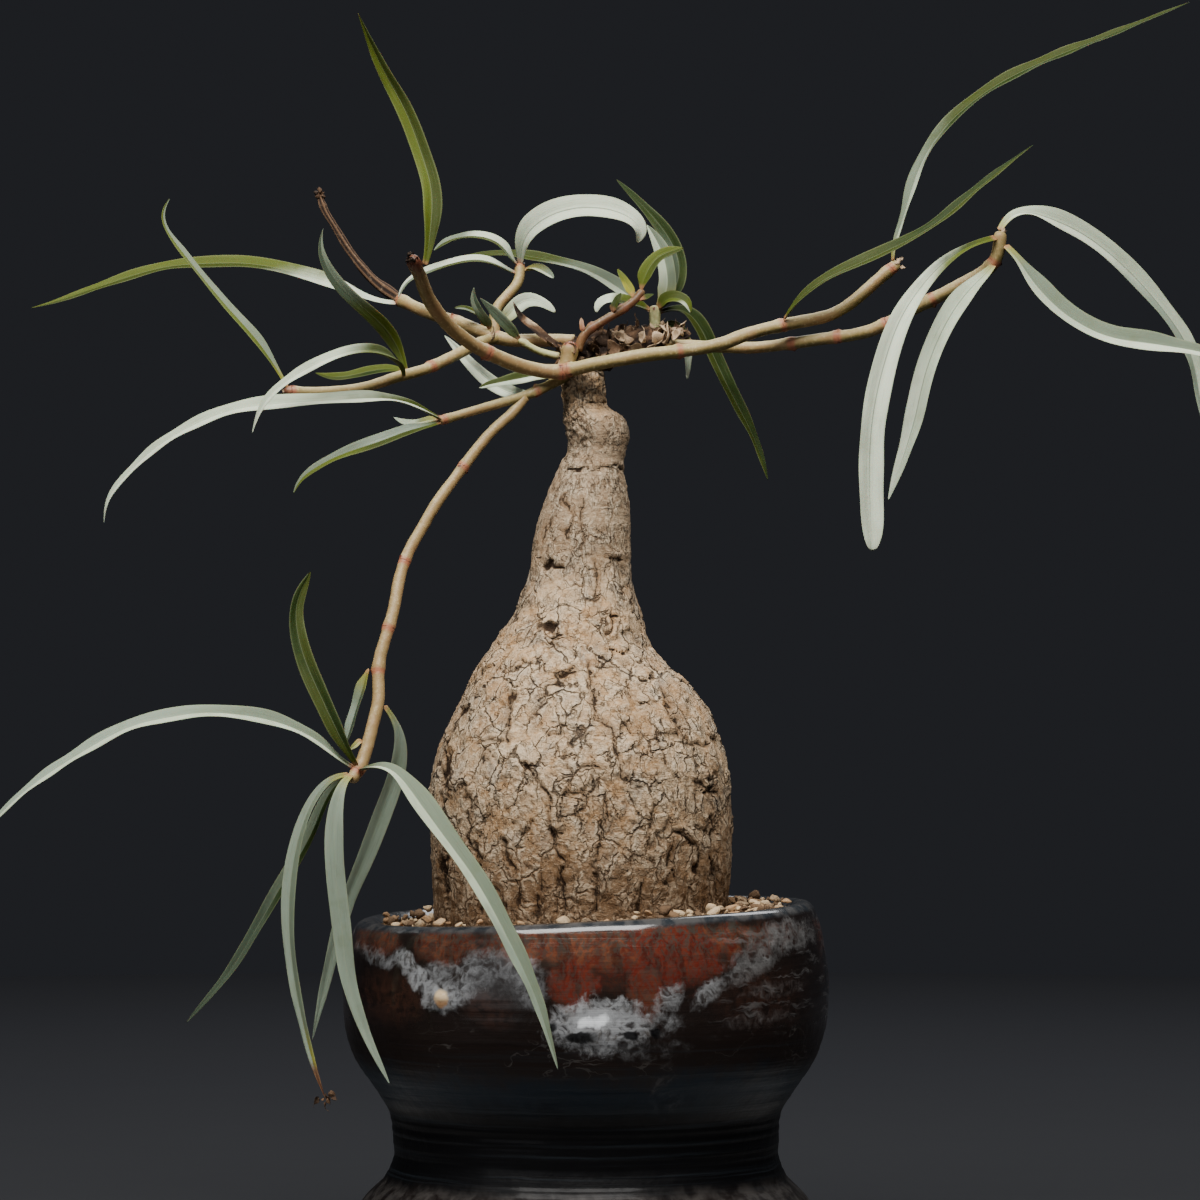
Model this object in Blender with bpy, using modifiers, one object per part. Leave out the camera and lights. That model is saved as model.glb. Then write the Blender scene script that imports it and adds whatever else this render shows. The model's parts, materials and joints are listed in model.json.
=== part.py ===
"""Potted euphorbia: a bottle-shaped caudex with eight bare stems, three leafy shoots and long arching
leaves, in a small hand-thrown pot filled with gritty soil.

Everything is written in millimetres and scaled to metres where it becomes a mesh. +Z is up, the front
of the plant looks along -Y, and the origin is the middle of the pot's underside.

The routes of the stems and leaves are lists of (across, up, back) points chosen by hand. Across and up
are read as the point looks from in front, on the upright plane through the pot's axis. Back is its
depth behind that plane, so a point in front of it is negative. seen() turns such points into places.
"""

import math
import random
from collections import namedtuple

import bmesh
import bpy
import numpy as np
from mathutils import Matrix, Vector

MM = 0.001
GAP = 0.3
SOCKET_GAP = 1.2 * GAP
ROUND_GAP = 1.7 * GAP  # between two turned solids with different numbers of sides
SMOOTH_ANGLE = math.radians(40)

# Where the plant is looked at from
VIEW_DISTANCE = 1400.0
EYE_ACROSS = 3.5
EYE_UP = 166.0

# Pot
POT_SIDES = 38
POT_RIM_UP = 88.2
POT_OUTLINE = [  # (radius, up), from the floor's middle up the inside, over the rim and down the outside
    (0.0, 8.5), (38.0, 9.0), (42.0, 16.0), (42.2, 28.0), (44.0, 40.0), (51.5, 52.0), (55.4, 66.0),
    (53.6, 78.0), (51.6, 86.6), (53.6, 88.2), (56.2, 87.8), (58.3, 84.7), (59.4, 80.5), (60.6, 73.0),
    (60.8, 65.5), (59.9, 58.5), (57.7, 52.0), (53.7, 46.0), (49.7, 40.4), (48.6, 39.2), (48.9, 36.4),
    (47.9, 33.6), (48.4, 30.6), (47.7, 27.4), (49.6, 24.2), (50.4, 21.6), (55.5, 16.5), (58.2, 11.0),
    (58.6, 5.0), (57.6, 1.2), (56.2, 0.0), (0.0, 0.0),
]
RIM_LEAN = 2.4  # how far the hand-made rim rises at its right side and falls at its left
RIM_LEAN_FROM = 60.0
RIM_RADIUS = 57.0
DRAIN_HOLES = 3
DRAIN_RADIUS = 4.5
DRAIN_AT_RADIUS = 20.0
DRILL_LENGTH = 20.0
DRILL_MIDDLE = 4.0

# Soil
SOIL_SIDES = 28
SOIL_TOP_AT_TRUNK = 87.6
SOIL_TOP_AT_WALL = 85.8
GRAIN_SEED = 11
GRAIN_TRIES = 1400
GRAIN_SPACING = 4.6
GRAIN_RADII = (2.1, 3.0)
GRAIN_INNER = 38.3
GRAIN_OUTER = 51.0
GRAIN_ROUGHNESS = (0.82, 1.12)
GRAIN_DEPTHS = (0.75, 1.0)  # shares of the grain's width
GRAIN_HEIGHTS = (0.65, 0.9)
GRAIN_TILT = 0.4
GRAIN_RISE = 0.15  # how far above the soil's top a grain's centre lies, as a share of its radius

# Caudex
CAUDEX_SIDES = 22
CAUDEX_TOP = 223.0
CAUDEX_OUTLINE = [  # (up, left side, right side), as seen from the front
    (222.5, -6.0, 4.5), (214.5, -5.5, 5.2), (211.5, -5.5, 9.0), (207.8, -5.0, 10.5), (203.5, -4.5, 9.8),
    (198.5, -7.0, 9.2), (191.0, -10.2, 10.5), (181.5, -13.0, 11.0), (174.0, -13.8, 11.0),
    (167.2, -16.0, 12.2), (161.8, -18.2, 13.8), (156.0, -22.2, 15.2), (150.5, -26.2, 19.2),
    (145.0, -29.2, 25.0), (137.5, -32.8, 30.4), (127.5, -36.9, 34.4), (118.5, -38.7, 35.8),
    (109.5, -38.7, 36.2), (100.5, -38.5, 36.2), (92.0, -38.0, 35.3), (84.0, -37.2, 34.4),
    (76.0, -32.0, 29.0), (69.0, -22.0, 19.0), (65.0, -10.0, 7.5),
]
CAUDEX_FOOT = 63.5
BARK_SEED = 4
BARK_JITTER = 0.24
BARK_STAGGER = 0.42
BARK_TALL_SHARE = 0.36
BARK_GROOVE = 0.5
BARK_DEPTHS = (0.45, 0.7, 0.95)
BARK_LOWEST = 90.0
NECK_UP = 190.0
NECK_GROOVE = 0.25
NECK_DEPTH_SHARE = 0.33
HOLE_OUTLINE = [(0.0, 62.9), (10.0, 64.2), (22.5, 68.2), (32.2, 75.6), (37.4, 83.6)]
HOLE_RADIUS_AT_TOP = 38.0
HOLE_CENTRE = -1.4

# Stems: the radii are at the base and the tip, and the joints are fractions of the length
Stem = namedtuple("Stem", "base tip joints route")
STEM_STEP = 5.2
JOINT_SWELL = 0.22
JOINT_REACH = 2.4
TIP_DOME = [(0.55, 0.83), (0.88, 0.42)]  # (how far past the tip, radius), as shares of the radius at the tip
STEMS = {
    "stem_a": Stem(2.1, 1.9, (0.02, 0.33, 0.97), [
        (-6.6, 223.1, -8.1), (-10.0, 223.0, -9.0), (-16.5, 224.5, -12.0), (-22.8, 227.0, -16.0),
        (-28.5, 230.0, -20.5), (-33.8, 234.0, -26.0), (-37.8, 238.8, -33.0), (-40.0, 242.5, -38.5),
        (-41.2, 246.2, -44.5), (-43.2, 250.8, -52.0)]),
    "stem_b": Stem(2.0, 1.7, (0.02, 0.33, 0.62, 0.97), [
        (-5.0, 223.2, -8.3), (-0.2, 224.5, -9.4), (8.8, 226.2, -10.2), (16.5, 227.5, -10.6),
        (23.5, 228.2, -10.6), (33.5, 229.8, -10.0), (41.0, 232.8, -9.0), (49.5, 234.8, -7.5),
        (62.0, 237.5, -5.0), (69.8, 243.2, -3.0), (74.5, 247.5, -2.0), (77.2, 249.5, -1.5)]),
    "stem_c": Stem(1.6, 1.9, (0.36, 0.48, 0.61, 0.74, 0.92), [
        (16.0, 229.8, 1.5), (19.2, 230.0, 1.6), (30.0, 229.4, 1.0), (41.0, 229.0, 0.0), (46.8, 229.5, -2.0),
        (58.2, 231.2, -5.0), (71.0, 233.2, -9.0), (82.2, 239.0, -12.0), (91.8, 243.8, -15.0),
        (102.2, 250.0, -18.0), (103.5, 256.8, -19.0)]),
    "stem_d": Stem(1.9, 1.8, (0.36, 0.60, 0.97), [
        (-3.0, 230.8, 3.0), (-10.0, 231.0, 4.5), (-19.5, 230.8, 7.0), (-22.8, 231.8, 8.0),
        (-29.2, 234.2, 12.0), (-31.8, 235.5, 14.0), (-39.5, 237.8, 21.0), (-46.3, 241.0, 29.5)]),
    "stem_e": Stem(1.6, 1.5, (0.97,), [
        (-22.8, 234.9, 8.7), (-22.5, 238.8, 10.2), (-17.0, 245.2, 13.0), (-16.5, 249.0, 15.0)]),
    "stem_g": Stem(1.7, 1.4, (0.38, 0.97), [
        (-24.1, 231.0, 5.2), (-27.2, 230.2, 0.5), (-31.0, 228.0, -4.5), (-40.8, 223.4, -11.5),
        (-46.8, 222.0, -15.5), (-55.0, 219.2, -19.5), (-62.2, 218.2, -22.5), (-69.2, 218.0, -25.0),
        (-74.5, 218.2, -27.0)]),
    "stem_h": Stem(1.5, 1.3, (0.28, 0.97), [
        (-6.6, 221.2, -4.2), (-8.5, 220.0, -5.5), (-14.8, 217.2, -8.5), (-24.0, 214.5, -14.0),
        (-35.8, 211.0, -21.0)]),
    "stem_i": Stem(1.5, 1.8, (0.22, 0.48, 0.64, 0.74, 0.97), [
        (-18.4, 212.5, -11.1), (-24.0, 207.8, -14.0), (-33.0, 196.2, -20.0), (-38.2, 189.0, -24.0),
        (-41.2, 183.5, -26.0), (-44.0, 179.0, -28.0), (-46.5, 172.2, -31.0), (-48.0, 163.8, -35.0),
        (-50.2, 156.0, -38.0), (-52.0, 149.8, -40.0), (-51.7, 140.0, -43.5), (-52.8, 137.2, -44.5),
        (-54.5, 129.8, -47.0), (-56.8, 123.0, -49.5), (-58.2, 121.6, -50.3)]),
}
OPEN_ENDED = ("stem_d",)  # the withered tip continues it
WITHERED_TIP = Stem(1.5, 0.8, (0.93,), [
    (-47.1, 241.5, 30.1), (-51.5, 244.5, 33.0), (-55.8, 248.8, 35.0), (-60.5, 255.2, 37.0),
    (-63.5, 260.5, 38.0), (-65.8, 263.5, 39.0), (-66.5, 266.8, 40.0)])

# Leaves: the facing vectors say where the upper side looks at the base and at the tip, and point is how
# long the blade keeps its width, from about 3 for a drawn-out tip to 9 for a blunt one
Leaf = namedtuple("Leaf", "stem width facing_base facing_tip point route")
LEAF_THICKNESS = 0.6
LEAF_SEAT = 0.7  # how far a leaf's line starts from its stem's skin
LEAF_STEP = 7.8
LEAF_STATIONS = (4, 12)
LEAF_FOLD = 0.42
LEAF_SAMPLES = 400
LEAF_BASE_SHARE = 0.3
LEAF_WIDENING = 0.24  # the share of its length over which a leaf widens to its full width
LEAF_TIP_CURVE = 0.8
LEAF_LEAST_HALF = 0.28
LEAF_CROWDING = 0.08  # how much closer the stations stand at both ends of a leaf
LEAVES = {
    "leaf_a1": Leaf("stem_a", 5.4, (0.6, -1, 0), (-0.7, -1, 0.3), 3, [
        (-40.2, 250.0, -50.0), (-39.0, 258.5, -48.0), (-38.5, 268.2, -45.0), (-41.2, 277.8, -42.0),
        (-45.0, 288.2, -41.0), (-50.8, 298.8, -42.0), (-57.0, 312.8, -46.0)]),
    "leaf_b1": Leaf("stem_b", 5.0, (-1, -0.6, 0.2), (-0.2, -0.75, 1), 3, [
        (76.5, 252.8, -2.0), (79.2, 260.5, 0.0), (83.0, 273.0, 3.0), (87.0, 280.5, 5.0), (92.8, 287.2, 7.0),
        (103.2, 295.0, 9.0), (117.5, 301.8, 10.0), (132.0, 307.5, 10.0), (151.0, 315.5, 9.0)]),
    "leaf_b2": Leaf("stem_b", 4.8, (-0.6, -0.8, 1), (-0.5, -0.8, 0.8), 3, [
        (49.5, 236.0, -9.0), (52.5, 240.5, -11.5), (60.0, 246.2, -13.0), (74.5, 252.8, -12.5),
        (87.0, 259.5, -10.5), (98.5, 269.2, -6.0), (111.8, 279.8, 0.0)]),
    "leaf_c1": Leaf("stem_c", 7.4, (0.2, -0.7, 1), (0.4, -1, 0.1), 9, [
        (101.2, 256.2, -21.0), (94.5, 253.8, -24.0), (87.0, 248.0, -28.5), (79.2, 237.5, -34.0),
        (74.5, 225.0, -38.5), (71.5, 210.8, -42.0), (70.8, 196.5, -44.0), (71.5, 178.2, -46.0)]),
    "leaf_c2": Leaf("stem_c", 6.2, (-0.3, -1, 0.5), (-0.5, -1, 0), 4, [
        (101.8, 249.0, -21.0), (95.5, 243.2, -24.5), (89.8, 234.8, -27.5), (85.0, 223.2, -30.0),
        (82.2, 210.8, -31.0), (79.2, 201.2, -32.0), (75.5, 190.8, -33.0)]),
    "leaf_c3": Leaf("stem_c", 6.6, (-0.4, -0.8, 0.6), (0.8, -1, 0.4), 4, [
        (103.8, 259.5, -18.5), (108.0, 263.0, -14.0), (115.5, 261.5, -8.0), (125.2, 256.8, -2.0),
        (134.8, 249.0, 3.0), (144.2, 238.5, 6.0), (151.0, 228.0, 8.0), (153.5, 215.5, 8.0),
        (155.5, 204.0, 7.0)]),
    "leaf_c4": Leaf("stem_c", 7.2, (0.8, -1, 0.5), (0, -0.9, 0.8), 5, [
        (106.0, 253.8, -20.0), (111.8, 245.2, -22.5), (119.5, 237.5, -24.0), (130.0, 231.8, -25.0),
        (141.5, 230.0, -25.0), (153.5, 228.0, -24.0), (161.5, 225.5, -22.5)]),
    "leaf_d1": Leaf("stem_d", 5.2, (0, -0.8, 0.8), (0, -0.9, 0.9), 3, [
        (-48.6, 239.8, 29.0), (-55.8, 241.8, 30.0), (-62.0, 244.5, 31.5), (-71.5, 247.5, 32.5),
        (-83.5, 250.0, 33.0), (-94.8, 250.0, 32.0), (-106.2, 249.0, 30.0), (-120.8, 244.5, 27.0),
        (-132.2, 240.5, 24.0), (-138.8, 239.0, 22.0)]),
    "leaf_e1": Leaf("stem_e", 4.0, (0.2, -0.7, 1), (0, -0.6, 1), 4, [
        (-18.8, 251.4, 13.6), (-22.0, 255.4, 12.2), (-28.2, 257.0, 11.0), (-34.5, 255.8, 10.0),
        (-38.2, 253.2, 9.0)]),
    "leaf_e2": Leaf("stem_e", 4.2, (0.2, -0.7, 1), (0, -0.8, 0.8), 3, [
        (-18.8, 247.8, 13.5), (-22.8, 250.2, 11.0), (-28.2, 251.2, 9.5), (-34.5, 249.8, 10.0),
        (-39.8, 248.0, 12.0), (-43.8, 246.5, 13.5), (-46.2, 244.2, 14.0), (-47.0, 241.4, 14.0)]),
    "leaf_e3": Leaf("stem_e", 7.6, (-0.6, -1, 0.4), (0.6, -0.9, 0.5), 6, [
        (-16.0, 251.6, 14.8), (-16.0, 255.5, 12.8), (-12.8, 259.8, 9.0), (-6.5, 263.2, 5.5),
        (1.0, 264.2, 3.0), (8.5, 263.0, 2.0), (13.5, 260.0, 2.0), (14.6, 257.0, 2.4), (12.8, 255.2, 3.2)]),
    "leaf_e4": Leaf("stem_e", 4.0, (0.2, -0.8, 1), (0.2, -0.8, 0.8), 4, [
        (-14.6, 248.6, 14.0), (-12.0, 248.8, 12.0), (-8.0, 246.4, 9.0)]),
    "leaf_f2": Leaf("stem_d", 2.8, (-0.4, -1, 0), (0.3, -1, 0), 3, [
        (-24.2, 234.8, 7.4), (-26.5, 237.8, 5.5), (-28.2, 241.2, 4.5), (-28.0, 244.2, 4.0)]),
    "leaf_f3": Leaf("stem_d", 2.6, (0, -0.8, 0.8), (0, -0.8, 0.8), 4, [
        (-25.4, 236.2, 10.6), (-28.8, 238.3, 8.2), (-30.8, 239.0, 7.6), (-33.0, 239.0, 7.4)]),
    "leaf_f4": Leaf("stem_e", 4.4, (0.2, -1, 0.3), (0.2, -1, 0.3), 4, [
        (-20.2, 236.2, 7.4), (-18.2, 238.6, 7.8), (-15.0, 240.9, 8.0), (-10.8, 240.2, 7.6),
        (-7.5, 237.8, 7.0)]),
    "leaf_g1": Leaf("stem_g", 4.6, (0.3, -0.7, 1), (-0.6, -0.9, 0.4), 3, [
        (-45.2, 222.0, -17.0), (-46.8, 225.5, -21.5), (-50.8, 227.8, -27.0), (-56.0, 228.5, -32.0),
        (-62.2, 227.2, -36.0), (-69.2, 224.0, -38.5), (-75.0, 220.5, -39.8), (-78.8, 217.4, -40.2),
        (-81.8, 213.2, -40.0), (-83.5, 207.5, -39.0)]),
    "leaf_g2": Leaf("stem_g", 4.4, (-0.6, -1, 0), (0.6, -1, -0.2), 3, [
        (-44.6, 222.6, -12.4), (-45.5, 226.2, -11.5), (-47.8, 230.8, -12.0), (-49.8, 234.0, -13.5),
        (-55.8, 239.2, -17.0), (-61.0, 243.8, -20.0), (-65.0, 249.2, -22.0), (-67.0, 254.4, -23.0),
        (-65.8, 258.8, -22.0)]),
    "leaf_g3": Leaf("stem_g", 3.4, (0, -0.9, 0.7), (0, -0.9, 0.6), 4, [
        (-46.4, 223.6, -13.2), (-52.5, 223.4, -11.5), (-59.8, 221.8, -12.0), (-64.5, 221.7, -13.0),
        (-67.8, 222.8, -14.0)]),
    "leaf_g4": Leaf("stem_g", 3.8, (0.5, -0.8, 1), (0.8, -0.8, 0.4), 3, [
        (-75.4, 220.4, -27.0), (-82.2, 230.8, -25.5), (-89.0, 238.2, -22.0), (-97.8, 248.8, -16.0),
        (-103.0, 255.5, -12.0), (-106.0, 260.0, -9.0), (-106.2, 264.0, -7.0), (-104.0, 266.5, -6.0)]),
    "leaf_h1": Leaf("stem_h", 5.2, (0, -0.7, 1), (-0.7, -0.9, 0.4), 3, [
        (-37.6, 211.8, -22.6), (-43.0, 214.8, -26.0), (-50.2, 216.4, -29.0), (-64.5, 215.8, -31.8),
        (-76.5, 215.0, -32.4), (-86.0, 214.0, -31.8), (-94.8, 211.2, -31.0), (-106.2, 205.0, -29.0),
        (-115.0, 197.0, -27.0), (-120.0, 190.8, -26.0), (-120.5, 185.0, -25.0)]),
    "leaf_h2": Leaf("stem_h", 4.2, (0, -0.8, 0.8), (-0.4, -1, 0.4), 3, [
        (-37.4, 209.6, -22.4), (-43.0, 208.8, -25.5), (-52.5, 205.2, -28.5), (-62.2, 202.0, -30.5),
        (-69.2, 198.0, -31.5), (-72.8, 195.2, -32.0), (-73.2, 192.5, -32.0)]),
    "leaf_h3": Leaf("stem_h", 2.6, (0, -0.8, 0.8), (0, -0.8, 0.8), 4, [
        (-38.2, 211.0, -20.4), (-43.0, 210.0, -19.4), (-46.0, 210.4, -19.4), (-48.2, 211.8, -19.4)]),
    "leaf_h4": Leaf("stem_h", 4.0, (0, -1, 0.6), (0, -1, 0.6), 4, [
        (-9.8, 222.4, -3.4), (-16.8, 221.2, -5.0), (-24.0, 219.8, -5.8), (-26.8, 219.0, -6.2)]),
    "leaf_h5": Leaf("stem_h", 4.0, (-0.4, -1, 0.3), (-0.6, -1, 0.2), 4, [
        (-14.8, 217.8, -6.4), (-17.6, 217.5, -2.6), (-20.0, 218.2, 0.0), (-24.0, 220.5, 2.0),
        (-28.8, 225.0, 4.5), (-32.5, 229.2, 7.0), (-35.4, 232.2, 8.0)]),
    "leaf_i1": Leaf("stem_i", 5.6, (0.2, -0.8, 1), (-0.5, -0.8, 0.8), 3, [
        (-61.0, 125.2, -50.0), (-67.0, 130.8, -51.4), (-78.5, 135.8, -54.0), (-93.8, 137.8, -56.0),
        (-105.0, 136.4, -57.5), (-116.5, 133.2, -58.5), (-136.5, 121.0, -60.0), (-146.5, 112.2, -60.0),
        (-152.5, 105.5, -59.5)]),
    "leaf_i2": Leaf("stem_i", 4.8, (-0.6, -1, 0), (0.6, -1, -0.2), 3, [
        (-57.8, 125.6, -51.4), (-60.4, 129.8, -52.0), (-65.2, 139.8, -51.0), (-71.0, 153.0, -48.5),
        (-72.8, 164.6, -46.0), (-68.8, 173.2, -44.0)]),
    "leaf_i3": Leaf("stem_i", 4.6, (-1, -0.8, 0.3), (-1, -0.8, 0.3), 4, [
        (-53.6, 150.4, -41.0), (-56.0, 143.0, -41.6), (-58.2, 136.0, -42.0), (-60.2, 129.0, -42.0)]),
    "leaf_i4": Leaf("stem_i", 5.6, (0.8, -1, 0.3), (0.4, -1, 0), 3, [
        (-50.6, 139.6, -43.0), (-47.8, 135.8, -41.0), (-46.6, 130.0, -39.0), (-48.0, 121.8, -37.5),
        (-50.8, 114.0, -37.0), (-55.5, 101.5, -36.5), (-60.5, 89.2, -36.0), (-65.2, 71.0, -35.5),
        (-68.5, 55.8, -35.0)]),
    "leaf_i5": Leaf("stem_i", 7.0, (0.4, -0.8, 1), (0.6, -1, 0.2), 3, [
        (-56.2, 123.6, -51.6), (-52.0, 124.8, -54.5), (-48.0, 123.4, -57.5), (-44.8, 119.6, -60.0),
        (-36.5, 108.2, -64.5), (-27.0, 95.0, -67.5), (-19.2, 80.5, -69.5), (-12.5, 66.2, -70.5),
        (-7.0, 48.5, -71.0)]),
    "leaf_i6": Leaf("stem_i", 5.4, (-0.2, -1, 0.4), (0.3, -1, 0), 3, [
        (-59.6, 122.4, -53.2), (-61.8, 117.6, -54.8), (-62.8, 110.0, -55.0), (-62.8, 99.8, -54.5),
        (-61.2, 85.2, -53.0), (-59.5, 71.0, -51.5), (-54.8, 56.8, -50.5), (-49.0, 44.8, -50.0)]),
    "leaf_i7": Leaf("stem_i", 4.4, (-0.8, -1, 0.3), (-0.4, -1, 0), 3, [
        (-61.0, 123.0, -50.0), (-65.6, 119.8, -49.6), (-70.0, 112.2, -49.0), (-73.2, 99.8, -48.0),
        (-74.2, 85.2, -47.0), (-72.8, 71.0, -46.5), (-70.0, 57.5, -46.0), (-67.5, 48.0, -46.0),
        (-65.2, 41.5, -46.5)]),
    "leaf_i8": Leaf("stem_i", 4.4, (-0.9, -1, 0.2), (-0.6, -1, 0), 3, [
        (-60.0, 122.0, -47.4), (-64.4, 117.6, -45.4), (-69.0, 106.5, -43.5), (-75.8, 95.0, -41.0),
        (-81.5, 85.2, -39.0), (-89.0, 73.0, -36.5), (-100.0, 60.2, -34.0)]),
    "leaf_i9": Leaf("stem_i", 1.8, (-0.3, -1, 0.4), (-0.3, -1, 0.4), 4, [
        (-56.4, 130.6, -47.6), (-57.6, 129.6, -48.2), (-59.0, 128.6, -48.4)]),
}
DRIED_LEAF = Leaf("stem_d", 2.4, (0.6, -1, 0.2), (-0.8, -1, 0.6), 5, [
    (-6.9, 229.4, -0.4), (-10.0, 231.4, 0.8), (-13.2, 234.4, 2.0), (-16.2, 236.6, 3.2), (-18.2, 240.6, 4.6)])

# Small leafy shoots, whose leaves are fused to them
SHOOTS = {
    "shoot_f": (
        Stem(1.2, 1.0, (0.9,), [(-6.9, 226.9, -1.0), (-11.8, 228.2, -2.0), (-16.2, 230.6, -3.0)]),
        [
            Leaf("shoot_f", 3.6, (-0.8, -1, -0.2), (-0.6, -1, -0.2), 3, [
                (-15.8, 230.4, -3.0), (-19.0, 234.4, -2.4), (-22.8, 238.2, -1.2), (-26.5, 241.5, 0.0)]),
        ],
    ),
    "shoot_j": (
        Stem(1.3, 1.2, (0.3, 0.7), [
            (-2.0, 228.4, -6.4), (-0.5, 232.5, -6.8), (5.0, 236.2, -5.4), (11.2, 240.0, -3.4),
            (13.8, 242.8, -2.4)]),
        [
            Leaf("shoot_j", 4.4, (-0.6, -1, 0.2), (-0.2, -1, 0.6), 4, [
                (13.6, 242.4, -2.4), (15.2, 247.8, -2.0), (18.5, 252.0, -1.2), (24.5, 254.0, 0.0)]),
            Leaf("shoot_j", 2.8, (0.4, -1, 0), (0.4, -1, 0), 3, [
                (12.0, 241.2, -2.8), (10.2, 244.8, -1.6), (7.8, 248.8, -0.4)]),
            Leaf("shoot_j", 2.2, (-0.4, -1, 0.2), (-0.4, -1, 0.2), 4, [
                (6.2, 236.8, -5.2), (7.2, 239.6, -6.0), (8.8, 242.8, -6.0)]),
            Leaf("shoot_j", 2.4, (0.2, -0.6, 1), (0.2, -0.6, 1), 4, [
                (12.0, 240.6, -3.2), (14.4, 241.2, -3.6), (17.0, 242.4, -3.8)]),
            Leaf("shoot_j", 1.4, (0, -1, 0), (0, -1, 0), 4, [
                (-0.6, 232.2, -7.0), (-1.0, 234.4, -7.6), (-1.2, 236.6, -7.6)]),
        ],
    ),
    "shoot_k": (
        Stem(1.7, 1.5, (0.9,), [(17.0, 232.6, 5.0), (17.2, 235.4, 4.8), (17.2, 238.4, 4.4)]),
        [
            Leaf("shoot_k", 4.8, (0, -0.7, 1), (-0.7, -0.8, 0.6), 5, [
                (16.6, 238.2, 4.2), (11.0, 240.4, 2.8), (6.0, 241.0, 2.0), (3.2, 239.8, 1.6),
                (2.6, 237.6, 1.6)]),
            Leaf("shoot_k", 4.6, (-0.3, -0.8, 1), (0.5, -0.8, 0.8), 4, [
                (17.6, 238.0, 4.0), (20.4, 241.2, 2.8), (24.4, 240.8, 1.6), (26.2, 237.6, 1.4)]),
            Leaf("shoot_k", 3.2, (0.2, -0.8, 1), (0.6, -1, 0), 4, [
                (17.6, 233.8, 6.0), (22.0, 234.8, 7.0), (24.6, 231.2, 7.0), (25.4, 226.0, 7.0),
                (25.2, 221.0, 7.0)]),
            Leaf("shoot_k", 4.6, (-0.3, -1, 0), (0.6, -1, 0), 3, [
                (17.4, 238.0, 5.2), (22.4, 243.4, 8.0), (23.5, 250.5, 10.0), (19.8, 258.0, 11.5),
                (13.5, 265.2, 13.0), (7.5, 271.2, 14.0)]),
            Leaf("shoot_k", 5.0, (-0.2, -1, 0), (0.3, -1, 0), 4, [
                (17.4, 238.2, 4.8), (20.4, 243.6, 5.4), (19.8, 250.5, 6.0), (18.0, 255.2, 6.4),
                (15.2, 259.8, 6.6)]),
            Leaf("shoot_k", 5.4, (0, -0.8, 1), (0.8, -1, 0.2), 3, [
                (17.4, 237.4, 5.4), (23.6, 239.4, 7.4), (28.5, 234.5, 8.6), (31.0, 228.6, 9.4),
                (36.0, 218.0, 10.0), (41.8, 206.8, 9.6), (45.5, 195.8, 8.0)]),
            Leaf("shoot_k", 5.0, (0, -0.8, 1), (0, -0.8, 0.9), 3, [
                (16.8, 237.6, 5.2), (12.4, 240.6, 8.6), (8.8, 243.5, 12.0), (0.8, 248.2, 17.0),
                (-7.5, 250.4, 21.0), (-14.2, 251.8, 24.0), (-22.0, 252.6, 26.0), (-32.5, 251.6, 27.0)]),
        ],
    ),
}

# Crown: lumps of old wood along the neck's top, and dry bracts that stand out of them
CROWN_SEED = 23
CROWN_FLOOR = 223.5
CROWN_LUMPS = [  # (across, up, back, radius), the first one holding the joint of stems a and b
    (-4.2, 226.2, -5.6, 3.0),
    (-1.2, 226.2, 0.2, 5.4), (3.8, 228.6, 0.6, 5.2), (9.5, 229.6, 1.2, 4.6),
    (14.5, 230.2, 2.2, 4.2), (19.0, 230.6, 3.2, 3.4), (23.0, 231.4, 3.6, 2.4),
]
CROWN_ROUGHNESS = (0.86, 1.08)
CROWN_BRACTS = 20
BRACT_RADII = (1.4, 2.2)
BRACT_TIP = 0.3
BRACT_REACH = (1.2, 3.2)  # how far a bract's tip stands out of its lump
BRACT_FLATNESS = 0.5
BLOCK_SIZE = 80.0

# Colours: (red, green, blue), roughness
FINISHES = {
    "glazed_clay": ((0.085, 0.045, 0.035), 0.22),
    "gritty_soil": ((0.42, 0.29, 0.17), 0.95),
    "bark": ((0.48, 0.36, 0.24), 0.92),
    "dry_bract": ((0.32, 0.2, 0.12), 0.85),
    "bare_stem": ((0.66, 0.55, 0.3), 0.5),
    "leaf_green": ((0.3, 0.38, 0.2), 0.48),
    "leaf_silver": ((0.5, 0.56, 0.46), 0.52),
}
SILVER_LEAVES = ("leaf_c", "leaf_e", "leaf_h", "leaf_i")


def seen(route):
    """The real places of points that were read as they look from in front."""
    places = []
    for across, up, back in route:
        spread = (VIEW_DISTANCE + back) / VIEW_DISTANCE
        places.append((EYE_ACROSS + (across - EYE_ACROSS) * spread, back, EYE_UP + (up - EYE_UP) * spread))
    return np.array(places)


def smooth_line(points, step=None, count=None):
    """Evenly spaced points on a smooth curve that passes through the given ones."""
    ends = np.vstack([2 * points[0] - points[1], points, 2 * points[-1] - points[-2]])
    t = np.linspace(0, 1, 16, endpoint=False)[:, None]
    fine = []
    for a, b, c, d in zip(ends, ends[1:], ends[2:], ends[3:]):
        bend = (2 * a - 5 * b + 4 * c - d) * t**2 + (3 * b - a - 3 * c + d) * t**3
        fine.append(0.5 * (2 * b + (c - a) * t + bend))
    fine = np.vstack(fine + [points[-1:]])
    reach = np.concatenate([[0], np.cumsum(np.linalg.norm(np.diff(fine, axis=0), axis=1))])
    if count is None:
        count = max(3, round(reach[-1] / step) + 1)
    at = np.linspace(0, reach[-1], count)
    return np.stack([np.interp(at, reach, fine[:, k]) for k in range(3)], axis=1)


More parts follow.
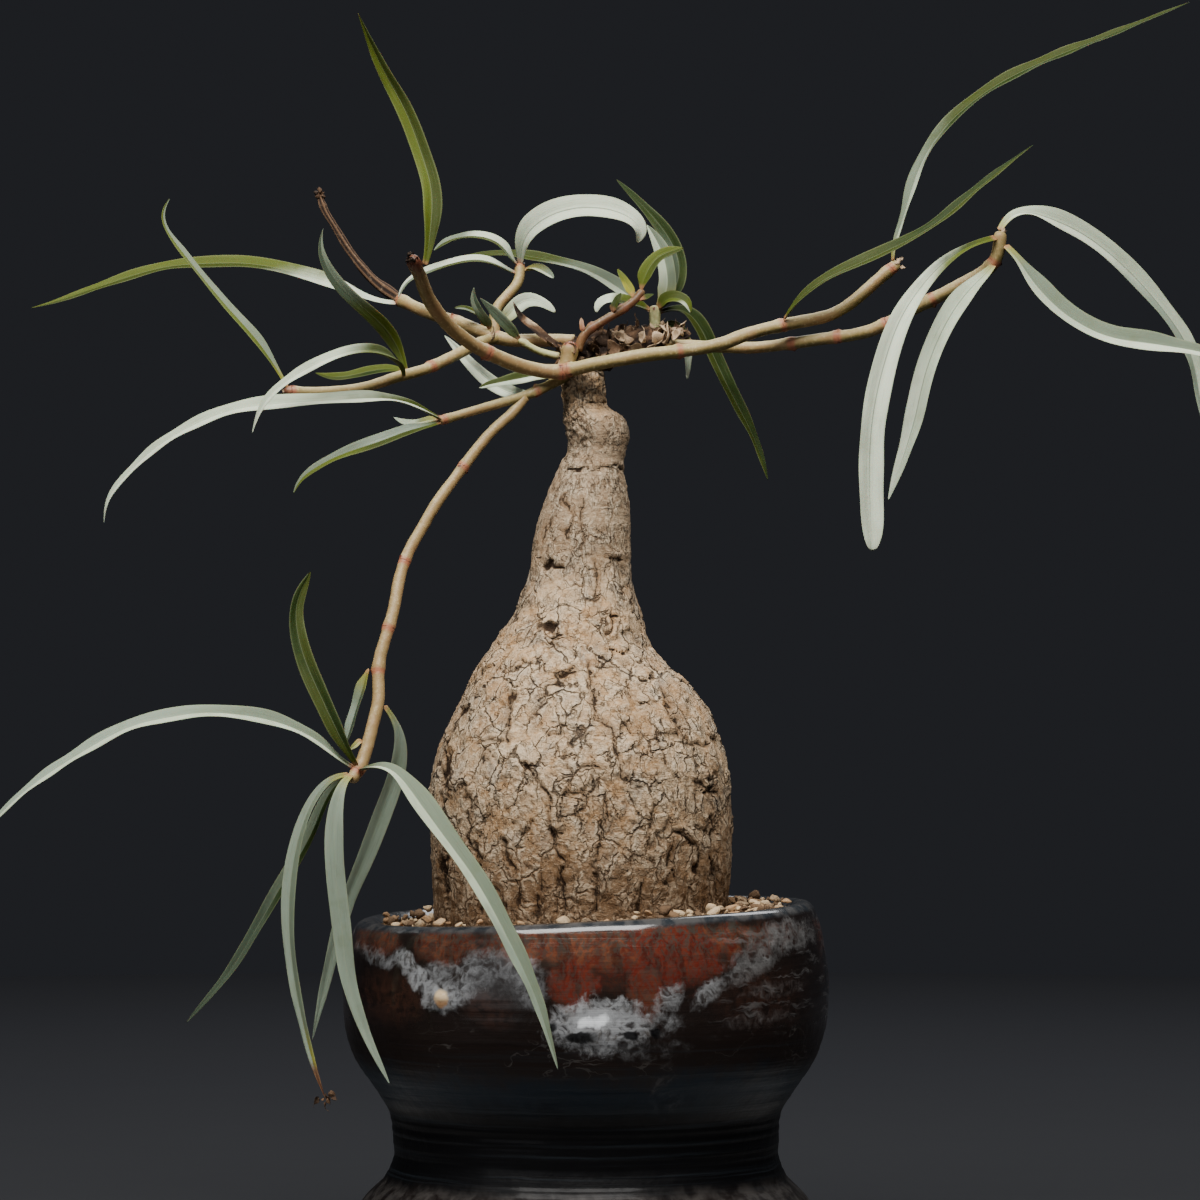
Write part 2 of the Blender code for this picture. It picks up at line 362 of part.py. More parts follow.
def stem_radii(stem, line):
    """The radius at each point of a stem's line: an even taper with a swelling at each joint."""
    along = np.concatenate([[0], np.cumsum(np.linalg.norm(np.diff(line, axis=0), axis=1))])
    radii = np.interp(along, [0, along[-1]], [stem.base, stem.tip])
    for joint in stem.joints:
        radii *= 1 + JOINT_SWELL * np.exp(-(((along - joint * along[-1]) / JOINT_REACH) ** 2))
    return radii


def finish(name):
    colour, roughness = FINISHES[name]
    material = bpy.data.materials.get(name)
    if material is None:
        material = bpy.data.materials.new(name)
        material.use_nodes = True
        shader = material.node_tree.nodes["Principled BSDF"]
        shader.inputs["Base Color"].default_value = (*colour, 1)
        shader.inputs["Roughness"].default_value = roughness
    return material


def add_object(name, data, finish_name):
    obj = bpy.data.objects.new(name, data)
    data.materials.clear()
    data.materials.append(finish(finish_name))
    PLANT.objects.link(obj)
    return obj


def mesh_object(name, bm, finish_name):
    """An object from a bmesh in millimetres, which is freed."""
    bmesh.ops.scale(bm, vec=(MM, MM, MM), verts=bm.verts)
    mesh = bpy.data.meshes.new(name)
    bm.to_mesh(mesh)
    bm.free()
    return add_object(name, mesh, finish_name)


def made_real(obj):
    """Turns an object's evaluated shape into a plain welded mesh object of the same name."""
    graph = bpy.context.evaluated_depsgraph_get()
    mesh = bpy.data.meshes.new_from_object(obj.evaluated_get(graph))
    bm = bmesh.new()
    bm.from_mesh(mesh)
    bmesh.ops.remove_doubles(bm, verts=bm.verts, dist=1e-6)
    bm.to_mesh(mesh)
    bm.free()
    name = obj.name
    obj.name = name + "_source"
    real = bpy.data.objects.new(name, mesh)
    PLANT.objects.link(real)
    bpy.data.objects.remove(obj)
    return real


def drop_scraps(mesh):
    """Keeps the largest of a mesh's separate pieces."""
    bm = bmesh.new()
    bm.from_mesh(mesh)
    left = set(bm.verts)
    pieces = []
    while left:
        piece = {left.pop()}
        newest = piece
        while newest:
            newest = {other for v in newest for e in v.link_edges for other in e.verts} & left
            left -= newest
            piece = piece | newest
        pieces.append(piece)
    pieces.sort(key=len)
    bmesh.ops.delete(bm, geom=[v for piece in pieces[:-1] for v in piece], context="VERTS")
    bm.to_mesh(mesh)
    bm.free()


def combine(body, others, operation):
    """One Boolean on a collection of helpers, which are removed with it."""
    helpers = bpy.data.collections.new("helpers")
    bpy.context.scene.collection.children.link(helpers)
    for other in others:
        helpers.objects.link(other)
        PLANT.objects.unlink(other)
    modifier = body.modifiers.new(operation, "BOOLEAN")
    modifier.operation = operation
    modifier.operand_type = "COLLECTION"
    modifier.collection = helpers
    modifier.solver = "MANIFOLD"
    result = made_real(body)
    drop_scraps(result.data)
    for other in others:
        bpy.data.objects.remove(other)
    bpy.data.collections.remove(helpers)
    return result


def turned(name, outline, sides, finish_name):
    """A solid turned about the upright axis, from a closed outline that runs down its outer side."""
    bm = bmesh.new()
    for radius, up in outline:
        bm.verts.new((radius, 0, up))
    bm.verts.ensure_lookup_table()
    for k in range(len(outline) - 1):
        bm.edges.new(bm.verts[k:k + 2])
    obj = mesh_object(name, bm, finish_name)
    screw = obj.modifiers.new("turn", "SCREW")
    screw.steps = screw.render_steps = sides
    screw.use_merge_vertices = True
    screw.merge_threshold = 1e-5
    return made_real(obj)


def rim_lift(across, up):
    """How far the leaning rim lifts a point of the pot or the soil."""
    share = min(1.0, max(0.0, (up - RIM_LEAN_FROM) / (POT_RIM_UP - RIM_LEAN_FROM)))
    return RIM_LEAN * share * share * across / RIM_RADIUS


def lean(obj):
    """Leans the upper part of a turned solid, as the hand-made rim does."""
    for v in obj.data.vertices:
        v.co.z += rim_lift(v.co.x / MM, v.co.z / MM) * MM
    obj.data.shade_smooth()
    obj.data.set_sharp_from_angle(angle=SMOOTH_ANGLE)


def make_pot():
    pot = turned("pot", POT_OUTLINE, POT_SIDES, "glazed_clay")
    lean(pot)
    drills = []
    for k in range(DRAIN_HOLES):
        turn = math.tau * (k + 0.25) / DRAIN_HOLES
        place = (DRAIN_AT_RADIUS * math.cos(turn), DRAIN_AT_RADIUS * math.sin(turn), DRILL_MIDDLE)
        bm = bmesh.new()
        bmesh.ops.create_cone(bm, cap_ends=True, segments=10, radius1=DRAIN_RADIUS, radius2=DRAIN_RADIUS,
                              depth=DRILL_LENGTH, matrix=Matrix.Translation(place))
        drills.append(mesh_object("drill", bm, "glazed_clay"))
    combine(pot, drills, "DIFFERENCE")


def soil_top(radius):
    share = (radius - HOLE_RADIUS_AT_TOP) / (GRAIN_OUTER - HOLE_RADIUS_AT_TOP)
    return SOIL_TOP_AT_TRUNK + (SOIL_TOP_AT_WALL - SOIL_TOP_AT_TRUNK) * min(1.0, max(0.0, share))


def soil_outline():
    """From the bottom of the trunk's hole, up it, across the top and down inside the pot's wall."""
    wall = [(r - ROUND_GAP, up) for r, up in reversed(POT_OUTLINE[2:8])]
    wall[-1] = (wall[-1][0], POT_OUTLINE[2][1])
    top = [(HOLE_RADIUS_AT_TOP, SOIL_TOP_AT_TRUNK), (GRAIN_OUTER, SOIL_TOP_AT_WALL)]
    foot = [(POT_OUTLINE[1][0] - ROUND_GAP, POT_OUTLINE[1][1] + GAP), (0.0, POT_OUTLINE[0][1] + GAP)]
    return HOLE_OUTLINE + top + wall + foot


def grain(place, radius, draw):
    """One soil grain: a rough, flattened, turned twenty-sided stone."""
    bm = bmesh.new()
    bmesh.ops.create_icosphere(bm, subdivisions=1, radius=radius)
    for v in bm.verts:
        v.co *= draw.uniform(*GRAIN_ROUGHNESS)
    bmesh.ops.scale(bm, vec=(1.0, draw.uniform(*GRAIN_DEPTHS), draw.uniform(*GRAIN_HEIGHTS)), verts=bm.verts)
    tilt = Matrix.Rotation(draw.uniform(-GRAIN_TILT, GRAIN_TILT), 3, "X")
    turn = Matrix.Rotation(draw.uniform(0, math.tau), 3, "Z") @ tilt
    bmesh.ops.rotate(bm, matrix=turn, verts=bm.verts)
    bmesh.ops.translate(bm, vec=place, verts=bm.verts)
    return mesh_object("grain", bm, "gritty_soil")


def make_soil():
    soil = turned("soil", soil_outline(), SOIL_SIDES, "gritty_soil")
    for v in soil.data.vertices:
        in_hole = v.co.xy.length / MM < GRAIN_INNER and v.co.z / MM > HOLE_OUTLINE[0][1] - GAP
        if in_hole:
            v.co.x += HOLE_CENTRE * MM
    lean(soil)
    draw = random.Random(GRAIN_SEED)
    placed = []
    grains = []
    for _ in range(GRAIN_TRIES):
        radius = draw.uniform(*GRAIN_RADII)
        angle = draw.uniform(0, math.tau)
        out = math.sqrt(draw.uniform((GRAIN_INNER + radius) ** 2, (GRAIN_OUTER - radius) ** 2))
        share = (GRAIN_OUTER - out) / (GRAIN_OUTER - GRAIN_INNER)
        x = out * math.cos(angle) + HOLE_CENTRE * share
        y = out * math.sin(angle)
        if any((x - px) ** 2 + (y - py) ** 2 < GRAIN_SPACING**2 for px, py in placed):
            continue
        placed.append((x, y))
        up = soil_top(out) + GRAIN_RISE * radius
        grains.append(grain((x, y, up + rim_lift(x, up)), radius, draw))
    combine(soil, grains, "UNION")


def caudex_ring(level):
    """(up, middle, radius) of the caudex at a row number, which may lie between two rows."""
    ups, lefts, rights = np.array(CAUDEX_OUTLINE).T
    rows = np.arange(len(ups))
    left = np.interp(level, rows, lefts)
    right = np.interp(level, rows, rights)
    return np.interp(level, rows, ups), (left + right) / 2, (right - left) / 2


def bark_seams(bm, rows, draw):
    """Removes some seams of the flat net: the neck's plates become wide and some of the belly's tall."""
    wide = set()
    tall = set()
    for row in range(1, rows):
        if CAUDEX_OUTLINE[row][0] > NECK_UP:
            wide.update((column, row) for column in range(1 + row % 2, CAUDEX_SIDES - 1, 2))
        elif row % 2 == 0:
            tall.update((column, row) for column in range(CAUDEX_SIDES) if draw.random() < BARK_TALL_SHARE)
    found = []
    for e in bm.edges:
        a, b = (v.co for v in e.verts)
        place = (round(min(a.x, b.x)), round(min(a.y, b.y)))
        upright = abs(a.x - b.x) < 0.1
        if place in (wide if upright else tall):
            found.append(e)
    bmesh.ops.dissolve_edges(bm, edges=found, use_verts=False)


def make_caudex():
    """A net of bark plates, drawn flat, wrapped round the trunk's outline and closed at both ends."""
    rows = len(CAUDEX_OUTLINE) - 1
    draw = random.Random(BARK_SEED)
    shifts = [
        [(draw.uniform(-1, 1), draw.uniform(-1, 1)) for _ in range(CAUDEX_SIDES)] for _ in range(rows + 1)
    ]
    bm = bmesh.new()
    bmesh.ops.create_grid(bm, x_segments=CAUDEX_SIDES, y_segments=rows, size=1)
    for v in bm.verts:
        v.co.x = (v.co.x + 1) / 2 * CAUDEX_SIDES
        v.co.y = (v.co.y + 1) / 2 * rows
    bark_seams(bm, rows, draw)
    for v in bm.verts:
        column, row = round(v.co.x), round(v.co.y)
        aside, along = shifts[row][column % CAUDEX_SIDES]
        level = row + BARK_JITTER * along + BARK_STAGGER * (column % 2)
        up, middle, radius = caudex_ring(row if row in (0, rows) else level)
        turn = math.tau * (column + BARK_JITTER * aside) / CAUDEX_SIDES
        v.co = (middle + radius * math.cos(turn), radius * math.sin(turn), up)
    bmesh.ops.remove_doubles(bm, verts=bm.verts, dist=1e-4)
    rims = [e for e in bm.edges if e.is_boundary]
    caps = bmesh.ops.edgeloop_fill(bm, edges=rims)["faces"]
    for cap in caps:
        centre = cap.calc_center_median()
        top = centre.z > NECK_UP
        poked = bmesh.ops.poke(bm, faces=[cap])["verts"]
        poked[0].co.z = CAUDEX_TOP if top else CAUDEX_FOOT
    bmesh.ops.recalc_face_normals(bm, faces=bm.faces)
    plates = [f for f in bm.faces if f.calc_center_median().z > BARK_LOWEST and len(f.verts) > 3]
    for k, depth in enumerate(BARK_DEPTHS):
        group = [f for f in plates if draw.randrange(len(BARK_DEPTHS)) == k]
        plates = [f for f in plates if f not in group]
        neck = [f for f in group if f.calc_center_median().z > NECK_UP]
        belly = [f for f in group if f not in neck]
        bmesh.ops.inset_individual(bm, faces=belly, thickness=BARK_GROOVE, depth=depth, use_even_offset=True)
        bmesh.ops.inset_individual(bm, faces=neck, thickness=NECK_GROOVE, depth=depth * NECK_DEPTH_SHARE,
                                   use_even_offset=True)
    bmesh.ops.triangulate(bm, faces=bm.faces)
    mesh_object("caudex", bm, "bark")


def domed(line, radii):
    """A stem's line and radii with the rings that round off its tip."""
    onward = line[-1] - line[-2]
    onward *= radii[-1] / np.linalg.norm(onward)
    rounded = [line[-1] + past * onward for past, _ in TIP_DOME]
    return np.vstack([line, *rounded]), np.concatenate([radii, [share * radii[-1] for _, share in TIP_DOME]])


def tube(name, line, radii, finish_name, widen=0.0):
    """A round stem along a line of points, with filled ends."""
    curve = bpy.data.curves.new(name, "CURVE")
    curve.dimensions = "3D"
    curve.bevel_depth = MM
    curve.bevel_resolution = 2
    curve.use_fill_caps = True
    spline = curve.splines.new("POLY")
    spline.points.add(len(line) - 1)
    for point, place, radius in zip(spline.points, line, radii):
        point.co = (*(place * MM), 1)
        point.radius = radius + widen
    return add_object(name, curve, finish_name)


def stem_tube(name, stem, finish_name, widen=0.0):
    """A stem, or with widen a fatter and longer copy that cuts a socket for it."""
    line = smooth_line(seen(stem.route), step=STEM_STEP)
    radii = stem_radii(stem, line)
    if name not in OPEN_ENDED:
        line, radii = domed(line, radii)
    backward = line[0] - line[1]
    line[0] += backward / np.linalg.norm(backward) * widen
    return tube(name, line, radii, finish_name, widen)


def blade_half_width(leaf, t):
    rise = min(1.0, t / LEAF_WIDENING)
    rise = rise * rise * (3 - 2 * rise)
    share = LEAF_BASE_SHARE + (1 - LEAF_BASE_SHARE) * rise
    return max(LEAF_LEAST_HALF, leaf.width / 2 * share * max(0.0, 1 - t**leaf.point) ** LEAF_TIP_CURVE)


def leaf_line(leaf, stem):
    """A leaf's line to its tip from where it stands clear of its stem, close to the stem's skin."""
    places = seen(leaf.route)
    if stem is None:
        return places
    core = smooth_line(seen(stem.route), step=0.5)
    radii = stem_radii(stem, core)
    apart = np.linalg.norm(core - places[0], axis=1) - radii
    if apart.min() > 0:
        places = np.vstack([core[apart.argmin()], places])
    line = smooth_line(places, step=0.1)
    for start, place in enumerate(line):
        if (np.linalg.norm(core - place, axis=1) - radii).min() > LEAF_SEAT:
            return line[start:]
    return line


def blade(name, leaf, finish_name, stem=None, widen=0.0):
    """One leaf: a grid laid along the leaf's line, folded at the midrib and thickened.

    Widen makes it a cutter that leaves room for the leaf.
    """
    line = leaf_line(leaf, stem)
    length = np.linalg.norm(np.diff(line, axis=0), axis=1).sum()
    fewest, most = LEAF_STATIONS
    stations = min(most, max(fewest, round(length / LEAF_STEP)))
    line = smooth_line(line, count=LEAF_SAMPLES + 1)
    tangents = np.gradient(line, axis=0)
    facing_base, facing_tip = np.array(leaf.facing_base, float), np.array(leaf.facing_tip, float)
    bm = bmesh.new()
    bmesh.ops.create_grid(bm, x_segments=stations, y_segments=2, size=1)
    for v in bm.verts:
        t = (v.co.x + 1) / 2
        t -= LEAF_CROWDING * math.sin(math.tau * t)
        k = round(t * LEAF_SAMPLES)
        aside = v.co.y
        facing = Vector(facing_base * (1 - t) + facing_tip * t)
        tangent = Vector(tangents[k]).normalized()
        side = tangent.cross(facing).normalized()
        normal = side.cross(tangent)
        half = blade_half_width(leaf, t) + widen
        across = side * (aside * half * math.cos(LEAF_FOLD))
        v.co = Vector(line[k]) + across + normal * (abs(aside) * half * math.sin(LEAF_FOLD))
    bmesh.ops.triangulate(bm, faces=bm.faces)
    obj = mesh_object(name, bm, finish_name)
    wall = obj.modifiers.new("thickness", "SOLIDIFY")
    wall.thickness = (LEAF_THICKNESS + 2 * widen) * MM
    wall.offset = 0
    return obj


def make_stems():
    for name, stem in STEMS.items():
        stem_tube(name, stem, "bare_stem")
    stem_tube("withered_tip", WITHERED_TIP, "dry_bract")


def make_leaves():
    for name, leaf in LEAVES.items():
        silver = name.startswith(SILVER_LEAVES)
        blade(name, leaf, "leaf_silver" if silver else "leaf_green", STEMS[leaf.stem])
    blade("dried_leaf", DRIED_LEAF, "dry_bract", STEMS[DRIED_LEAF.stem])


def make_shoots():
    for name, (stem, leaves) in SHOOTS.items():
        core = made_real(stem_tube(name, stem, "leaf_green"))
        blades = [made_real(blade("blade", leaf, "leaf_green")) for leaf in leaves]
        combine(core, blades, "UNION")


def crown_cutters():
    """Sockets for all that grows out of the crown or passes close by it, and the flat on which it sits."""
    cutters = []
    near = [STEMS[name] for name in ("stem_a", "stem_b", "stem_c", "stem_d", "stem_e", "stem_g", "stem_h")]
    near += [stem for stem, _ in SHOOTS.values()]
    for stem in near:
        cutters.append(made_real(stem_tube("socket", stem, "bark", widen=SOCKET_GAP)))
    for leaf in [leaf for _, leaves in SHOOTS.values() for leaf in leaves] + [DRIED_LEAF]:
        cutters.append(made_real(blade("socket", leaf, "bark", widen=SOCKET_GAP)))
    bm = bmesh.new()
    below = Matrix.Translation((0, 0, CROWN_FLOOR - BLOCK_SIZE / 2))
    bmesh.ops.create_cube(bm, size=BLOCK_SIZE, matrix=below)
    cutters.append(mesh_object("flat", bm, "bark"))
    return cutters


def make_crown():
    draw = random.Random(CROWN_SEED)
    lumps = []
    for place, radius in [(seen([lump[:3]])[0], lump[3]) for lump in CROWN_LUMPS]:
        bm = bmesh.new()
        bmesh.ops.create_icosphere(bm, subdivisions=2, radius=radius)
        for v in bm.verts:
            v.co *= draw.uniform(*CROWN_ROUGHNESS)
        bmesh.ops.translate(bm, vec=place, verts=bm.verts)
        lumps.append(mesh_object("crown", bm, "bark"))
    bracts = []
    for _ in range(CROWN_BRACTS):
        across, up, back, radius = draw.choice(CROWN_LUMPS)
        root = Vector(seen([(across, up, back)])[0])
        out = Vector((draw.uniform(-1, 1), draw.uniform(-1, 1), draw.uniform(-0.2, 1))).normalized()
        tip = root + out * (radius + draw.uniform(*BRACT_REACH))
        bm = bmesh.new()
        bmesh.ops.create_cone(bm, cap_ends=True, segments=5, radius1=draw.uniform(*BRACT_RADII),
                              radius2=BRACT_TIP, depth=(tip - root).length)
        bmesh.ops.scale(bm, vec=(1.0, BRACT_FLATNESS, 1.0), verts=bm.verts)
        bmesh.ops.rotate(bm, matrix=out.to_track_quat("Z", "Y").to_matrix(), verts=bm.verts)
        bmesh.ops.translate(bm, vec=(root + tip) / 2, verts=bm.verts)
        bracts.append(mesh_object("bract", bm, "bark"))
    crown = combine(lumps[0], lumps[1:] + bracts, "UNION")
    combine(crown, crown_cutters(), "DIFFERENCE")


for old in list(bpy.data.objects):
    bpy.data.objects.remove(old)
PLANT = bpy.data.collections.new("potted_euphorbia")
bpy.context.scene.collection.children.link(PLANT)
make_pot()
make_soil()
make_caudex()
make_stems()
make_leaves()
make_shoots()
make_crown()
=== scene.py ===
"""Potted euphorbia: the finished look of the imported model, laid out as a Blender add-on.

The outlines, routes and sizes are in millimetres and are those of the solids, so each finer piece keeps
the form of the solid that it replaces. +Z is up, the front looks along -Y, and the origin is the middle
of the pot's underside. A route is a list of (across, up, back) points as they look from in front, and
seen() turns them into places.
"""

import json
import math
import random
from collections import namedtuple
from functools import reduce

import bmesh
import bpy
import numpy as np
from bpy.props import FloatProperty, FloatVectorProperty, IntProperty, PointerProperty
from mathutils import Matrix, Vector, noise
from mathutils.kdtree import KDTree


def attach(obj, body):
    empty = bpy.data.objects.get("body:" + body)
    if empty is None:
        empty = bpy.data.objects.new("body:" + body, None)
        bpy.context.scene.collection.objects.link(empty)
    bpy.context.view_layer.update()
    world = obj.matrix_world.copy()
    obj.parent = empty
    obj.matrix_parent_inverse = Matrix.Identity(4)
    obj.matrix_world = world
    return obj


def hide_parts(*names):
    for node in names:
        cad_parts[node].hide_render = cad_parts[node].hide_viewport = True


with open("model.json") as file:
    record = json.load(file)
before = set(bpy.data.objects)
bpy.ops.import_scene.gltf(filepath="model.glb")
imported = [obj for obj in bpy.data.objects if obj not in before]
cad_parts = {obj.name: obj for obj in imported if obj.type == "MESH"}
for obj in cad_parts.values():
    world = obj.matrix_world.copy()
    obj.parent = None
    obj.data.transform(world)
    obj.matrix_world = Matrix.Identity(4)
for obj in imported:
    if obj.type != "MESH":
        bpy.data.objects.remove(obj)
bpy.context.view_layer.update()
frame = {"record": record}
BODY = "root"

bl_info = {
    "name": "Potted Euphorbia",
    "version": (1, 0, 0),
    "blender": (4, 5, 0),
    "location": "View3D > Sidebar > Euphorbia",
    "description": "Glaze, gritty soil, corky bark, bare stems and long leaves for the potted euphorbia",
    "category": "Object",
}

MM = 0.001
MERGE = 0.002

# Where the plant is looked at from
VIEW_DISTANCE = 1400.0
EYE_ACROSS = 3.5
EYE_UP = 166.0
LENS = 168.0
SENSOR = 36.0

# Pot
POT_RIM_UP = 88.2
POT_OUTLINE = [  # (radius, up), from the floor's middle up the inside, over the rim and down the outside
    (0, 8.5), (38, 9), (42, 16), (42.2, 28), (44, 40), (51.5, 52), (55.4, 66),
    (53.6, 78), (51.6, 86.6), (53.4, 88.3), (55.7, 88.3), (57.3, 86.9), (58.3, 84.4), (59.4, 80.5),
    (60.6, 73), (60.8, 65.5), (59.9, 58.5), (57.7, 52), (53.7, 46), (50.2, 40.8), (49, 38.6),
    (48.5, 36.4), (48.3, 33.6), (48.1, 30.6), (48, 27.4), (49.2, 24.2), (50.6, 21.6), (55.5, 16.5),
    (58.2, 11), (58.6, 5), (57.6, 1.2), (56.2, 0), (0, 0),
]
RIM_LEAN = 2.4  # how far the hand-made rim rises at its right side and falls at its left
RIM_LEAN_FROM = 60.0
RIM_RADIUS = 57.0
BEAD_ACROSS, BEAD_UP = -34.8, 69.9  # the glaze's small raised bead
DRAIN_HOLES = 3
DRAIN_RADIUS = 4.5
DRAIN_AT_RADIUS = 20.0
DRILL_LENGTH = 20.0
DRILL_MIDDLE = 4.0

# Soil
SOIL_TOP_AT_TRUNK = 87.6
SOIL_TOP_AT_WALL = 85.8
GRAIN_INNER = 38.3
GRAIN_OUTER = 51.0

# Caudex
CAUDEX_TOP = 223.0
CAUDEX_OUTLINE = [  # (up, left side, right side), as seen from the front
    (222.5, -6, 4.5), (214.5, -5.5, 5.2), (211.5, -5.5, 9), (207.8, -5, 10.5), (203.5, -4.5, 9.8),
    (198.5, -7, 9.2), (191, -10.2, 10.5), (181.5, -13, 11), (174, -13.8, 11),
    (167.2, -16, 12.2), (161.8, -18.2, 13.8), (156, -22.2, 15.2), (150.5, -26.2, 19.2),
    (145, -29.2, 25), (137.5, -32.8, 30.4), (127.5, -36.9, 34.4), (118.5, -38.7, 35.8),
    (109.5, -38.7, 36.2), (100.5, -38.5, 36.2), (92, -38, 35.3), (84, -37.2, 34.4),
    (76, -32, 29), (69, -22, 19), (65, -10, 7.5),
]
CAUDEX_FOOT = 63.5
HOLE_OUTLINE = [(0, 62.9), (10, 64.2), (22.5, 68.2), (32.2, 75.6), (37.4, 83.6)]
HOLE_RADIUS_AT_TOP = 38.0
HOLE_CENTRE = -1.4

# Stems: the radii are at the base and the tip, and the joints are fractions of the length
Stem = namedtuple("Stem", "base tip joints route")
JOINT_SWELL = 0.14
JOINT_REACH = 1.2
STEMS = {
    "stem_a": Stem(2.1, 1.9, (0.02, 0.33, 0.97), [
        (-6.6, 223.1, -8.1), (-10, 223, -9), (-16.5, 224.5, -12), (-22.8, 227, -16),
        (-28.5, 230, -20.5), (-33.8, 234, -26), (-37.8, 238.8, -33), (-40, 242.5, -38.5),
        (-41.2, 246.2, -44.5), (-43.2, 250.8, -52)]),
    "stem_b": Stem(2, 1.7, (0.02, 0.33, 0.62, 0.97), [
        (-5, 223.2, -8.3), (-0.2, 224.5, -9.4), (8.8, 226.2, -10.2), (16.5, 227.5, -10.6),
        (23.5, 228.2, -10.6), (33.5, 229.8, -10), (41, 232.8, -9), (49.5, 234.8, -7.5),
        (62, 237.5, -5), (69.8, 243.2, -3), (74.5, 247.5, -2), (77.2, 249.5, -1.5)]),
    "stem_c": Stem(1.6, 1.9, (0.36, 0.48, 0.61, 0.74, 0.92), [
        (16, 229.8, 1.5), (19.2, 230, 1.6), (30, 229.4, 1), (41, 229, 0), (46.8, 229.5, -2),
        (58.2, 231.2, -5), (71, 233.2, -9), (82.2, 239, -12), (91.8, 243.8, -15),
        (102.2, 250, -18), (103.5, 256.8, -19)]),
    "stem_d": Stem(1.9, 1.8, (0.36, 0.60, 0.97), [
        (-3, 230.8, 3), (-10, 231, 4.5), (-19.5, 230.8, 7), (-22.8, 231.8, 8),
        (-29.2, 234.2, 12), (-31.8, 235.5, 14), (-39.5, 237.8, 21), (-46.3, 241, 29.5)]),
    "stem_e": Stem(1.6, 1.5, (0.97,), [
        (-22.8, 234.9, 8.7), (-22.5, 238.8, 10.2), (-17, 245.2, 13), (-16.5, 249, 15)]),
    "stem_g": Stem(1.7, 1.4, (0.38, 0.97), [
        (-24.1, 231, 5.2), (-27.2, 230.2, 0.5), (-31, 228, -4.5), (-40.8, 223.4, -11.5),
        (-46.8, 222, -15.5), (-55, 219.2, -19.5), (-62.2, 218.2, -22.5), (-69.2, 218, -25),
        (-74.5, 218.2, -27)]),
    "stem_h": Stem(1.5, 1.3, (0.28, 0.97), [
        (-6.6, 221.2, -4.2), (-8.5, 220, -5.5), (-14.8, 217.2, -8.5), (-24, 214.5, -14),
        (-35.8, 211, -21)]),
    "stem_i": Stem(1.5, 1.8, (0.22, 0.48, 0.64, 0.74, 0.97), [
        (-18.4, 212.5, -11.1), (-24, 207.8, -14), (-33, 196.2, -20), (-38.2, 189, -24),
        (-41.2, 183.5, -26), (-44, 179, -28), (-46.5, 172.2, -31), (-48, 163.8, -35),
        (-50.2, 156, -38), (-52, 149.8, -40), (-51.7, 140, -43.5), (-52.8, 137.2, -44.5),
        (-54.5, 129.8, -47), (-56.8, 123, -49.5), (-58.2, 121.6, -50.3)]),
}
WITHERED_TIP = Stem(1.5, 0.8, (0.93,), [
    (-47.1, 241.5, 30.1), (-51.5, 244.5, 33), (-55.8, 248.8, 35), (-60.5, 255.2, 37),
    (-63.5, 260.5, 38), (-65.8, 263.5, 39), (-66.5, 266.8, 40)])

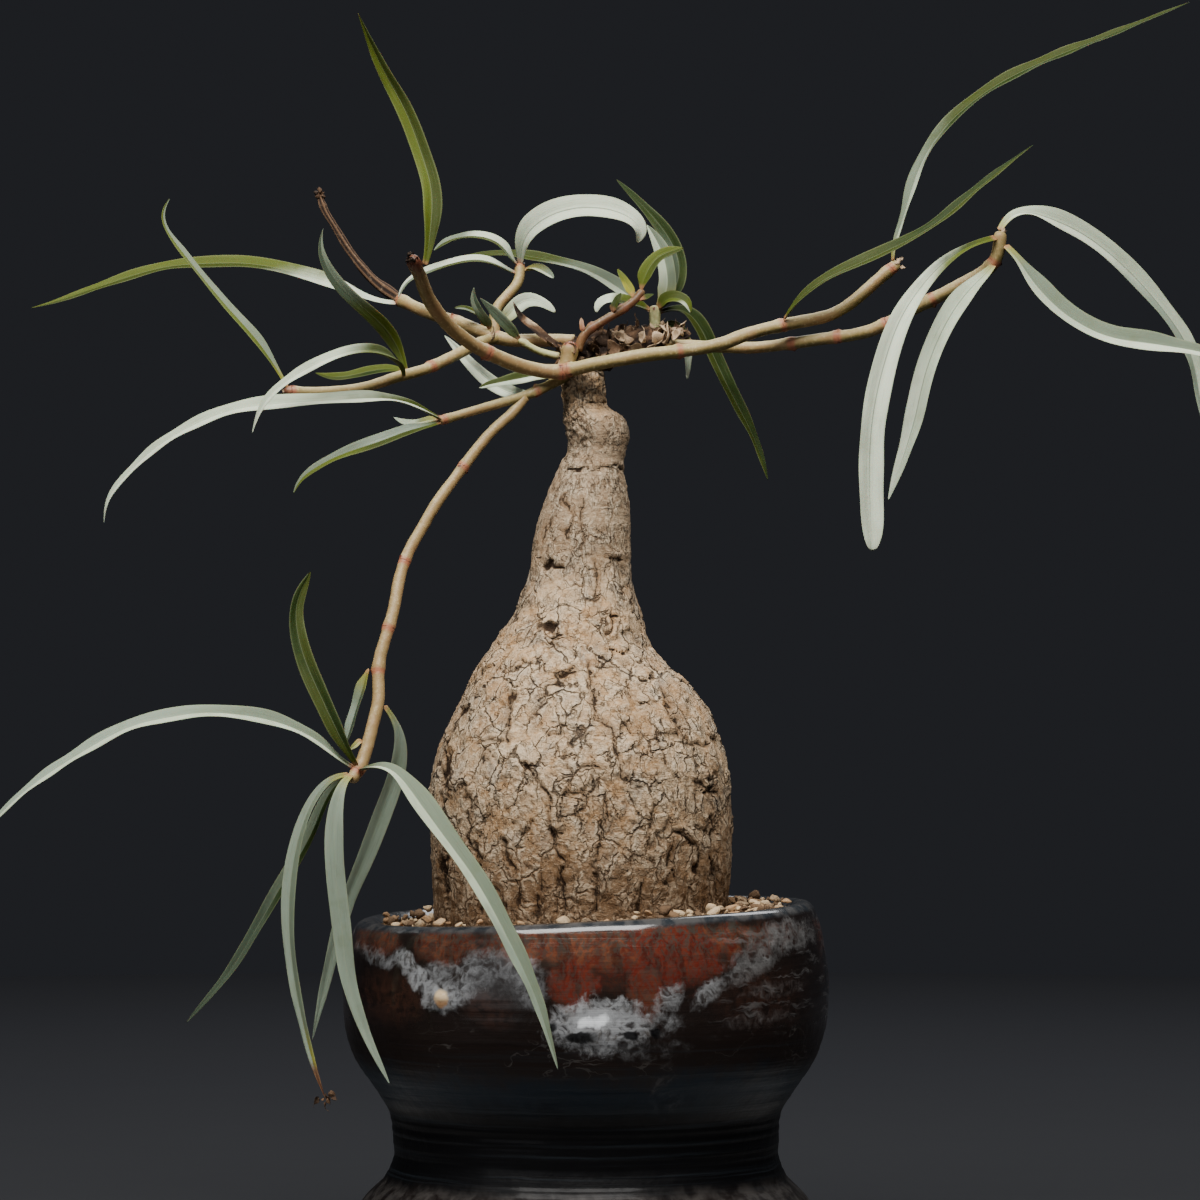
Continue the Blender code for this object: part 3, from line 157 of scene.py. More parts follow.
# Leaves, named after their stems: the facing vectors say where the upper side looks at the base and at the
# tip, and point is how long the blade keeps its width, from about 3 for a drawn-out tip to 16 for a blunt one
Leaf = namedtuple("Leaf", "width facing_base facing_tip point route")
LEAF_THICKNESS = 0.6
LEAF_SEAT = 0.7  # how far a leaf's line starts from its stem's skin
LEAF_FOLD = 0.42
LEAF_SAMPLES = 400
LEAF_BASE_SHARE = 0.3
LEAF_WIDENING = 0.24  # the share of its length over which a leaf widens to its full width
LEAF_TIP_CURVE = 0.8
LEAF_SMOOTHING = 3.2  # how far, in millimetres, the bends of a leaf are evened out
LEAVES = {
    "leaf_a1": Leaf(5.4, (0.6, -1, 0), (-0.7, -1, 0.3), 3, [
        (-40.2, 250, -50), (-39, 258.5, -48), (-38.5, 268.2, -45), (-41.2, 277.8, -42),
        (-45, 288.2, -41), (-50.8, 298.8, -42), (-57, 312.8, -46)]),
    "leaf_b1": Leaf(5, (-1, -0.6, 0.2), (-0.2, -0.75, 1), 3, [
        (76.5, 252.8, -2), (79.2, 260.5, 0), (83, 273, 3), (87, 280.5, 5), (92.8, 287.2, 7),
        (103.2, 295, 9), (117.5, 301.8, 10), (132, 307.5, 10), (151, 315.5, 9)]),
    "leaf_b2": Leaf(4.8, (-0.6, -0.8, 1), (-0.5, -0.8, 0.8), 3, [
        (49.5, 236, -9), (52.5, 240.5, -11.5), (60, 246.2, -13), (74.5, 252.8, -12.5),
        (87, 259.5, -10.5), (98.5, 269.2, -6), (111.8, 279.8, 0)]),
    "leaf_c1": Leaf(7.2, (0.2, -0.7, 1), (0.4, -1, 0.1), 16, [
        (101.2, 256.2, -21), (94.5, 253.8, -24), (87, 248, -28.5), (79.2, 237.5, -34),
        (74.5, 225, -38.5), (71.5, 210.8, -42), (70.8, 196.5, -44), (71.5, 178.2, -46)]),
    "leaf_c2": Leaf(6.2, (-0.3, -1, 0.5), (-0.5, -1, 0), 4, [
        (101.8, 249, -21), (95.5, 243.2, -24.5), (89.8, 234.8, -27.5), (85, 223.2, -30),
        (82.2, 210.8, -31), (79.2, 201.2, -32), (75.5, 190.8, -33)]),
    "leaf_c3": Leaf(6.6, (-0.4, -0.8, 0.6), (0.8, -1, 0.4), 4, [
        (103.8, 259.5, -18.5), (108, 263, -14), (115.5, 261.5, -8), (125.2, 256.8, -2),
        (134.8, 249, 3), (144.2, 238.5, 6), (151, 228, 8), (153.5, 215.5, 8),
        (155.5, 204, 7)]),
    "leaf_c4": Leaf(7.2, (0.8, -1, 0.5), (0, -0.9, 0.8), 5, [
        (106, 253.8, -20), (111.8, 245.2, -22.5), (119.5, 237.5, -24), (130, 231.8, -25),
        (141.5, 230, -25), (153.5, 228, -24), (161.5, 225.5, -22.5)]),
    "leaf_d1": Leaf(5.2, (0, -0.8, 0.8), (0, -0.9, 0.9), 3, [
        (-48.6, 239.8, 29), (-55.8, 241.8, 30), (-62, 244.5, 31.5), (-71.5, 247.5, 32.5),
        (-83.5, 250, 33), (-94.8, 250, 32), (-106.2, 249, 30), (-120.8, 244.5, 27),
        (-132.2, 240.5, 24), (-138.8, 239, 22)]),
    "leaf_e1": Leaf(4, (0.2, -0.7, 1), (0, -0.6, 1), 4, [
        (-18.8, 251.4, 13.6), (-22, 255.4, 12.2), (-28.2, 257, 11), (-34.5, 255.8, 10),
        (-38.2, 253.2, 9)]),
    "leaf_e2": Leaf(4.2, (0.2, -0.7, 1), (0, -0.8, 0.8), 3, [
        (-18.8, 247.8, 13.5), (-22.8, 250.2, 11), (-28.2, 251.2, 9.5), (-34.5, 249.8, 10),
        (-39.8, 248, 12), (-43.8, 246.5, 13.5), (-46.2, 244.2, 14), (-47, 241.4, 14)]),
    "leaf_e3": Leaf(7.6, (-0.6, -1, 0.4), (0.6, -0.9, 0.5), 6, [
        (-16, 251.6, 14.8), (-16, 255.5, 12.8), (-12.8, 259.8, 9), (-6.5, 263.2, 5.5),
        (1, 264.2, 3), (8.5, 263, 2), (13.5, 260, 2), (14.6, 257, 2.4), (12.8, 255.2, 3.2)]),
    "leaf_e4": Leaf(4, (0.2, -0.8, 1), (0.2, -0.8, 0.8), 4, [
        (-14.6, 248.6, 14), (-12, 248.8, 12), (-8, 246.4, 9)]),
    "leaf_f2": Leaf(2.8, (-0.4, -1, 0), (0.3, -1, 0), 3, [
        (-24.2, 234.8, 7.4), (-26.5, 237.8, 5.5), (-28.2, 241.2, 4.5), (-28, 244.2, 4)]),
    "leaf_f3": Leaf(2.6, (0, -0.8, 0.8), (0, -0.8, 0.8), 4, [
        (-25.4, 236.2, 10.6), (-28.8, 238.3, 8.2), (-30.8, 239, 7.6), (-33, 239, 7.4)]),
    "leaf_f4": Leaf(4.4, (0.2, -1, 0.3), (0.2, -1, 0.3), 4, [
        (-20.2, 236.2, 7.4), (-18.2, 238.6, 7.8), (-15, 240.9, 8), (-10.8, 240.2, 7.6),
        (-7.5, 237.8, 7)]),
    "leaf_g1": Leaf(4.6, (0.3, -0.7, 1), (-0.6, -0.9, 0.4), 3, [
        (-45.2, 222, -17), (-46.8, 225.5, -21.5), (-50.8, 227.8, -27), (-56, 228.5, -32),
        (-62.2, 227.2, -36), (-69.2, 224, -38.5), (-75, 220.5, -39.8), (-78.8, 217.4, -40.2),
        (-81.8, 213.2, -40), (-83.5, 207.5, -39)]),
    "leaf_g2": Leaf(4.4, (-0.6, -1, 0), (0.6, -1, -0.2), 3, [
        (-44.6, 222.6, -12.4), (-45.5, 226.2, -11.5), (-47.8, 230.8, -12), (-49.8, 234, -13.5),
        (-55.8, 239.2, -17), (-61, 243.8, -20), (-65, 249.2, -22), (-67, 254.4, -23),
        (-65.8, 258.8, -22)]),
    "leaf_g3": Leaf(3.4, (0, -0.9, 0.7), (0, -0.9, 0.6), 4, [
        (-46.4, 223.6, -13.2), (-52.5, 223.4, -11.5), (-59.8, 221.8, -12), (-64.5, 221.7, -13),
        (-67.8, 222.8, -14)]),
    "leaf_g4": Leaf(3.8, (0.5, -0.8, 1), (0.8, -0.8, 0.4), 3, [
        (-75.4, 220.4, -27), (-82.2, 230.8, -25.5), (-89, 238.2, -22), (-97.8, 248.8, -16),
        (-103, 255.5, -12), (-106, 260, -9), (-106.2, 264, -7), (-104, 266.5, -6)]),
    "leaf_h1": Leaf(5.2, (0, -0.7, 1), (-0.7, -0.9, 0.4), 3, [
        (-37.6, 211.8, -22.6), (-43, 214.8, -26), (-50.2, 216.4, -29), (-64.5, 215.8, -31.8),
        (-76.5, 215, -32.4), (-86, 214, -31.8), (-94.8, 211.2, -31), (-106.2, 205, -29),
        (-115, 197, -27), (-120, 190.8, -26), (-120.5, 185, -25)]),
    "leaf_h2": Leaf(4.2, (0, -0.8, 0.8), (-0.4, -1, 0.4), 3, [
        (-37.4, 209.6, -22.4), (-43, 208.8, -25.5), (-52.5, 205.2, -28.5), (-62.2, 202, -30.5),
        (-69.2, 198, -31.5), (-72.8, 195.2, -32), (-73.2, 192.5, -32)]),
    "leaf_h3": Leaf(2.6, (0, -0.8, 0.8), (0, -0.8, 0.8), 4, [
        (-38.2, 211, -20.4), (-43, 210, -19.4), (-46, 210.4, -19.4), (-48.2, 211.8, -19.4)]),
    "leaf_h4": Leaf(4, (0, -1, 0.6), (0, -1, 0.6), 4, [
        (-9.8, 222.4, -3.4), (-16.8, 221.2, -5), (-24, 219.8, -5.8), (-26.8, 219, -6.2)]),
    "leaf_h5": Leaf(4, (-0.4, -1, 0.3), (-0.6, -1, 0.2), 4, [
        (-14.8, 217.8, -6.4), (-17.6, 217.5, -2.6), (-20, 218.2, 0), (-24, 220.5, 2),
        (-28.8, 225, 4.5), (-32.5, 229.2, 7), (-35.4, 232.2, 8)]),
    "leaf_i1": Leaf(5.6, (0.2, -0.8, 1), (-0.5, -0.8, 0.8), 3, [
        (-61, 125.2, -50), (-67, 130.8, -51.4), (-78.5, 135.8, -54), (-93.8, 137.8, -56),
        (-105, 136.4, -57.5), (-116.5, 133.2, -58.5), (-136.5, 121, -60), (-146.5, 112.2, -60),
        (-152.5, 105.5, -59.5)]),
    "leaf_i2": Leaf(4.8, (-0.6, -1, 0), (0.6, -1, -0.2), 7, [
        (-57.8, 125.6, -51.4), (-60.4, 129.8, -52), (-65.2, 139.8, -51), (-71, 153, -48.5),
        (-72.8, 164.6, -46), (-68.8, 173.2, -44)]),
    "leaf_i3": Leaf(4.6, (-1, -0.8, 0.3), (-1, -0.8, 0.3), 4, [
        (-53.6, 150.4, -41), (-56, 143, -41.6), (-58.2, 136, -42), (-60.2, 129, -42)]),
    "leaf_i4": Leaf(5.6, (0.8, -1, 0.3), (0.4, -1, 0), 3, [
        (-50.6, 139.6, -43), (-47.8, 135.8, -41), (-46.6, 130, -39), (-48, 121.8, -37.5),
        (-50.8, 114, -37), (-55.5, 101.5, -36.5), (-60.5, 89.2, -36), (-65.2, 71, -35.5),
        (-68.5, 55.8, -35)]),
    "leaf_i5": Leaf(7, (0.4, -0.8, 1), (0.6, -1, 0.2), 3, [
        (-56.2, 123.6, -51.6), (-52, 124.8, -54.5), (-48, 123.4, -57.5), (-44.8, 119.6, -60),
        (-36.5, 108.2, -64.5), (-27, 95, -67.5), (-19.2, 80.5, -69.5), (-12.5, 66.2, -70.5),
        (-7, 48.5, -71)]),
    "leaf_i6": Leaf(5.4, (-0.2, -1, 0.4), (0.3, -1, 0), 3, [
        (-59.6, 122.4, -53.2), (-61.8, 117.6, -54.8), (-62.8, 110, -55), (-62.8, 99.8, -54.5),
        (-61.2, 85.2, -53), (-59.5, 71, -51.5), (-54.8, 56.8, -50.5), (-49, 44.8, -50)]),
    "leaf_i7": Leaf(4.4, (-0.8, -1, 0.3), (-0.4, -1, 0), 3, [
        (-61, 123, -50), (-65.6, 119.8, -49.6), (-70, 112.2, -49), (-73.2, 99.8, -48),
        (-74.2, 85.2, -47), (-72.8, 71, -46.5), (-70, 57.5, -46), (-67.5, 48, -46),
        (-65.2, 41.5, -46.5)]),
    "leaf_i8": Leaf(4.4, (-0.9, -1, 0.2), (-0.6, -1, 0), 3, [
        (-60, 122, -47.4), (-64.4, 117.6, -45.4), (-69, 106.5, -43.5), (-75.8, 95, -41),
        (-81.5, 85.2, -39), (-89, 73, -36.5), (-100, 60.2, -34)]),
    "leaf_i9": Leaf(1.8, (-0.3, -1, 0.4), (-0.3, -1, 0.4), 4, [
        (-56.4, 130.6, -47.6), (-57.6, 129.6, -48.2), (-59, 128.6, -48.4)]),
}
DRIED_LEAF = Leaf(2.4, (0.6, -1, 0.2), (-0.8, -1, 0.6), 5, [
    (-6.9, 229.4, -0.4), (-10, 231.4, 0.8), (-13.2, 234.4, 2), (-16.2, 236.6, 3.2), (-18.2, 240.6, 4.6)])

# Small leafy shoots, whose leaves are fused to them
SHOOTS = {
    "shoot_f": (
        Stem(1.2, 1, (0.9,), [(-6.9, 226.9, -1), (-11.8, 228.2, -2), (-16.2, 230.6, -3)]),
        [
            Leaf(3.6, (-0.8, -1, -0.2), (-0.6, -1, -0.2), 3, [
                (-15.8, 230.4, -3), (-19, 234.4, -2.4), (-22.8, 238.2, -1.2), (-26.5, 241.5, 0)]),
        ],
    ),
    "shoot_j": (
        Stem(1.3, 1.2, (0.3, 0.7), [
            (-2, 228.4, -6.4), (-0.5, 232.5, -6.8), (5, 236.2, -5.4), (11.2, 240, -3.4),
            (13.8, 242.8, -2.4)]),
        [
            Leaf(4.4, (-0.6, -1, 0.2), (-0.2, -1, 0.6), 4, [
                (13.6, 242.4, -2.4), (15.2, 247.8, -2), (18.5, 252, -1.2), (24.5, 254, 0)]),
            Leaf(2.8, (0.4, -1, 0), (0.4, -1, 0), 3, [
                (12, 241.2, -2.8), (10.2, 244.8, -1.6), (7.8, 248.8, -0.4)]),
            Leaf(2.2, (-0.4, -1, 0.2), (-0.4, -1, 0.2), 4, [
                (6.2, 236.8, -5.2), (7.2, 239.6, -6), (8.8, 242.8, -6)]),
            Leaf(2.4, (0.2, -0.6, 1), (0.2, -0.6, 1), 4, [
                (12, 240.6, -3.2), (14.4, 241.2, -3.6), (17, 242.4, -3.8)]),
            Leaf(1.4, (0, -1, 0), (0, -1, 0), 4, [
                (-0.6, 232.2, -7), (-1, 234.4, -7.6), (-1.2, 236.6, -7.6)]),
        ],
    ),
    "shoot_k": (
        Stem(1.7, 1.5, (0.9,), [(17, 232.6, 5), (17.2, 235.4, 4.8), (17.2, 238.4, 4.4)]),
        [
            Leaf(4.8, (0, -0.7, 1), (-0.7, -0.8, 0.6), 5, [
                (16.6, 238.2, 4.2), (11, 240.4, 2.8), (6, 241, 2), (3.2, 239.8, 1.6),
                (2.6, 237.6, 1.6)]),
            Leaf(4.6, (-0.3, -0.8, 1), (0.5, -0.8, 0.8), 4, [
                (17.6, 238, 4), (20.4, 241.2, 2.8), (24.4, 240.8, 1.6), (26.2, 237.6, 1.4)]),
            Leaf(3.2, (0.2, -0.8, 1), (0.6, -1, 0), 4, [
                (17.6, 233.8, 6), (22, 234.8, 7), (24.6, 231.2, 7), (25.4, 226, 7),
                (25.2, 221, 7)]),
            Leaf(4.6, (-0.3, -1, 0), (0.6, -1, 0), 3, [
                (17.4, 238, 5.2), (22.4, 243.4, 8), (23.5, 250.5, 10), (19.8, 258, 11.5),
                (13.5, 265.2, 13), (7.5, 271.2, 14)]),
            Leaf(5, (-0.2, -1, 0), (0.3, -1, 0), 4, [
                (17.4, 238.2, 4.8), (20.4, 243.6, 5.4), (19.8, 250.5, 6), (18, 255.2, 6.4),
                (15.2, 259.8, 6.6)]),
            Leaf(5.4, (0, -0.8, 1), (0.8, -1, 0.2), 3, [
                (17.4, 237.4, 5.4), (23.6, 239.4, 7.4), (28.5, 234.5, 8.6), (31, 228.6, 9.4),
                (36, 218, 10), (41.8, 206.8, 9.6), (45.5, 195.8, 8)]),
            Leaf(5, (0, -0.8, 1), (0, -0.8, 0.9), 3, [
                (16.8, 237.6, 5.2), (12.4, 240.6, 8.6), (8.8, 243.5, 12), (0.8, 248.2, 17),
                (-7.5, 250.4, 21), (-14.2, 251.8, 24), (-22, 252.6, 26), (-32.5, 251.6, 27)]),
        ],
    ),
}

# Crown: lumps of old wood along the neck's top
CROWN_FLOOR = 223.5
CROWN_LUMPS = [  # (across, up, back, radius), the first one holding the joint of stems a and b
    (-4.2, 225.6, -5.4, 2),
    (-1.2, 226.2, 0.2, 5.4), (3.8, 228.6, 0.6, 5.2), (9.5, 229.6, 1.2, 4.6),
    (14.5, 230.2, 2.2, 4.2), (19, 230.6, 3.2, 3.4), (23, 231.4, 3.6, 2.4),
]
JOINT_STUB = Stem(2.5, 2.3, (0.95,), [(-5.4, 222.8, -7), (-4.6, 225.4, -6.8), (-4, 228.6, -6.6)])
BRACTS = [  # large papery bracts: (across, up, back, length, breadth, lean, turn, tone), angles in degrees
    (15, 231.2, -3, 5.2, 1.2, 62, 20, 0.85), (18.4, 230.6, -2.2, 5.6, 1.3, 40, -30, 0.95),
    (20.6, 231.4, -1.4, 6.4, 1.1, 66, 10, 1), (13, 229.2, -3.6, 4.8, 1.4, 150, 40, 0.8),
    (16.6, 228.8, -3.4, 5, 1.5, 20, -10, 0.9), (11.2, 231.4, -3.2, 4.6, 1.2, 115, -40, 0.7),
    (9, 231.8, -3, 4.4, 1.2, 80, 60, 0.75), (20.2, 234, 0.4, 5.4, 0.9, 118, 0, 1),
    (22.8, 231.6, -0.6, 5, 1, 35, 45, 0.9), (7, 228.4, -4.2, 5.2, 1.5, 30, 80, 0.55),
    (4.6, 230.4, -4.6, 5.4, 1.3, 60, -70, 0.15), (2.4, 229.2, -5, 4.6, 1.3, 140, 30, 0.2),
    (6.2, 232.6, -2.6, 4.8, 1, 84, -20, 0.1), (9.6, 233.4, -1.6, 4.6, 0.9, 60, 50, 0.2),
    (3.4, 226.8, -5.2, 4.2, 1.4, -20, 20, 0.6), (-4.6, 228.8, -6.4, 3, 1.6, 175, 80, 0.5),
    (-3.2, 228.9, -8, 3, 1.5, 20, 80, 0.55), (-22.8, 231.8, 3.8, 4.6, 1, 70, 30, 0.95),
    (12.4, 226.4, -3, 4, 1.3, -40, 10, 0.8), (18.6, 227.6, -1.6, 3.8, 1.2, -25, 0, 0.85),
    (-8.4, 230, -1, 4, 1, 130, 20, 0.3), (24, 233, 1.6, 4.2, 1, 75, -60, 0.75),
]
TIP_CRUMBS = {  # the crumbs and bud scales at a tip: (how many, how far apart, size, tone)
    "stem_a": (12, 1.3, 1.5, 0.12), "stem_b": (9, 1.2, 1.5, 1), "stem_c": (6, 0.9, 1.4, 0.85),
    "stem_g": (4, 0.9, 1.2, 0.7), "stem_h": (5, 0.8, 1.1, 0.6), "stem_e": (6, 1, 1.3, 0.75),
    "stem_i": (6, 1.2, 1.3, 0.55), "withered_tip": (16, 1.5, 1.7, 0.2), "leaf_i7": (8, 2, 2.6, 0.3),
}


def seen(route):
    """The real places of points that were read as they look from in front."""
    places = []
    for across, up, back in route:
        spread = (VIEW_DISTANCE + back) / VIEW_DISTANCE
        places.append((EYE_ACROSS + (across - EYE_ACROSS) * spread, back, EYE_UP + (up - EYE_UP) * spread))
    return np.array(places)


def as_read(x, y, z):
    """Where places appear to lie, across and up, when they are looked at from in front."""
    spread = VIEW_DISTANCE / (VIEW_DISTANCE + y)
    return EYE_ACROSS + (x - EYE_ACROSS) * spread, EYE_UP + (z - EYE_UP) * spread


def on_wall(across, up):
    """The real place, across and up, of a point of the pot's front that was read from in front."""
    radius = min(50 + 0.22 * (up - 40), 60.5)
    x, _, z = seen([(across, up, -math.sqrt(max(radius * radius - across * across, 0)))])[0]
    return float(x), float(z)


def smooth_line(points, step=None, count=None):
    """Evenly spaced points on a smooth curve that passes through the given ones."""
    ends = np.vstack([2 * points[0] - points[1], points, 2 * points[-1] - points[-2]])
    t = np.linspace(0, 1, 16, endpoint=False)[:, None]
    fine = []
    for a, b, c, d in zip(ends, ends[1:], ends[2:], ends[3:]):
        bend = (2 * a - 5 * b + 4 * c - d) * t**2 + (3 * b - a - 3 * c + d) * t**3
        fine.append(0.5 * (2 * b + (c - a) * t + bend))
    fine = np.vstack(fine + [points[-1:]])
    reach = np.concatenate([[0], np.cumsum(np.linalg.norm(np.diff(fine, axis=0), axis=1))])
    if count is None:
        count = max(3, round(reach[-1] / step) + 1)
    return read_at(np.linspace(0, reach[-1], count), reach, fine)


def read_at(places, known, rows):
    """The rows, which are given at known places, as they are at other places."""
    return np.stack([np.interp(places, known, column) for column in rows.T], axis=1)


def evened(line, reach):
    """The same line with its bends evened out over reach millimetres, its two ends kept."""
    step = lengths_along(line)[-1] / (len(line) - 1)
    wing = int(3 * reach / step) + 1
    weights = np.exp(-0.5 * (np.arange(-wing, wing + 1) * step / reach) ** 2)
    before = 2 * line[0] - line[wing:0:-1]
    after = 2 * line[-1] - line[-2:-wing - 2:-1]
    longer = np.vstack([before, line, after])
    return np.stack([np.convolve(longer[:, k], weights / weights.sum(), "valid") for k in range(3)], axis=1)


def lengths_along(line):
    return np.concatenate([[0], np.cumsum(np.linalg.norm(np.diff(line, axis=0), axis=1))])


def unit(vectors):
    return vectors / np.maximum(np.linalg.norm(vectors, axis=-1, keepdims=True), 1e-9)


def smooth_step(low, high, values):
    share = np.clip((values - low) / (high - low), 0, 1)
    return share * share * (3 - 2 * share)


def ripple(points, size, seed, waves=10):
    """Smooth seeded noise between about -1 and 1, whose bumps are about size across."""
    draw = np.random.default_rng(seed)
    total = np.zeros(points.shape[:-1])
    for _ in range(waves):
        direction = unit(draw.normal(size=points.shape[-1]))
        length = size * draw.uniform(1.3, 2.9)
        total += np.sin(points @ direction * (math.tau / length) + draw.uniform(0, math.tau))
    return total * (1.4 / math.sqrt(2 * waves))


def round_turns(count):
    """The angles of a ring of places, the last of which repeats the first."""
    turns = np.linspace(0, math.tau, count + 1)
    turns[-1] = 0
    return turns


def skin(places, layers):
    """A closed bmesh from places[row, column], whose last column repeats its first and whose end rows are
    points. Layers are values for the rows and columns that become float attributes."""
    rows, columns = places.shape[0] - 1, places.shape[1] - 1
    bm = bmesh.new()
    bmesh.ops.create_grid(bm, x_segments=rows, y_segments=columns, size=0.5)
    at = np.array([v.co[:2] for v in bm.verts]) + 0.5
    at = np.rint(at * (rows, columns)).astype(int)
    found = [(bm.verts.layers.float.new(name), np.broadcast_to(values, places.shape[:2]))
             for name, values in layers.items()]
    for v, (row, column) in zip(bm.verts, at.tolist()):
        v.co = places[row, column]
        for layer, values in found:
            v[layer] = values[row, column]
    bmesh.ops.remove_doubles(bm, verts=bm.verts, dist=MERGE)
    bmesh.ops.recalc_face_normals(bm, faces=bm.faces)
    return bm


def pinch_ends(places):
    """Draws the first and the last row of places together to a point each."""
    for row in (0, -1):
        places[row] = places[row].mean(axis=0)


def plain_mesh(bm, name):
    """A mesh from a bmesh, which is freed."""
    mesh = bpy.data.meshes.new(name)
    bm.to_mesh(mesh)
    bm.free()
    return mesh


def mesh_from(bm, name):
    """A smooth-shaded mesh in metres from a bmesh in millimetres, which is freed."""
    bmesh.ops.scale(bm, vec=(MM, MM, MM), verts=bm.verts)
    mesh = plain_mesh(bm, name)
    mesh.shade_smooth()
    return mesh


def add_piece(name, mesh, material, slot, *nodes):
    """A finished piece that rides on the plant and stands for the given nodes."""
    mesh.materials.clear()
    mesh.materials.append(material)
    piece = bpy.data.objects.new(name, mesh)
    bpy.context.scene.collection.objects.link(piece)
    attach(piece, BODY)
    if nodes:
        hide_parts(*nodes)
    return piece


def joined(parts):
    """One bmesh that holds them all, which are freed."""
    whole = parts[0]
    for part in parts[1:]:
        mesh = plain_mesh(part, "part")
        whole.from_mesh(mesh)
        bpy.data.meshes.remove(mesh)
    return whole


def rim_lift(across, up):
    """How far the leaning rim lifts a point of the pot or the soil."""
    share = np.clip((up - RIM_LEAN_FROM) / (POT_RIM_UP - RIM_LEAN_FROM), 0, 1)
    return RIM_LEAN * share * share * across / RIM_RADIUS


def spun(profile, steps):
    """A closed bmesh turned about the upright axis from a profile that starts and ends on it."""
    bm = bmesh.new()
    verts = [bm.verts.new((radius, 0, up)) for radius, up in profile]
    edges = [bm.edges.new(pair) for pair in zip(verts, verts[1:])]
    bmesh.ops.spin(bm, geom=verts + edges, cent=(0, 0, 0), axis=(0, 0, 1), angle=math.tau, steps=steps,
                   use_merge=True)
    bmesh.ops.remove_doubles(bm, verts=bm.verts, dist=MERGE)
    bmesh.ops.recalc_face_normals(bm, faces=bm.faces)
    return bm


def with_modifier(mesh, kind, **settings):
    """A copy of a mesh with one modifier applied."""
    holder = bpy.data.objects.new("holder", mesh)
    bpy.context.scene.collection.objects.link(holder)
    modifier = holder.modifiers.new(kind.lower(), kind)
    for name, value in settings.items():
        setattr(modifier, name, value)
    graph = bpy.context.evaluated_depsgraph_get()
    made = bpy.data.meshes.new_from_object(holder.evaluated_get(graph))
    bpy.data.objects.remove(holder)
    return made


def pot_profile(ring_depth):
    """The pot's outline with the throwing rings on its waist: (radius, up) from the floor over the rim."""
    inside = smooth_line(np.array(POT_OUTLINE[1:9]), step=2.0)
    rim_and_side = smooth_line(np.array(POT_OUTLINE[8:21]), step=0.7)
    waist = smooth_line(np.array(POT_OUTLINE[20:27]), step=0.4)
    foot = smooth_line(np.array(POT_OUTLINE[26:32]), step=0.7)
    profile = np.vstack([POT_OUTLINE[:1], inside[:-1], rim_and_side[:-1], waist[:-1], foot, POT_OUTLINE[-1:]])
    radius, up = profile.T
    outside = np.arange(len(profile)) > len(inside) + 12
    rings = (0.5 * np.sin(up * math.tau / 3.7 + 1.6 * np.sin(up * 0.55))
             + 0.35 * np.sin(up * math.tau / 1.9 + np.sin(up * 0.8)) + 0.2 * np.sin(up * math.tau / 1.05))
    reach = smooth_step(20.5, 24, up) * (1 - 0.6 * smooth_step(50, 62, up)) * (1 - smooth_step(66, 76, up))
    radius += np.where(outside & (radius > 1), ring_depth * rings * reach, 0)
    return profile


def pot_mesh(settings):
    steps = 256
    bm = spun(pot_profile(settings.ring_depth / MM), steps)
    places = np.array([v.co for v in bm.verts])
    x, y, z = places.T
    radius = np.hypot(x, y)
    wall = smooth_step(40, 47, radius) * smooth_step(3, 12, z)
    wobble = 0.35 * ripple(places * (1, 1, 0.4), 40, 3) + 0.12 * ripple(places * (1, 1, 1.5), 12, 5)
    bead = 1.3 * mark(x, y, z, BEAD_ACROSS, BEAD_UP, 1.5, 2.0) * (1 + 0.3 * ripple(places, 1.6, 8))
    sag = 0.5 * mark(x, y, z, 5, 61.7, 11, 3.2) - 0.7 * mark(x, y, z, 0.5, 58.6, 4, 2.0)
    grow = 1 + wall * (wobble + bead + sag) / np.maximum(radius, 1)
    places[:, 0] *= grow
    places[:, 1] *= grow
    places[:, 2] += rim_lift(places[:, 0], z) + 0.25 * ripple(places[:, :2], 45, 9) * smooth_step(70, 88, z)
    for v, place in zip(bm.verts, places):
        v.co = place
    drills = []
    for k in range(DRAIN_HOLES):
        turn = math.tau * (k + 0.25) / DRAIN_HOLES
        place = (DRAIN_AT_RADIUS * math.cos(turn), DRAIN_AT_RADIUS * math.sin(turn), DRILL_MIDDLE)
        drill = bmesh.new()
        bmesh.ops.create_cone(drill, cap_ends=True, segments=40, radius1=DRAIN_RADIUS, radius2=DRAIN_RADIUS,
                              depth=DRILL_LENGTH, matrix=Matrix.Translation(place))
        drills.append(drill)
    cutter = bpy.data.objects.new("drills", mesh_from(joined(drills), "drills"))
    bpy.context.scene.collection.objects.link(cutter)
    drilled = with_modifier(mesh_from(bm, "pot"), "BOOLEAN", operation="DIFFERENCE", solver="MANIFOLD",
                            object=cutter)
    bpy.data.objects.remove(cutter)
    drilled.shade_smooth()
    drilled.set_sharp_from_angle(angle=math.radians(50))
    return drilled


def soil_top(radius):
    share = (radius - HOLE_RADIUS_AT_TOP) / (GRAIN_OUTER - HOLE_RADIUS_AT_TOP)
    return SOIL_TOP_AT_TRUNK + (SOIL_TOP_AT_WALL - SOIL_TOP_AT_TRUNK) * np.clip(share, 0, 1)


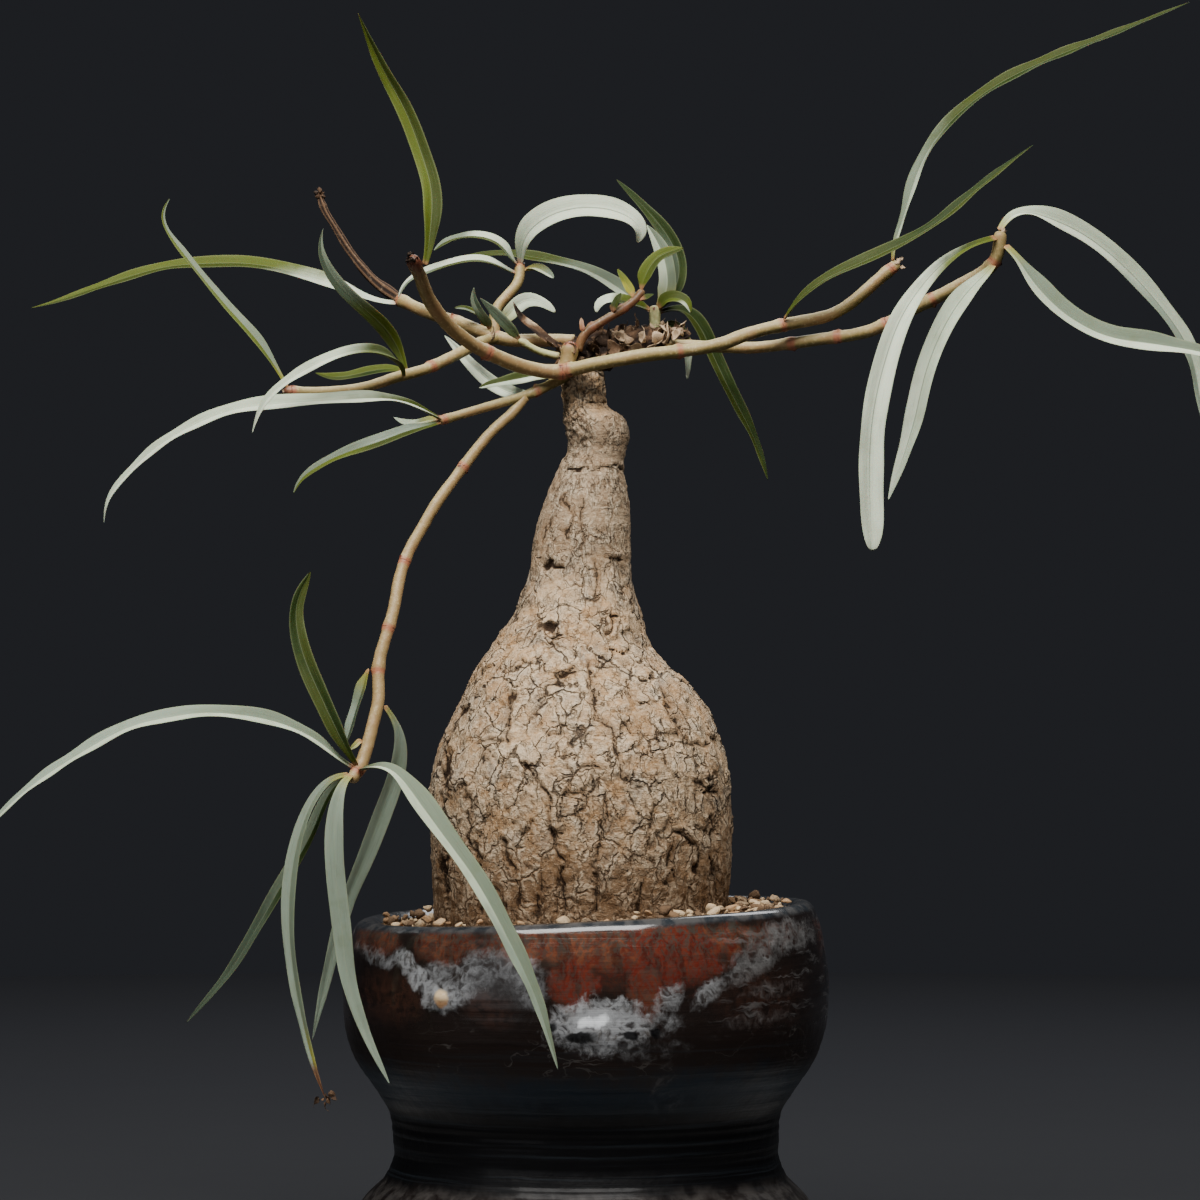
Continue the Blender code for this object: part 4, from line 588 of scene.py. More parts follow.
def stone_mesh(draw):
    """One rough angular grain about 1 across, which is used many times over."""
    bm = bmesh.new()
    bmesh.ops.create_icosphere(bm, subdivisions=2, radius=0.58)
    offset = Vector((draw.uniform(0, 99), draw.uniform(0, 99), draw.uniform(0, 99)))
    cuts = [(any_way(draw).normalized(), draw.uniform(0.24, 0.42)) for _ in range(11)]
    for v in bm.verts:
        v.co *= 1 + 0.3 * noise.noise(v.co * 2.6 + offset)
        for direction, reach in cuts:
            past = v.co.dot(direction) - reach
            if past > 0:
                v.co -= direction * past * 0.9
        v.co *= 1 + 0.24 * noise.noise(v.co * 5.0 + offset) + 0.16 * noise.noise(v.co * 11.0 + offset)
    return plain_mesh(bm, "stone")


def scatter(bm, shapes, placings, layer_name):
    """Adds one of the shapes at each (number of the shape, matrix, tone), the tone as an attribute."""
    bm.verts.layers.float.new(layer_name)
    tones = []
    for number, matrix, tone in placings:
        shape = shapes[number]
        shape.transform(matrix)
        bm.from_mesh(shape)
        shape.transform(matrix.inverted())
        tones += [tone] * len(shape.vertices)
    bm.verts.ensure_lookup_table()
    first = len(bm.verts) - len(tones)
    layer = bm.verts.layers.float[layer_name]
    for k, tone in enumerate(tones):
        bm.verts[first + k][layer] = tone
    return bm


def any_way(draw, spread=1.0):
    return Vector([draw.gauss(0, spread) for _ in range(3)])


def rolled(draw, axis):
    return Matrix.Rotation(draw.uniform(0, math.tau), 3, axis)


def placing(place, size, turn):
    """A matrix that sizes, turns and moves a shape."""
    return Matrix.Translation(place) @ turn.to_4x4() @ Matrix.Diagonal((*size, 1))


SOIL_SINK = 1.9
SOIL_SIDES = 160
GRAIN_SIZES = (1.4, 5.8, 2.0)  # least, largest and most common
STONE_SHAPES = 12
CLUMP_GRAINS = 9
SOIL_CLUMPS = [  # (across, back, up, spread, size, tone) of the crumbly clumps by the left rim
    (-48.4, -8, 86.2, 0.8, 2.2, 0.1), (-41.4, -15, 87.3, 1.2, 2.6, 0.07), (24, -40, 88, 0.9, 2.4, 0.5),
]


def soil_mesh(settings):
    """A bed with a lumpy top, and loose grains heaped on it, more of them at the right."""
    wall = [(r - 0.2, up) for r, up in reversed(POT_OUTLINE[2:8])]
    top = [(radius, float(soil_top(radius)) - SOIL_SINK) for radius in np.linspace(37.0, 52.3, 14)]
    floor = [(37.5, POT_OUTLINE[1][1] + 0.3), (0.0, POT_OUTLINE[0][1] + 0.3)]
    bm = spun(HOLE_OUTLINE[:4] + top + wall[1:] + floor, SOIL_SIDES)
    for v in bm.verts:
        radius = v.co.xy.length
        if v.co.z > 84 and radius > 36:
            v.co.z += 0.7 * noise.noise(v.co * 0.5)
        if radius < GRAIN_INNER and v.co.z > HOLE_OUTLINE[0][1] - 1:
            v.co.x += HOLE_CENTRE
        v.co.z += rim_lift(v.co.x, v.co.z)
    draw = random.Random(settings.seed)
    shapes = [stone_mesh(draw) for _ in range(STONE_SHAPES)]
    placings = []
    placed = []
    for _ in range(settings.grain_tries):
        size = draw.triangular(*GRAIN_SIZES)
        angle = draw.uniform(0, math.tau)
        out = math.sqrt(draw.uniform((37.3 + size / 2) ** 2, (51.4 - size / 2) ** 2))
        x = out * math.cos(angle) + HOLE_CENTRE * (GRAIN_OUTER - out) / (GRAIN_OUTER - GRAIN_INNER)
        y = out * math.sin(angle)
        near = [other for px, py, other in placed
                if (x - px) ** 2 + (y - py) ** 2 < ((size + other) * 0.41) ** 2]
        heaped = draw.random() < 0.05 + 0.22 * (x > 5)
        if near and not (heaped and len(near) == 1):
            continue
        lift = 0.75 * near[0] if near else 0.0
        placed.append((x, y, size))
        up = float(soil_top(out)) - SOIL_SINK + 0.12 * size + lift + 0.7 * float(smooth_step(0, 30, x))
        up += float(rim_lift(x, up))
        lying = Vector((draw.gauss(0, 0.4), draw.gauss(0, 0.4), 1)).to_track_quat("Z", "Y").to_matrix()
        turn = lying @ rolled(draw, "Z")
        shape_size = (size * 1.1, size * draw.uniform(0.7, 1.0), size * draw.uniform(0.5, 0.75))
        placings.append((draw.randrange(len(shapes)), placing((x, y, up), shape_size, turn), draw.random()))
    for across, back, up, spread, size, tone in SOIL_CLUMPS:
        for _ in range(CLUMP_GRAINS):
            place = Vector((across, back, up)) + any_way(draw, spread)
            turn = any_way(draw).to_track_quat("Z", "Y").to_matrix()
            grown = size * draw.uniform(0.7, 1.2)
            matrix = placing(place, (grown, grown, grown * 0.8), turn)
            placings.append((draw.randrange(len(shapes)), matrix, tone * draw.uniform(0.6, 1.4)))
    return mesh_from(scatter(bm, shapes, placings, "tone"), "soil")


def trunk_rows(count, buried):
    """(up, middle, radius) of rows down the trunk, most of them above the soil."""
    points = [(CAUDEX_TOP + 0.4, -0.75, -0.75), (CAUDEX_TOP + 0.2, -4.0, 2.6)] + CAUDEX_OUTLINE
    points += [(CAUDEX_FOOT + 0.2, -5.0, 3.0), (CAUDEX_FOOT, -1.25, -1.25)]
    fine = smooth_line(np.array(points), step=0.1)
    steps = np.linalg.norm(np.diff(fine, axis=0), axis=1)
    shown = fine[1:, 0] > SOIL_TOP_AT_WALL - 2
    shares = np.concatenate([[0], np.cumsum(np.where(shown, steps / steps[shown].sum(), 0))])
    hidden = np.concatenate([[0], np.cumsum(np.where(shown, 0, steps / steps[~shown].sum()))])
    at = np.interp(np.arange(count + buried + 1), count * shares + buried * hidden, np.arange(len(fine)))
    up, left, right = read_at(at, np.arange(len(fine)), fine).T
    return up, (left + right) / 2, (right - left) / 2


PLATE_SIZES = [  # (up, width, height) of the bark's plates
    (70, 7.5, 15), (98, 7, 13), (112, 6.8, 10), (135, 6.6, 9), (150, 6.2, 8), (160, 5.6, 8),
    (172, 5, 9.5), (186, 4.6, 10), (196, 4.2, 6), (206, 4.2, 4), (224, 3.4, 2.8),
]
FISSURES = [  # (width, points as (across, up)) of the long cracks on the front
    (0.62, [(-15.3, 124.8), (-12.6, 121.6), (-10.9, 118.6), (-9.9, 115), (-8, 108.4), (-7.1, 103.4),
            (-6, 100.4), (-5.6, 93.6), (-5, 87)]),
    (0.4, [(-21.4, 105.8), (-19.2, 99.6), (-17.3, 98.5), (-16.9, 92), (-16.8, 86)]),
    (0.3, [(-11.2, 97), (-11.9, 86)]),
    (0.3, [(-6.1, 100.5), (-7, 94), (-7.6, 88)]),
    (0.35, [(5.1, 115.5), (5.9, 112.1), (4.1, 107.2), (3.2, 103.6), (1.9, 99.4), (2.4, 93.6), (1.8, 88)]),
    (0.3, [(0.8, 150), (1.7, 142.8), (1.6, 139.6), (2.7, 135.9), (6.8, 134), (7.4, 131.1), (8.2, 124.8),
           (10.2, 120.8), (11.4, 120.3)]),
    (0.28, [(-5.1, 127.7), (-4.3, 124), (-3.6, 121.4), (-5.4, 117), (-5.6, 111)]),
    (0.3, [(17, 131), (19.7, 127.2), (20.2, 124.8)]),
    (0.3, [(16.2, 113.1), (16, 108), (16.3, 103.4)]),
    (0.26, [(13.4, 94.6), (13, 92), (12.4, 88)]),
    (0.38, [(22.1, 136), (24.3, 131.1), (25, 130.4), (29.4, 129.6)]),
    (0.25, [(17.8, 144.7), (20.2, 141.3), (20.7, 137.9)]),
    (0.35, [(-18.5, 142.8), (-19.6, 137.4), (-19.4, 132.6), (-20.2, 130.2)]),
    (0.35, [(-9.7, 142.3), (-10.9, 139.4), (-12.2, 137)]),
    (0.8, [(-30.2, 139), (-31.6, 135.9), (-34.3, 130.6), (-35, 122), (-35.3, 108), (-34.6, 91)]),
    (0.45, [(31, 112), (31.4, 101.4), (32.3, 96.5), (33, 91)]),
    (0.4, [(-29.2, 118), (-28.9, 111.6), (-28.4, 105), (-26, 101), (-26, 88)]),
    (0.5, [(20.4, 99), (20.7, 105.3), (22, 108.1), (24.2, 107.6), (27.5, 104.4), (28.2, 100.9), (27.6, 98)]),
    (0.45, [(27.5, 120.9), (29.6, 118.9), (32.3, 118)]),
    (0.4, [(-34.3, 118.5), (-32, 118.3), (-29.9, 119.4)]),
    (0.25, [(-27.7, 130.4), (-24, 130.8), (-21.1, 130.6)]),
    (0.35, [(-6.6, 146.7), (-5, 147.4), (-3.2, 148.6)]),
    (0.22, [(-1.7, 123.8), (1, 124.6), (3.6, 124.3)]),
    (0.25, [(-26.5, 124.8), (-25.7, 126.4), (-24.5, 128.7)]),
    (0.25, [(12, 119), (14.8, 120), (18.6, 122.4)]),
    (0.25, [(-5.2, 181), (-4.4, 186), (-5, 192)]),
    (0.22, [(-11.6, 180.4), (-10.2, 183.2), (-8.6, 187)]),
    (0.25, [(-1, 178.5), (-1.6, 184), (-1.2, 191.5)]),
    (0.2, [(2.6, 164), (3, 170), (2.4, 176)]),
]
RANDOM_FISSURES = 46
NECK_RINGS = ((218.5, 0.4), (215.6, 0.35), (198.2, 0.5), (176.4, 0.15))  # (up, depth)
BARK_MARKS = [  # holes, slots and ledges on the front, the holes and slots darkened with painted shade: (across, up, half width, half height, rise, darkness)
    (-9.2, 159.2, 1.9, 1, -1.4, 1.4), (-7.6, 156.7, 2.6, 0.35, -0.8, 1.1), (-7.2, 157.7, 1.6, 0.6, 0.5, 0),
    (-8.4, 155.6, 3.6, 0.7, 0.5, 0), (-9.2, 174.8, 1.6, 1, -1.2, 1.3), (-7, 174, 1.2, 0.4, -1.2, 1.3),
    (-9.4, 176.6, 2.8, 0.9, 0.5, 0), (-11.6, 174.4, 1, 1.8, 0.4, 0),
]
FLAKES = [  # lifted flakes on the front: (across, up, size)
    (8.6, 155, 2.6), (4.4, 152.6, 1.6), (14.6, 147.6, 1.8), (29.8, 120.6, 2.4), (24.6, 146.4, 1.6),
    (-17, 146.5, 1.8), (-5.2, 149.4, 2.2), (13, 151.6, 1.6), (6.2, 163.4, 1.4), (-13.6, 125.9, 1.4),
]


def plate_field(places, rows, seed):
    """Bark plates as cells: for each place how near a seam it is, and its plate's strength, height, tone
    and tilt."""
    levels, widths, heights = np.array(PLATE_SIZES).T
    ups = np.linspace(60, 226, 1661)
    stretch = np.interp(ups, levels, widths / heights)
    tall = np.concatenate([[0], np.cumsum(stretch[1:] * 0.1)])
    up_rows, middle_rows, radius_rows = rows
    draw = random.Random(seed)
    seeds = []
    at = 0.0
    while at < tall[-1]:
        up = float(np.interp(at, tall, ups))
        width = float(np.interp(up, levels, widths))
        middle = float(np.interp(-up, -up_rows, middle_rows))
        radius = float(np.interp(-up, -up_rows, radius_rows))
        around = max(4, round(math.tau * radius / width))
        shift = draw.random()
        for k in range(around):
            turn = math.tau * (k + shift + draw.uniform(-0.46, 0.46)) / around
            level = at + draw.uniform(-0.55, 0.55) * width
            seeds.append((middle + radius * math.cos(turn), radius * math.sin(turn), level))
        at += width * 0.92
    tree = KDTree(len(seeds))
    for number, place in enumerate(seeds):
        tree.insert(place, number)
    tree.balance()
    flat = places.reshape(-1, 3)
    warped = flat + 1.3 * np.stack([ripple(flat, 6, seed + k) for k in (1, 2, 3)], axis=1)
    warped += 0.75 * np.stack([ripple(flat, 2.4, seed + k) for k in (4, 5, 6)], axis=1)
    warped[:, 2] = np.interp(warped[:, 2], ups, tall)
    nearest = np.empty((len(flat), 2), int)
    apart = np.empty((len(flat), 2))
    for k, place in enumerate(warped.tolist()):
        (_, one, near), (_, two, far) = tree.find_n(place, 2)
        nearest[k] = one, two
        apart[k] = near, far
    seeds = np.array(seeds)
    chance = np.random.default_rng(seed)
    heights_of = chance.random(len(seeds))
    tones = chance.random(len(seeds))
    tilts = chance.normal(size=(len(seeds), 3)) * (0.07, 0.07, 0.07) + (0, 0, -0.06)
    low, high = nearest.min(axis=1), nearest.max(axis=1)
    strength = ((low * 7919 + high * 104729) % 997) / 996
    between = seeds[low] - seeds[high]
    stacked = np.abs(between[:, 2]) / np.maximum(np.linalg.norm(between, axis=1), 1e-6)
    strength *= 1 - 0.3 * stacked
    lift = ((warped - seeds[nearest[:, 0]]) * tilts[nearest[:, 0]]).sum(axis=1)
    fields = (apart[:, 1] - apart[:, 0], strength, heights_of[nearest[:, 0]], tones[nearest[:, 0]],
              np.clip(lift, -0.4, 0.5))
    return [field.reshape(places.shape[:2]) for field in fields]


def distance_to(points, across, up):
    """How far places, given across and up, lie from a line of points."""
    nearest = np.full(across.shape, 99.0)
    for (x0, z0), (x1, z1) in zip(points, points[1:]):
        dx, dz = x1 - x0, z1 - z0
        share = np.clip(((across - x0) * dx + (up - z0) * dz) / (dx * dx + dz * dz), 0, 1)
        nearest = np.minimum(nearest, np.hypot(across - x0 - share * dx, up - z0 - share * dz))
    return nearest


def fissure_field(base, seed):
    """For each place how far it lies from the edge of the nearest long crack, and that crack's width."""
    x, y, z = np.moveaxis(base, 2, 0)
    read_x, read_z = as_read(x, y, z)
    wavy_x = read_x + 0.6 * ripple(base, 4, seed)
    wavy_x = wavy_x + 0.4 * ripple(base, 1.7, seed + 1) + 0.2 * ripple(base, 0.8, seed + 7)
    wavy_z = read_z + 0.4 * ripple(base, 2.6, seed + 2)
    nearest = np.full(x.shape, 99.0)
    widths = np.full(x.shape, 0.3)
    opening = 0.7 + 0.35 * ripple(base, 3.2, seed + 6)
    for width, points in FISSURES:
        apart = np.where(y < 0, distance_to(points, wavy_x, wavy_z) - width * opening * 0.55, 99.0)
        widths = np.where(apart < nearest, width, widths)
        nearest = np.minimum(nearest, apart)
    turn = np.arctan2(y, x)
    draw = random.Random(seed)
    for _ in range(RANDOM_FISSURES):
        at, top = draw.uniform(-0.25, math.pi + 0.25), draw.uniform(96, 190)
        length = draw.uniform(8, 26) if top < 140 else draw.uniform(5, 14)
        points = [(0.0, top)]
        while points[-1][1] > top - length:
            across, up = points[-1]
            points.append((across + draw.uniform(-2.2, 2.2), up - draw.uniform(2.5, 6.0)))
        width = draw.uniform(0.25, 0.6)
        radius = np.hypot(x, y)
        aside = ((turn - at + math.pi) % math.tau - math.pi) * radius + 0.5 * ripple(base, 4, seed + 3)
        close = (np.abs(aside) < 14) & (y > -4)
        apart = np.where(close, distance_to(points, aside, wavy_z) - width / 2, 99.0)
        widths = np.where(apart < nearest, width, widths)
        nearest = np.minimum(nearest, apart)
    return np.minimum(nearest, 5.0), widths


def mark(x, y, z, across, up, wide, tall):
    """How strongly places on the front lie in a spot given by its middle and its half sizes."""
    return np.exp(-((x - across) / wide) ** 2 - ((z - up) / tall) ** 2) * (y < 0)


def trunk_mesh(settings):
    """The trunk's smooth form with cracked, lifted bark plates, a crumbly neck, knots and scars."""
    count, buried, around = ((280, 12, 334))
    rows = trunk_rows(count, buried)
    levels, middle, radius = rows
    turns = round_turns(around)
    turns = turns - 0.3 * np.cos(turns)
    base = np.stack([middle[:, None] + radius[:, None] * np.cos(turns),
                     radius[:, None] * np.sin(turns),
                     np.repeat(levels[:, None], around + 1, axis=1)], axis=2)
    downward = np.gradient(base, axis=0)
    onward = np.roll(base[:, :-1], -1, axis=1) - np.roll(base[:, :-1], 1, axis=1)
    onward = np.concatenate([onward, onward[:, :1]], axis=1)
    normal = unit(np.cross(downward, onward))
    x, y, z = np.moveaxis(base, 2, 0)
    seam, strength, height, tone, lift = plate_field(base, rows, settings.seed)
    fissure, wide = fissure_field(base, settings.seed)
    neck = smooth_step(196, 207, z)
    low = 1 - smooth_step(96, 122, z)
    groove = smooth_step(0.0, 0.7, seam)
    curl = np.exp(-((seam - 1.0) / 0.6) ** 2) * (height - 0.35)
    shoulder = smooth_step(158, 170, z)
    plates = groove * (1 - 0.75 * shoulder) * (1 - 0.62 * low) * (1 - 0.85 * smooth_step(195, 203, z))
    relief = 0.1 + 0.42 * (height - 0.2) * plates + 0.8 * lift * plates + 0.3 * curl * plates
    strength = strength * (1 - 0.8 * shoulder)
    relief -= 0.34 * (1 - groove) * (0.15 + 0.85 * strength) * (1 - neck)
    split = 1 - smooth_step(0.0, 0.5, fissure)
    tight = 1 - 0.6 * shoulder
    relief -= ((0.2 + 0.5 * wide) * split - 0.2 * np.exp(-((fissure - 0.9) / 0.5) ** 2)) * tight
    fissure = fissure + 0.1 * (1 - tight)
    relief += ripple(base * (1, 1, 2.4), 2.8, 31) * 0.08 + ripple(base * (1, 1, 3.2), 1.4, 32) * 0.06
    relief += low * 0.07 * ripple(base * (1, 1, 1.6), 1.9, 33)
    crumble = np.zeros_like(z)
    for row, column in np.argwhere((z > 192) | (z < 124)):
        place = base[row, column]
        crumble[row, column] = noise.turbulence(Vector(place * (0.62, 0.62, 0.95)), 4, True) - 0.55
    relief += (neck * 1.05 + 0.16 * low) * crumble
    dark = np.zeros_like(z)
    for ring_up, depth in NECK_RINGS:
        bent = z - ring_up + 0.9 * ripple(base * (1, 1, 0), 9, round(ring_up)) + 0.35 * ripple(base, 1.9, 5)
        cut = np.exp(-(bent / 0.24) ** 2) * np.clip(0.75 + 0.6 * ripple(base, 5, round(ring_up) + 1), 0.1, 1)
        relief -= depth * cut
        relief += 0.4 * depth * np.exp(-((bent - 0.9) / 0.7) ** 2)
        dark += 0.9 * cut
    x, z = as_read(x, y, z)
    smooth_bulge = np.minimum(1.5 * mark(x, y, z, 7.0, 208.0, 5.6, 8.5), 1)
    relief += smooth_bulge * (0.2 - (1.05 * neck) * crumble)
    crumble *= 1 - 0.8 * smooth_bulge
    rough_x = x + 0.7 * ripple(base, 2.2, 51)
    rough_z = z + 0.6 * ripple(base, 2.0, 52)
    knot_ring = np.hypot((rough_x + 8.4) / 3.2, (rough_z - 158.2) / 2.1)
    ledge = np.exp(-((knot_ring - 1.05) / 0.25) ** 2) * (y < 0)
    relief += 0.7 * ledge
    # Each mark lifts or sinks the bark; its darkness is painted shade in the holes and slots.
    for across, up, wide, tall, raised, darkened in BARK_MARKS:
        spot = mark(rough_x, y, rough_z, across, up, wide, tall)
        relief += raised * spot
        dark += darkened * spot
    # A notch, darkened with painted shade.
    notch = mark(x, y, rough_z, 7.4, 176.2, 2.1, 0.36)
    relief += 0.7 * mark(x, y, z, 7.6, 177.4, 2.4, 0.8) - 0.6 * notch
    dark += 0.55 * notch
    for across, up, size in FLAKES:
        aside = (rough_x - across) / size
        fall = rough_z - up + size * 0.7 * (1 - aside**2 * 0.6)
        inside = np.exp(-aside**4) * (y < 0)
        relief += 0.75 * inside * smooth_step(-0.2, 0.3, fall) * np.exp(-np.clip(fall, 0, 9) / size)
        # Painted shadow under each lifted flake, darkened through the dark layer.
        under = inside * np.exp(-((fall + 0.45) / 0.32) ** 2)
        relief -= 0.4 * under
        dark += 1.1 * under
    scar_ring = np.hypot((rough_x - 24.0) / 4.6, (rough_z - 101.0) / 6.0)
    relief += 0.5 * np.exp(-((scar_ring - 1) / 0.3) ** 2) * (y < 0) * smooth_step(98, 104, z)
    relief -= 0.35 * np.exp(-(scar_ring / 0.7) ** 2) * (y < 0)
    from_end = smooth_step(0, 3, np.arange(len(levels)))
    relief = np.clip(relief, -1.6, 1.7) * (from_end * from_end[::-1])[:, None]
    places = base + normal * relief[:, :, None]
    # The dark layer holds the neck's dark ring cuts and painted shade in holes, in the notch and under the
    # flakes; the last layer is painted shade in the crumbly pits.
    layers = {"seam": np.minimum(seam, 4), "strength": strength, "fissure": fissure, "plate": tone,
              "dark": np.clip(dark, 0, 1), "hollow": np.clip(-crumble, 0, 1) * (1 - 0.5 * low)}
    return mesh_from(skin(places, layers), "caudex")


def stem_radii(stem, line):
    """The radius at each point of a stem's line: an even taper with a swelling at each joint."""
    along = lengths_along(line)
    radii = np.interp(along, [0, along[-1]], [stem.base, stem.tip])
    for joint in stem.joints:
        radii *= 1 + JOINT_SWELL * np.exp(-(((along - joint * along[-1]) / JOINT_REACH) ** 2))
    return radii


def crosswise(line):
    """Two directions square to a line at each of its points, carried along it without twist."""
    onward = unit(np.gradient(line, axis=0))
    side = np.cross(onward[0], (0.0, 0.0, 1.0))
    sides = []
    for direction in onward:
        side = unit(side - direction * (side @ direction))
        sides.append(side)
    sides = np.array(sides)
    return sides, np.cross(onward, sides), onward


STEM_STEP = 0.7
STEM_SIDES = 20
STEM_SMOOTHING = 2.6
STEM_SLIMNESS = 0.86  # the solids' stems are a little stout, so that they meet what they touch
STEM_ROOTS = {  # where a stem starts inside what carries it
    "stem_a": (-4.6, 223.2, -8.2), "stem_b": (-6.4, 223.1, -8.2), "stem_e": (-22.9, 232.2, 8.1),
    "stem_g": (-22.6, 231.5, 7.2), "stem_h": (-3.6, 222.4, -2.2), "stem_i": (-15.4, 216.6, -9),
    "withered_tip": (-46, 240.8, 29.2),
}
BROWNED_TIPS = {"stem_a": 7.0, "stem_g": 1.5}  # how far from its tip a stem has turned brown
LEAF_BEARERS = {"leaf_f2": "stem_d", "leaf_f3": "stem_d", "leaf_f4": "stem_e", "dried_leaf": "stem_d"}


def straightened(line):
    return evened(line, min(STEM_SMOOTHING, lengths_along(line)[-1] / 14))


def stem_skin(name, stem, seed, shrivel=0.0):
    """A stem with swollen joints, faint wrinkles and small pointed leaf scars, as a bmesh."""
    route = seen(stem.route)
    if name in STEM_ROOTS:
        route = np.vstack([seen([STEM_ROOTS[name]]), route])
    line = straightened(smooth_line(route, step=STEM_STEP))
    radii = stem_radii(stem, line) * STEM_SLIMNESS
    along = lengths_along(line)
    onward = line[-1] - line[-2]
    onward *= radii[-1] / np.linalg.norm(onward)
    bulge = np.linspace(0.3, 1, 5) * math.pi / 2
    line = np.vstack([line[:1] - onward * 1e-3, line, *(line[-1:] + np.sin(t) * onward * 0.9 for t in bulge)])
    radii = np.concatenate([[0], radii, radii[-1] * np.cos(bulge)])
    along = np.concatenate([[0], along, along[-1] + np.sin(bulge) * stem.tip * 0.9])
    reach = along[-1]
    sides, uppers, _ = crosswise(line)
    turns = round_turns(STEM_SIDES)
    ring = sides[:, None] * np.cos(turns)[:, None] + uppers[:, None] * np.sin(turns)[:, None]
    joint = np.zeros(len(line))
    scar = np.zeros((len(line), STEM_SIDES + 1))
    draw = random.Random(seed)
    for place in stem.joints:
        away = along - place * reach
        joint = np.maximum(joint, np.exp(-(away / 1.3) ** 2))
        for facing in (draw.uniform(-2.6, -0.6), draw.uniform(0.2, 2.6)):
            turned = np.abs((turns - facing + math.pi) % math.tau - math.pi)
            spot = np.exp(-((away[:, None] - draw.uniform(-0.8, 0.8)) / 0.55) ** 2 - (turned / 0.3) ** 2)
            scar = np.maximum(scar, spot)
    places = line[:, None] + ring * radii[:, None, None]
    wrinkle = 0.022 * ripple(places, 1.5, seed) + 0.03 * ripple(places, 6, seed + 1)
    ridges = np.sin(turns * 5 + 0.5 * np.sin(along / 4)[:, None] + 0.8 * ripple(places, 9, seed + 4))
    lump = shrivel * 0.25 * ripple(places, 3.2, seed + 2)
    swell = radii[:, None] * (wrinkle + ridges * (0.01 + 0.3 * shrivel) + lump)
    swell += 0.7 * scar**2 * (radii[:, None] > 0.5)
    places += ring * swell[:, :, None]
    browned = np.exp(-(reach - along) / BROWNED_TIPS[name]) if name in BROWNED_TIPS else 0 * along
    # upper says how far each point faces up; the stems' finish paints light and shade by it.
    layers = {"joint": joint[:, None], "scar": scar, "upper": ring[:, :, 2] * 0.5 + 0.5,
              # the tone, which the dried finish reads, is paler on the ridges: partly their own colour,
              # partly a painted highlight
              "browned": browned[:, None], "tone": 0.45 - 0.35 * shrivel + 0.38 * ridges}
    return skin(places, layers)


def blade_half_width(leaf, t):
    rise = np.clip(t / (LEAF_WIDENING if leaf.point < 10 else 0.62), 0, 1)
    rise = rise * rise * (3 - 2 * rise)
    share = LEAF_BASE_SHARE + (1 - LEAF_BASE_SHARE) * rise
    tip_curve = LEAF_TIP_CURVE if leaf.point < 10 else 0.5
    return leaf.width / 2 * share * np.maximum(0.0, 1 - t**leaf.point) ** tip_curve


def bearer(name):
    """The stem that a leaf grows on: the one of its letter, if no other is given."""
    return STEMS[LEAF_BEARERS.get(name, "stem_" + name[len("leaf_")])]


def leaf_line(leaf, stem):
    """A leaf's line to its tip from where it stands clear of its stem, close to the stem's skin."""
    places = seen(leaf.route)
    core = straightened(smooth_line(seen(stem.route), step=0.5))
    radii = stem_radii(stem, core)
    apart = np.linalg.norm(core - places[0], axis=1) - radii
    if apart.min() > 0:
        places = np.vstack([core[apart.argmin()], places])
    line = smooth_line(places, step=0.1)
    for start, place in enumerate(line):
        if (np.linalg.norm(core - place, axis=1) - radii).min() > LEAF_SEAT:
            return line[max(0, start - 14):]
    return line


LEAF_ROUND = 20
LEAF_ROW_LENGTH = 0.9
LEAF_ROWS = (16, 110)
LEAF_CROWDING = 0.35  # how much closer the rows stand at both ends of a leaf


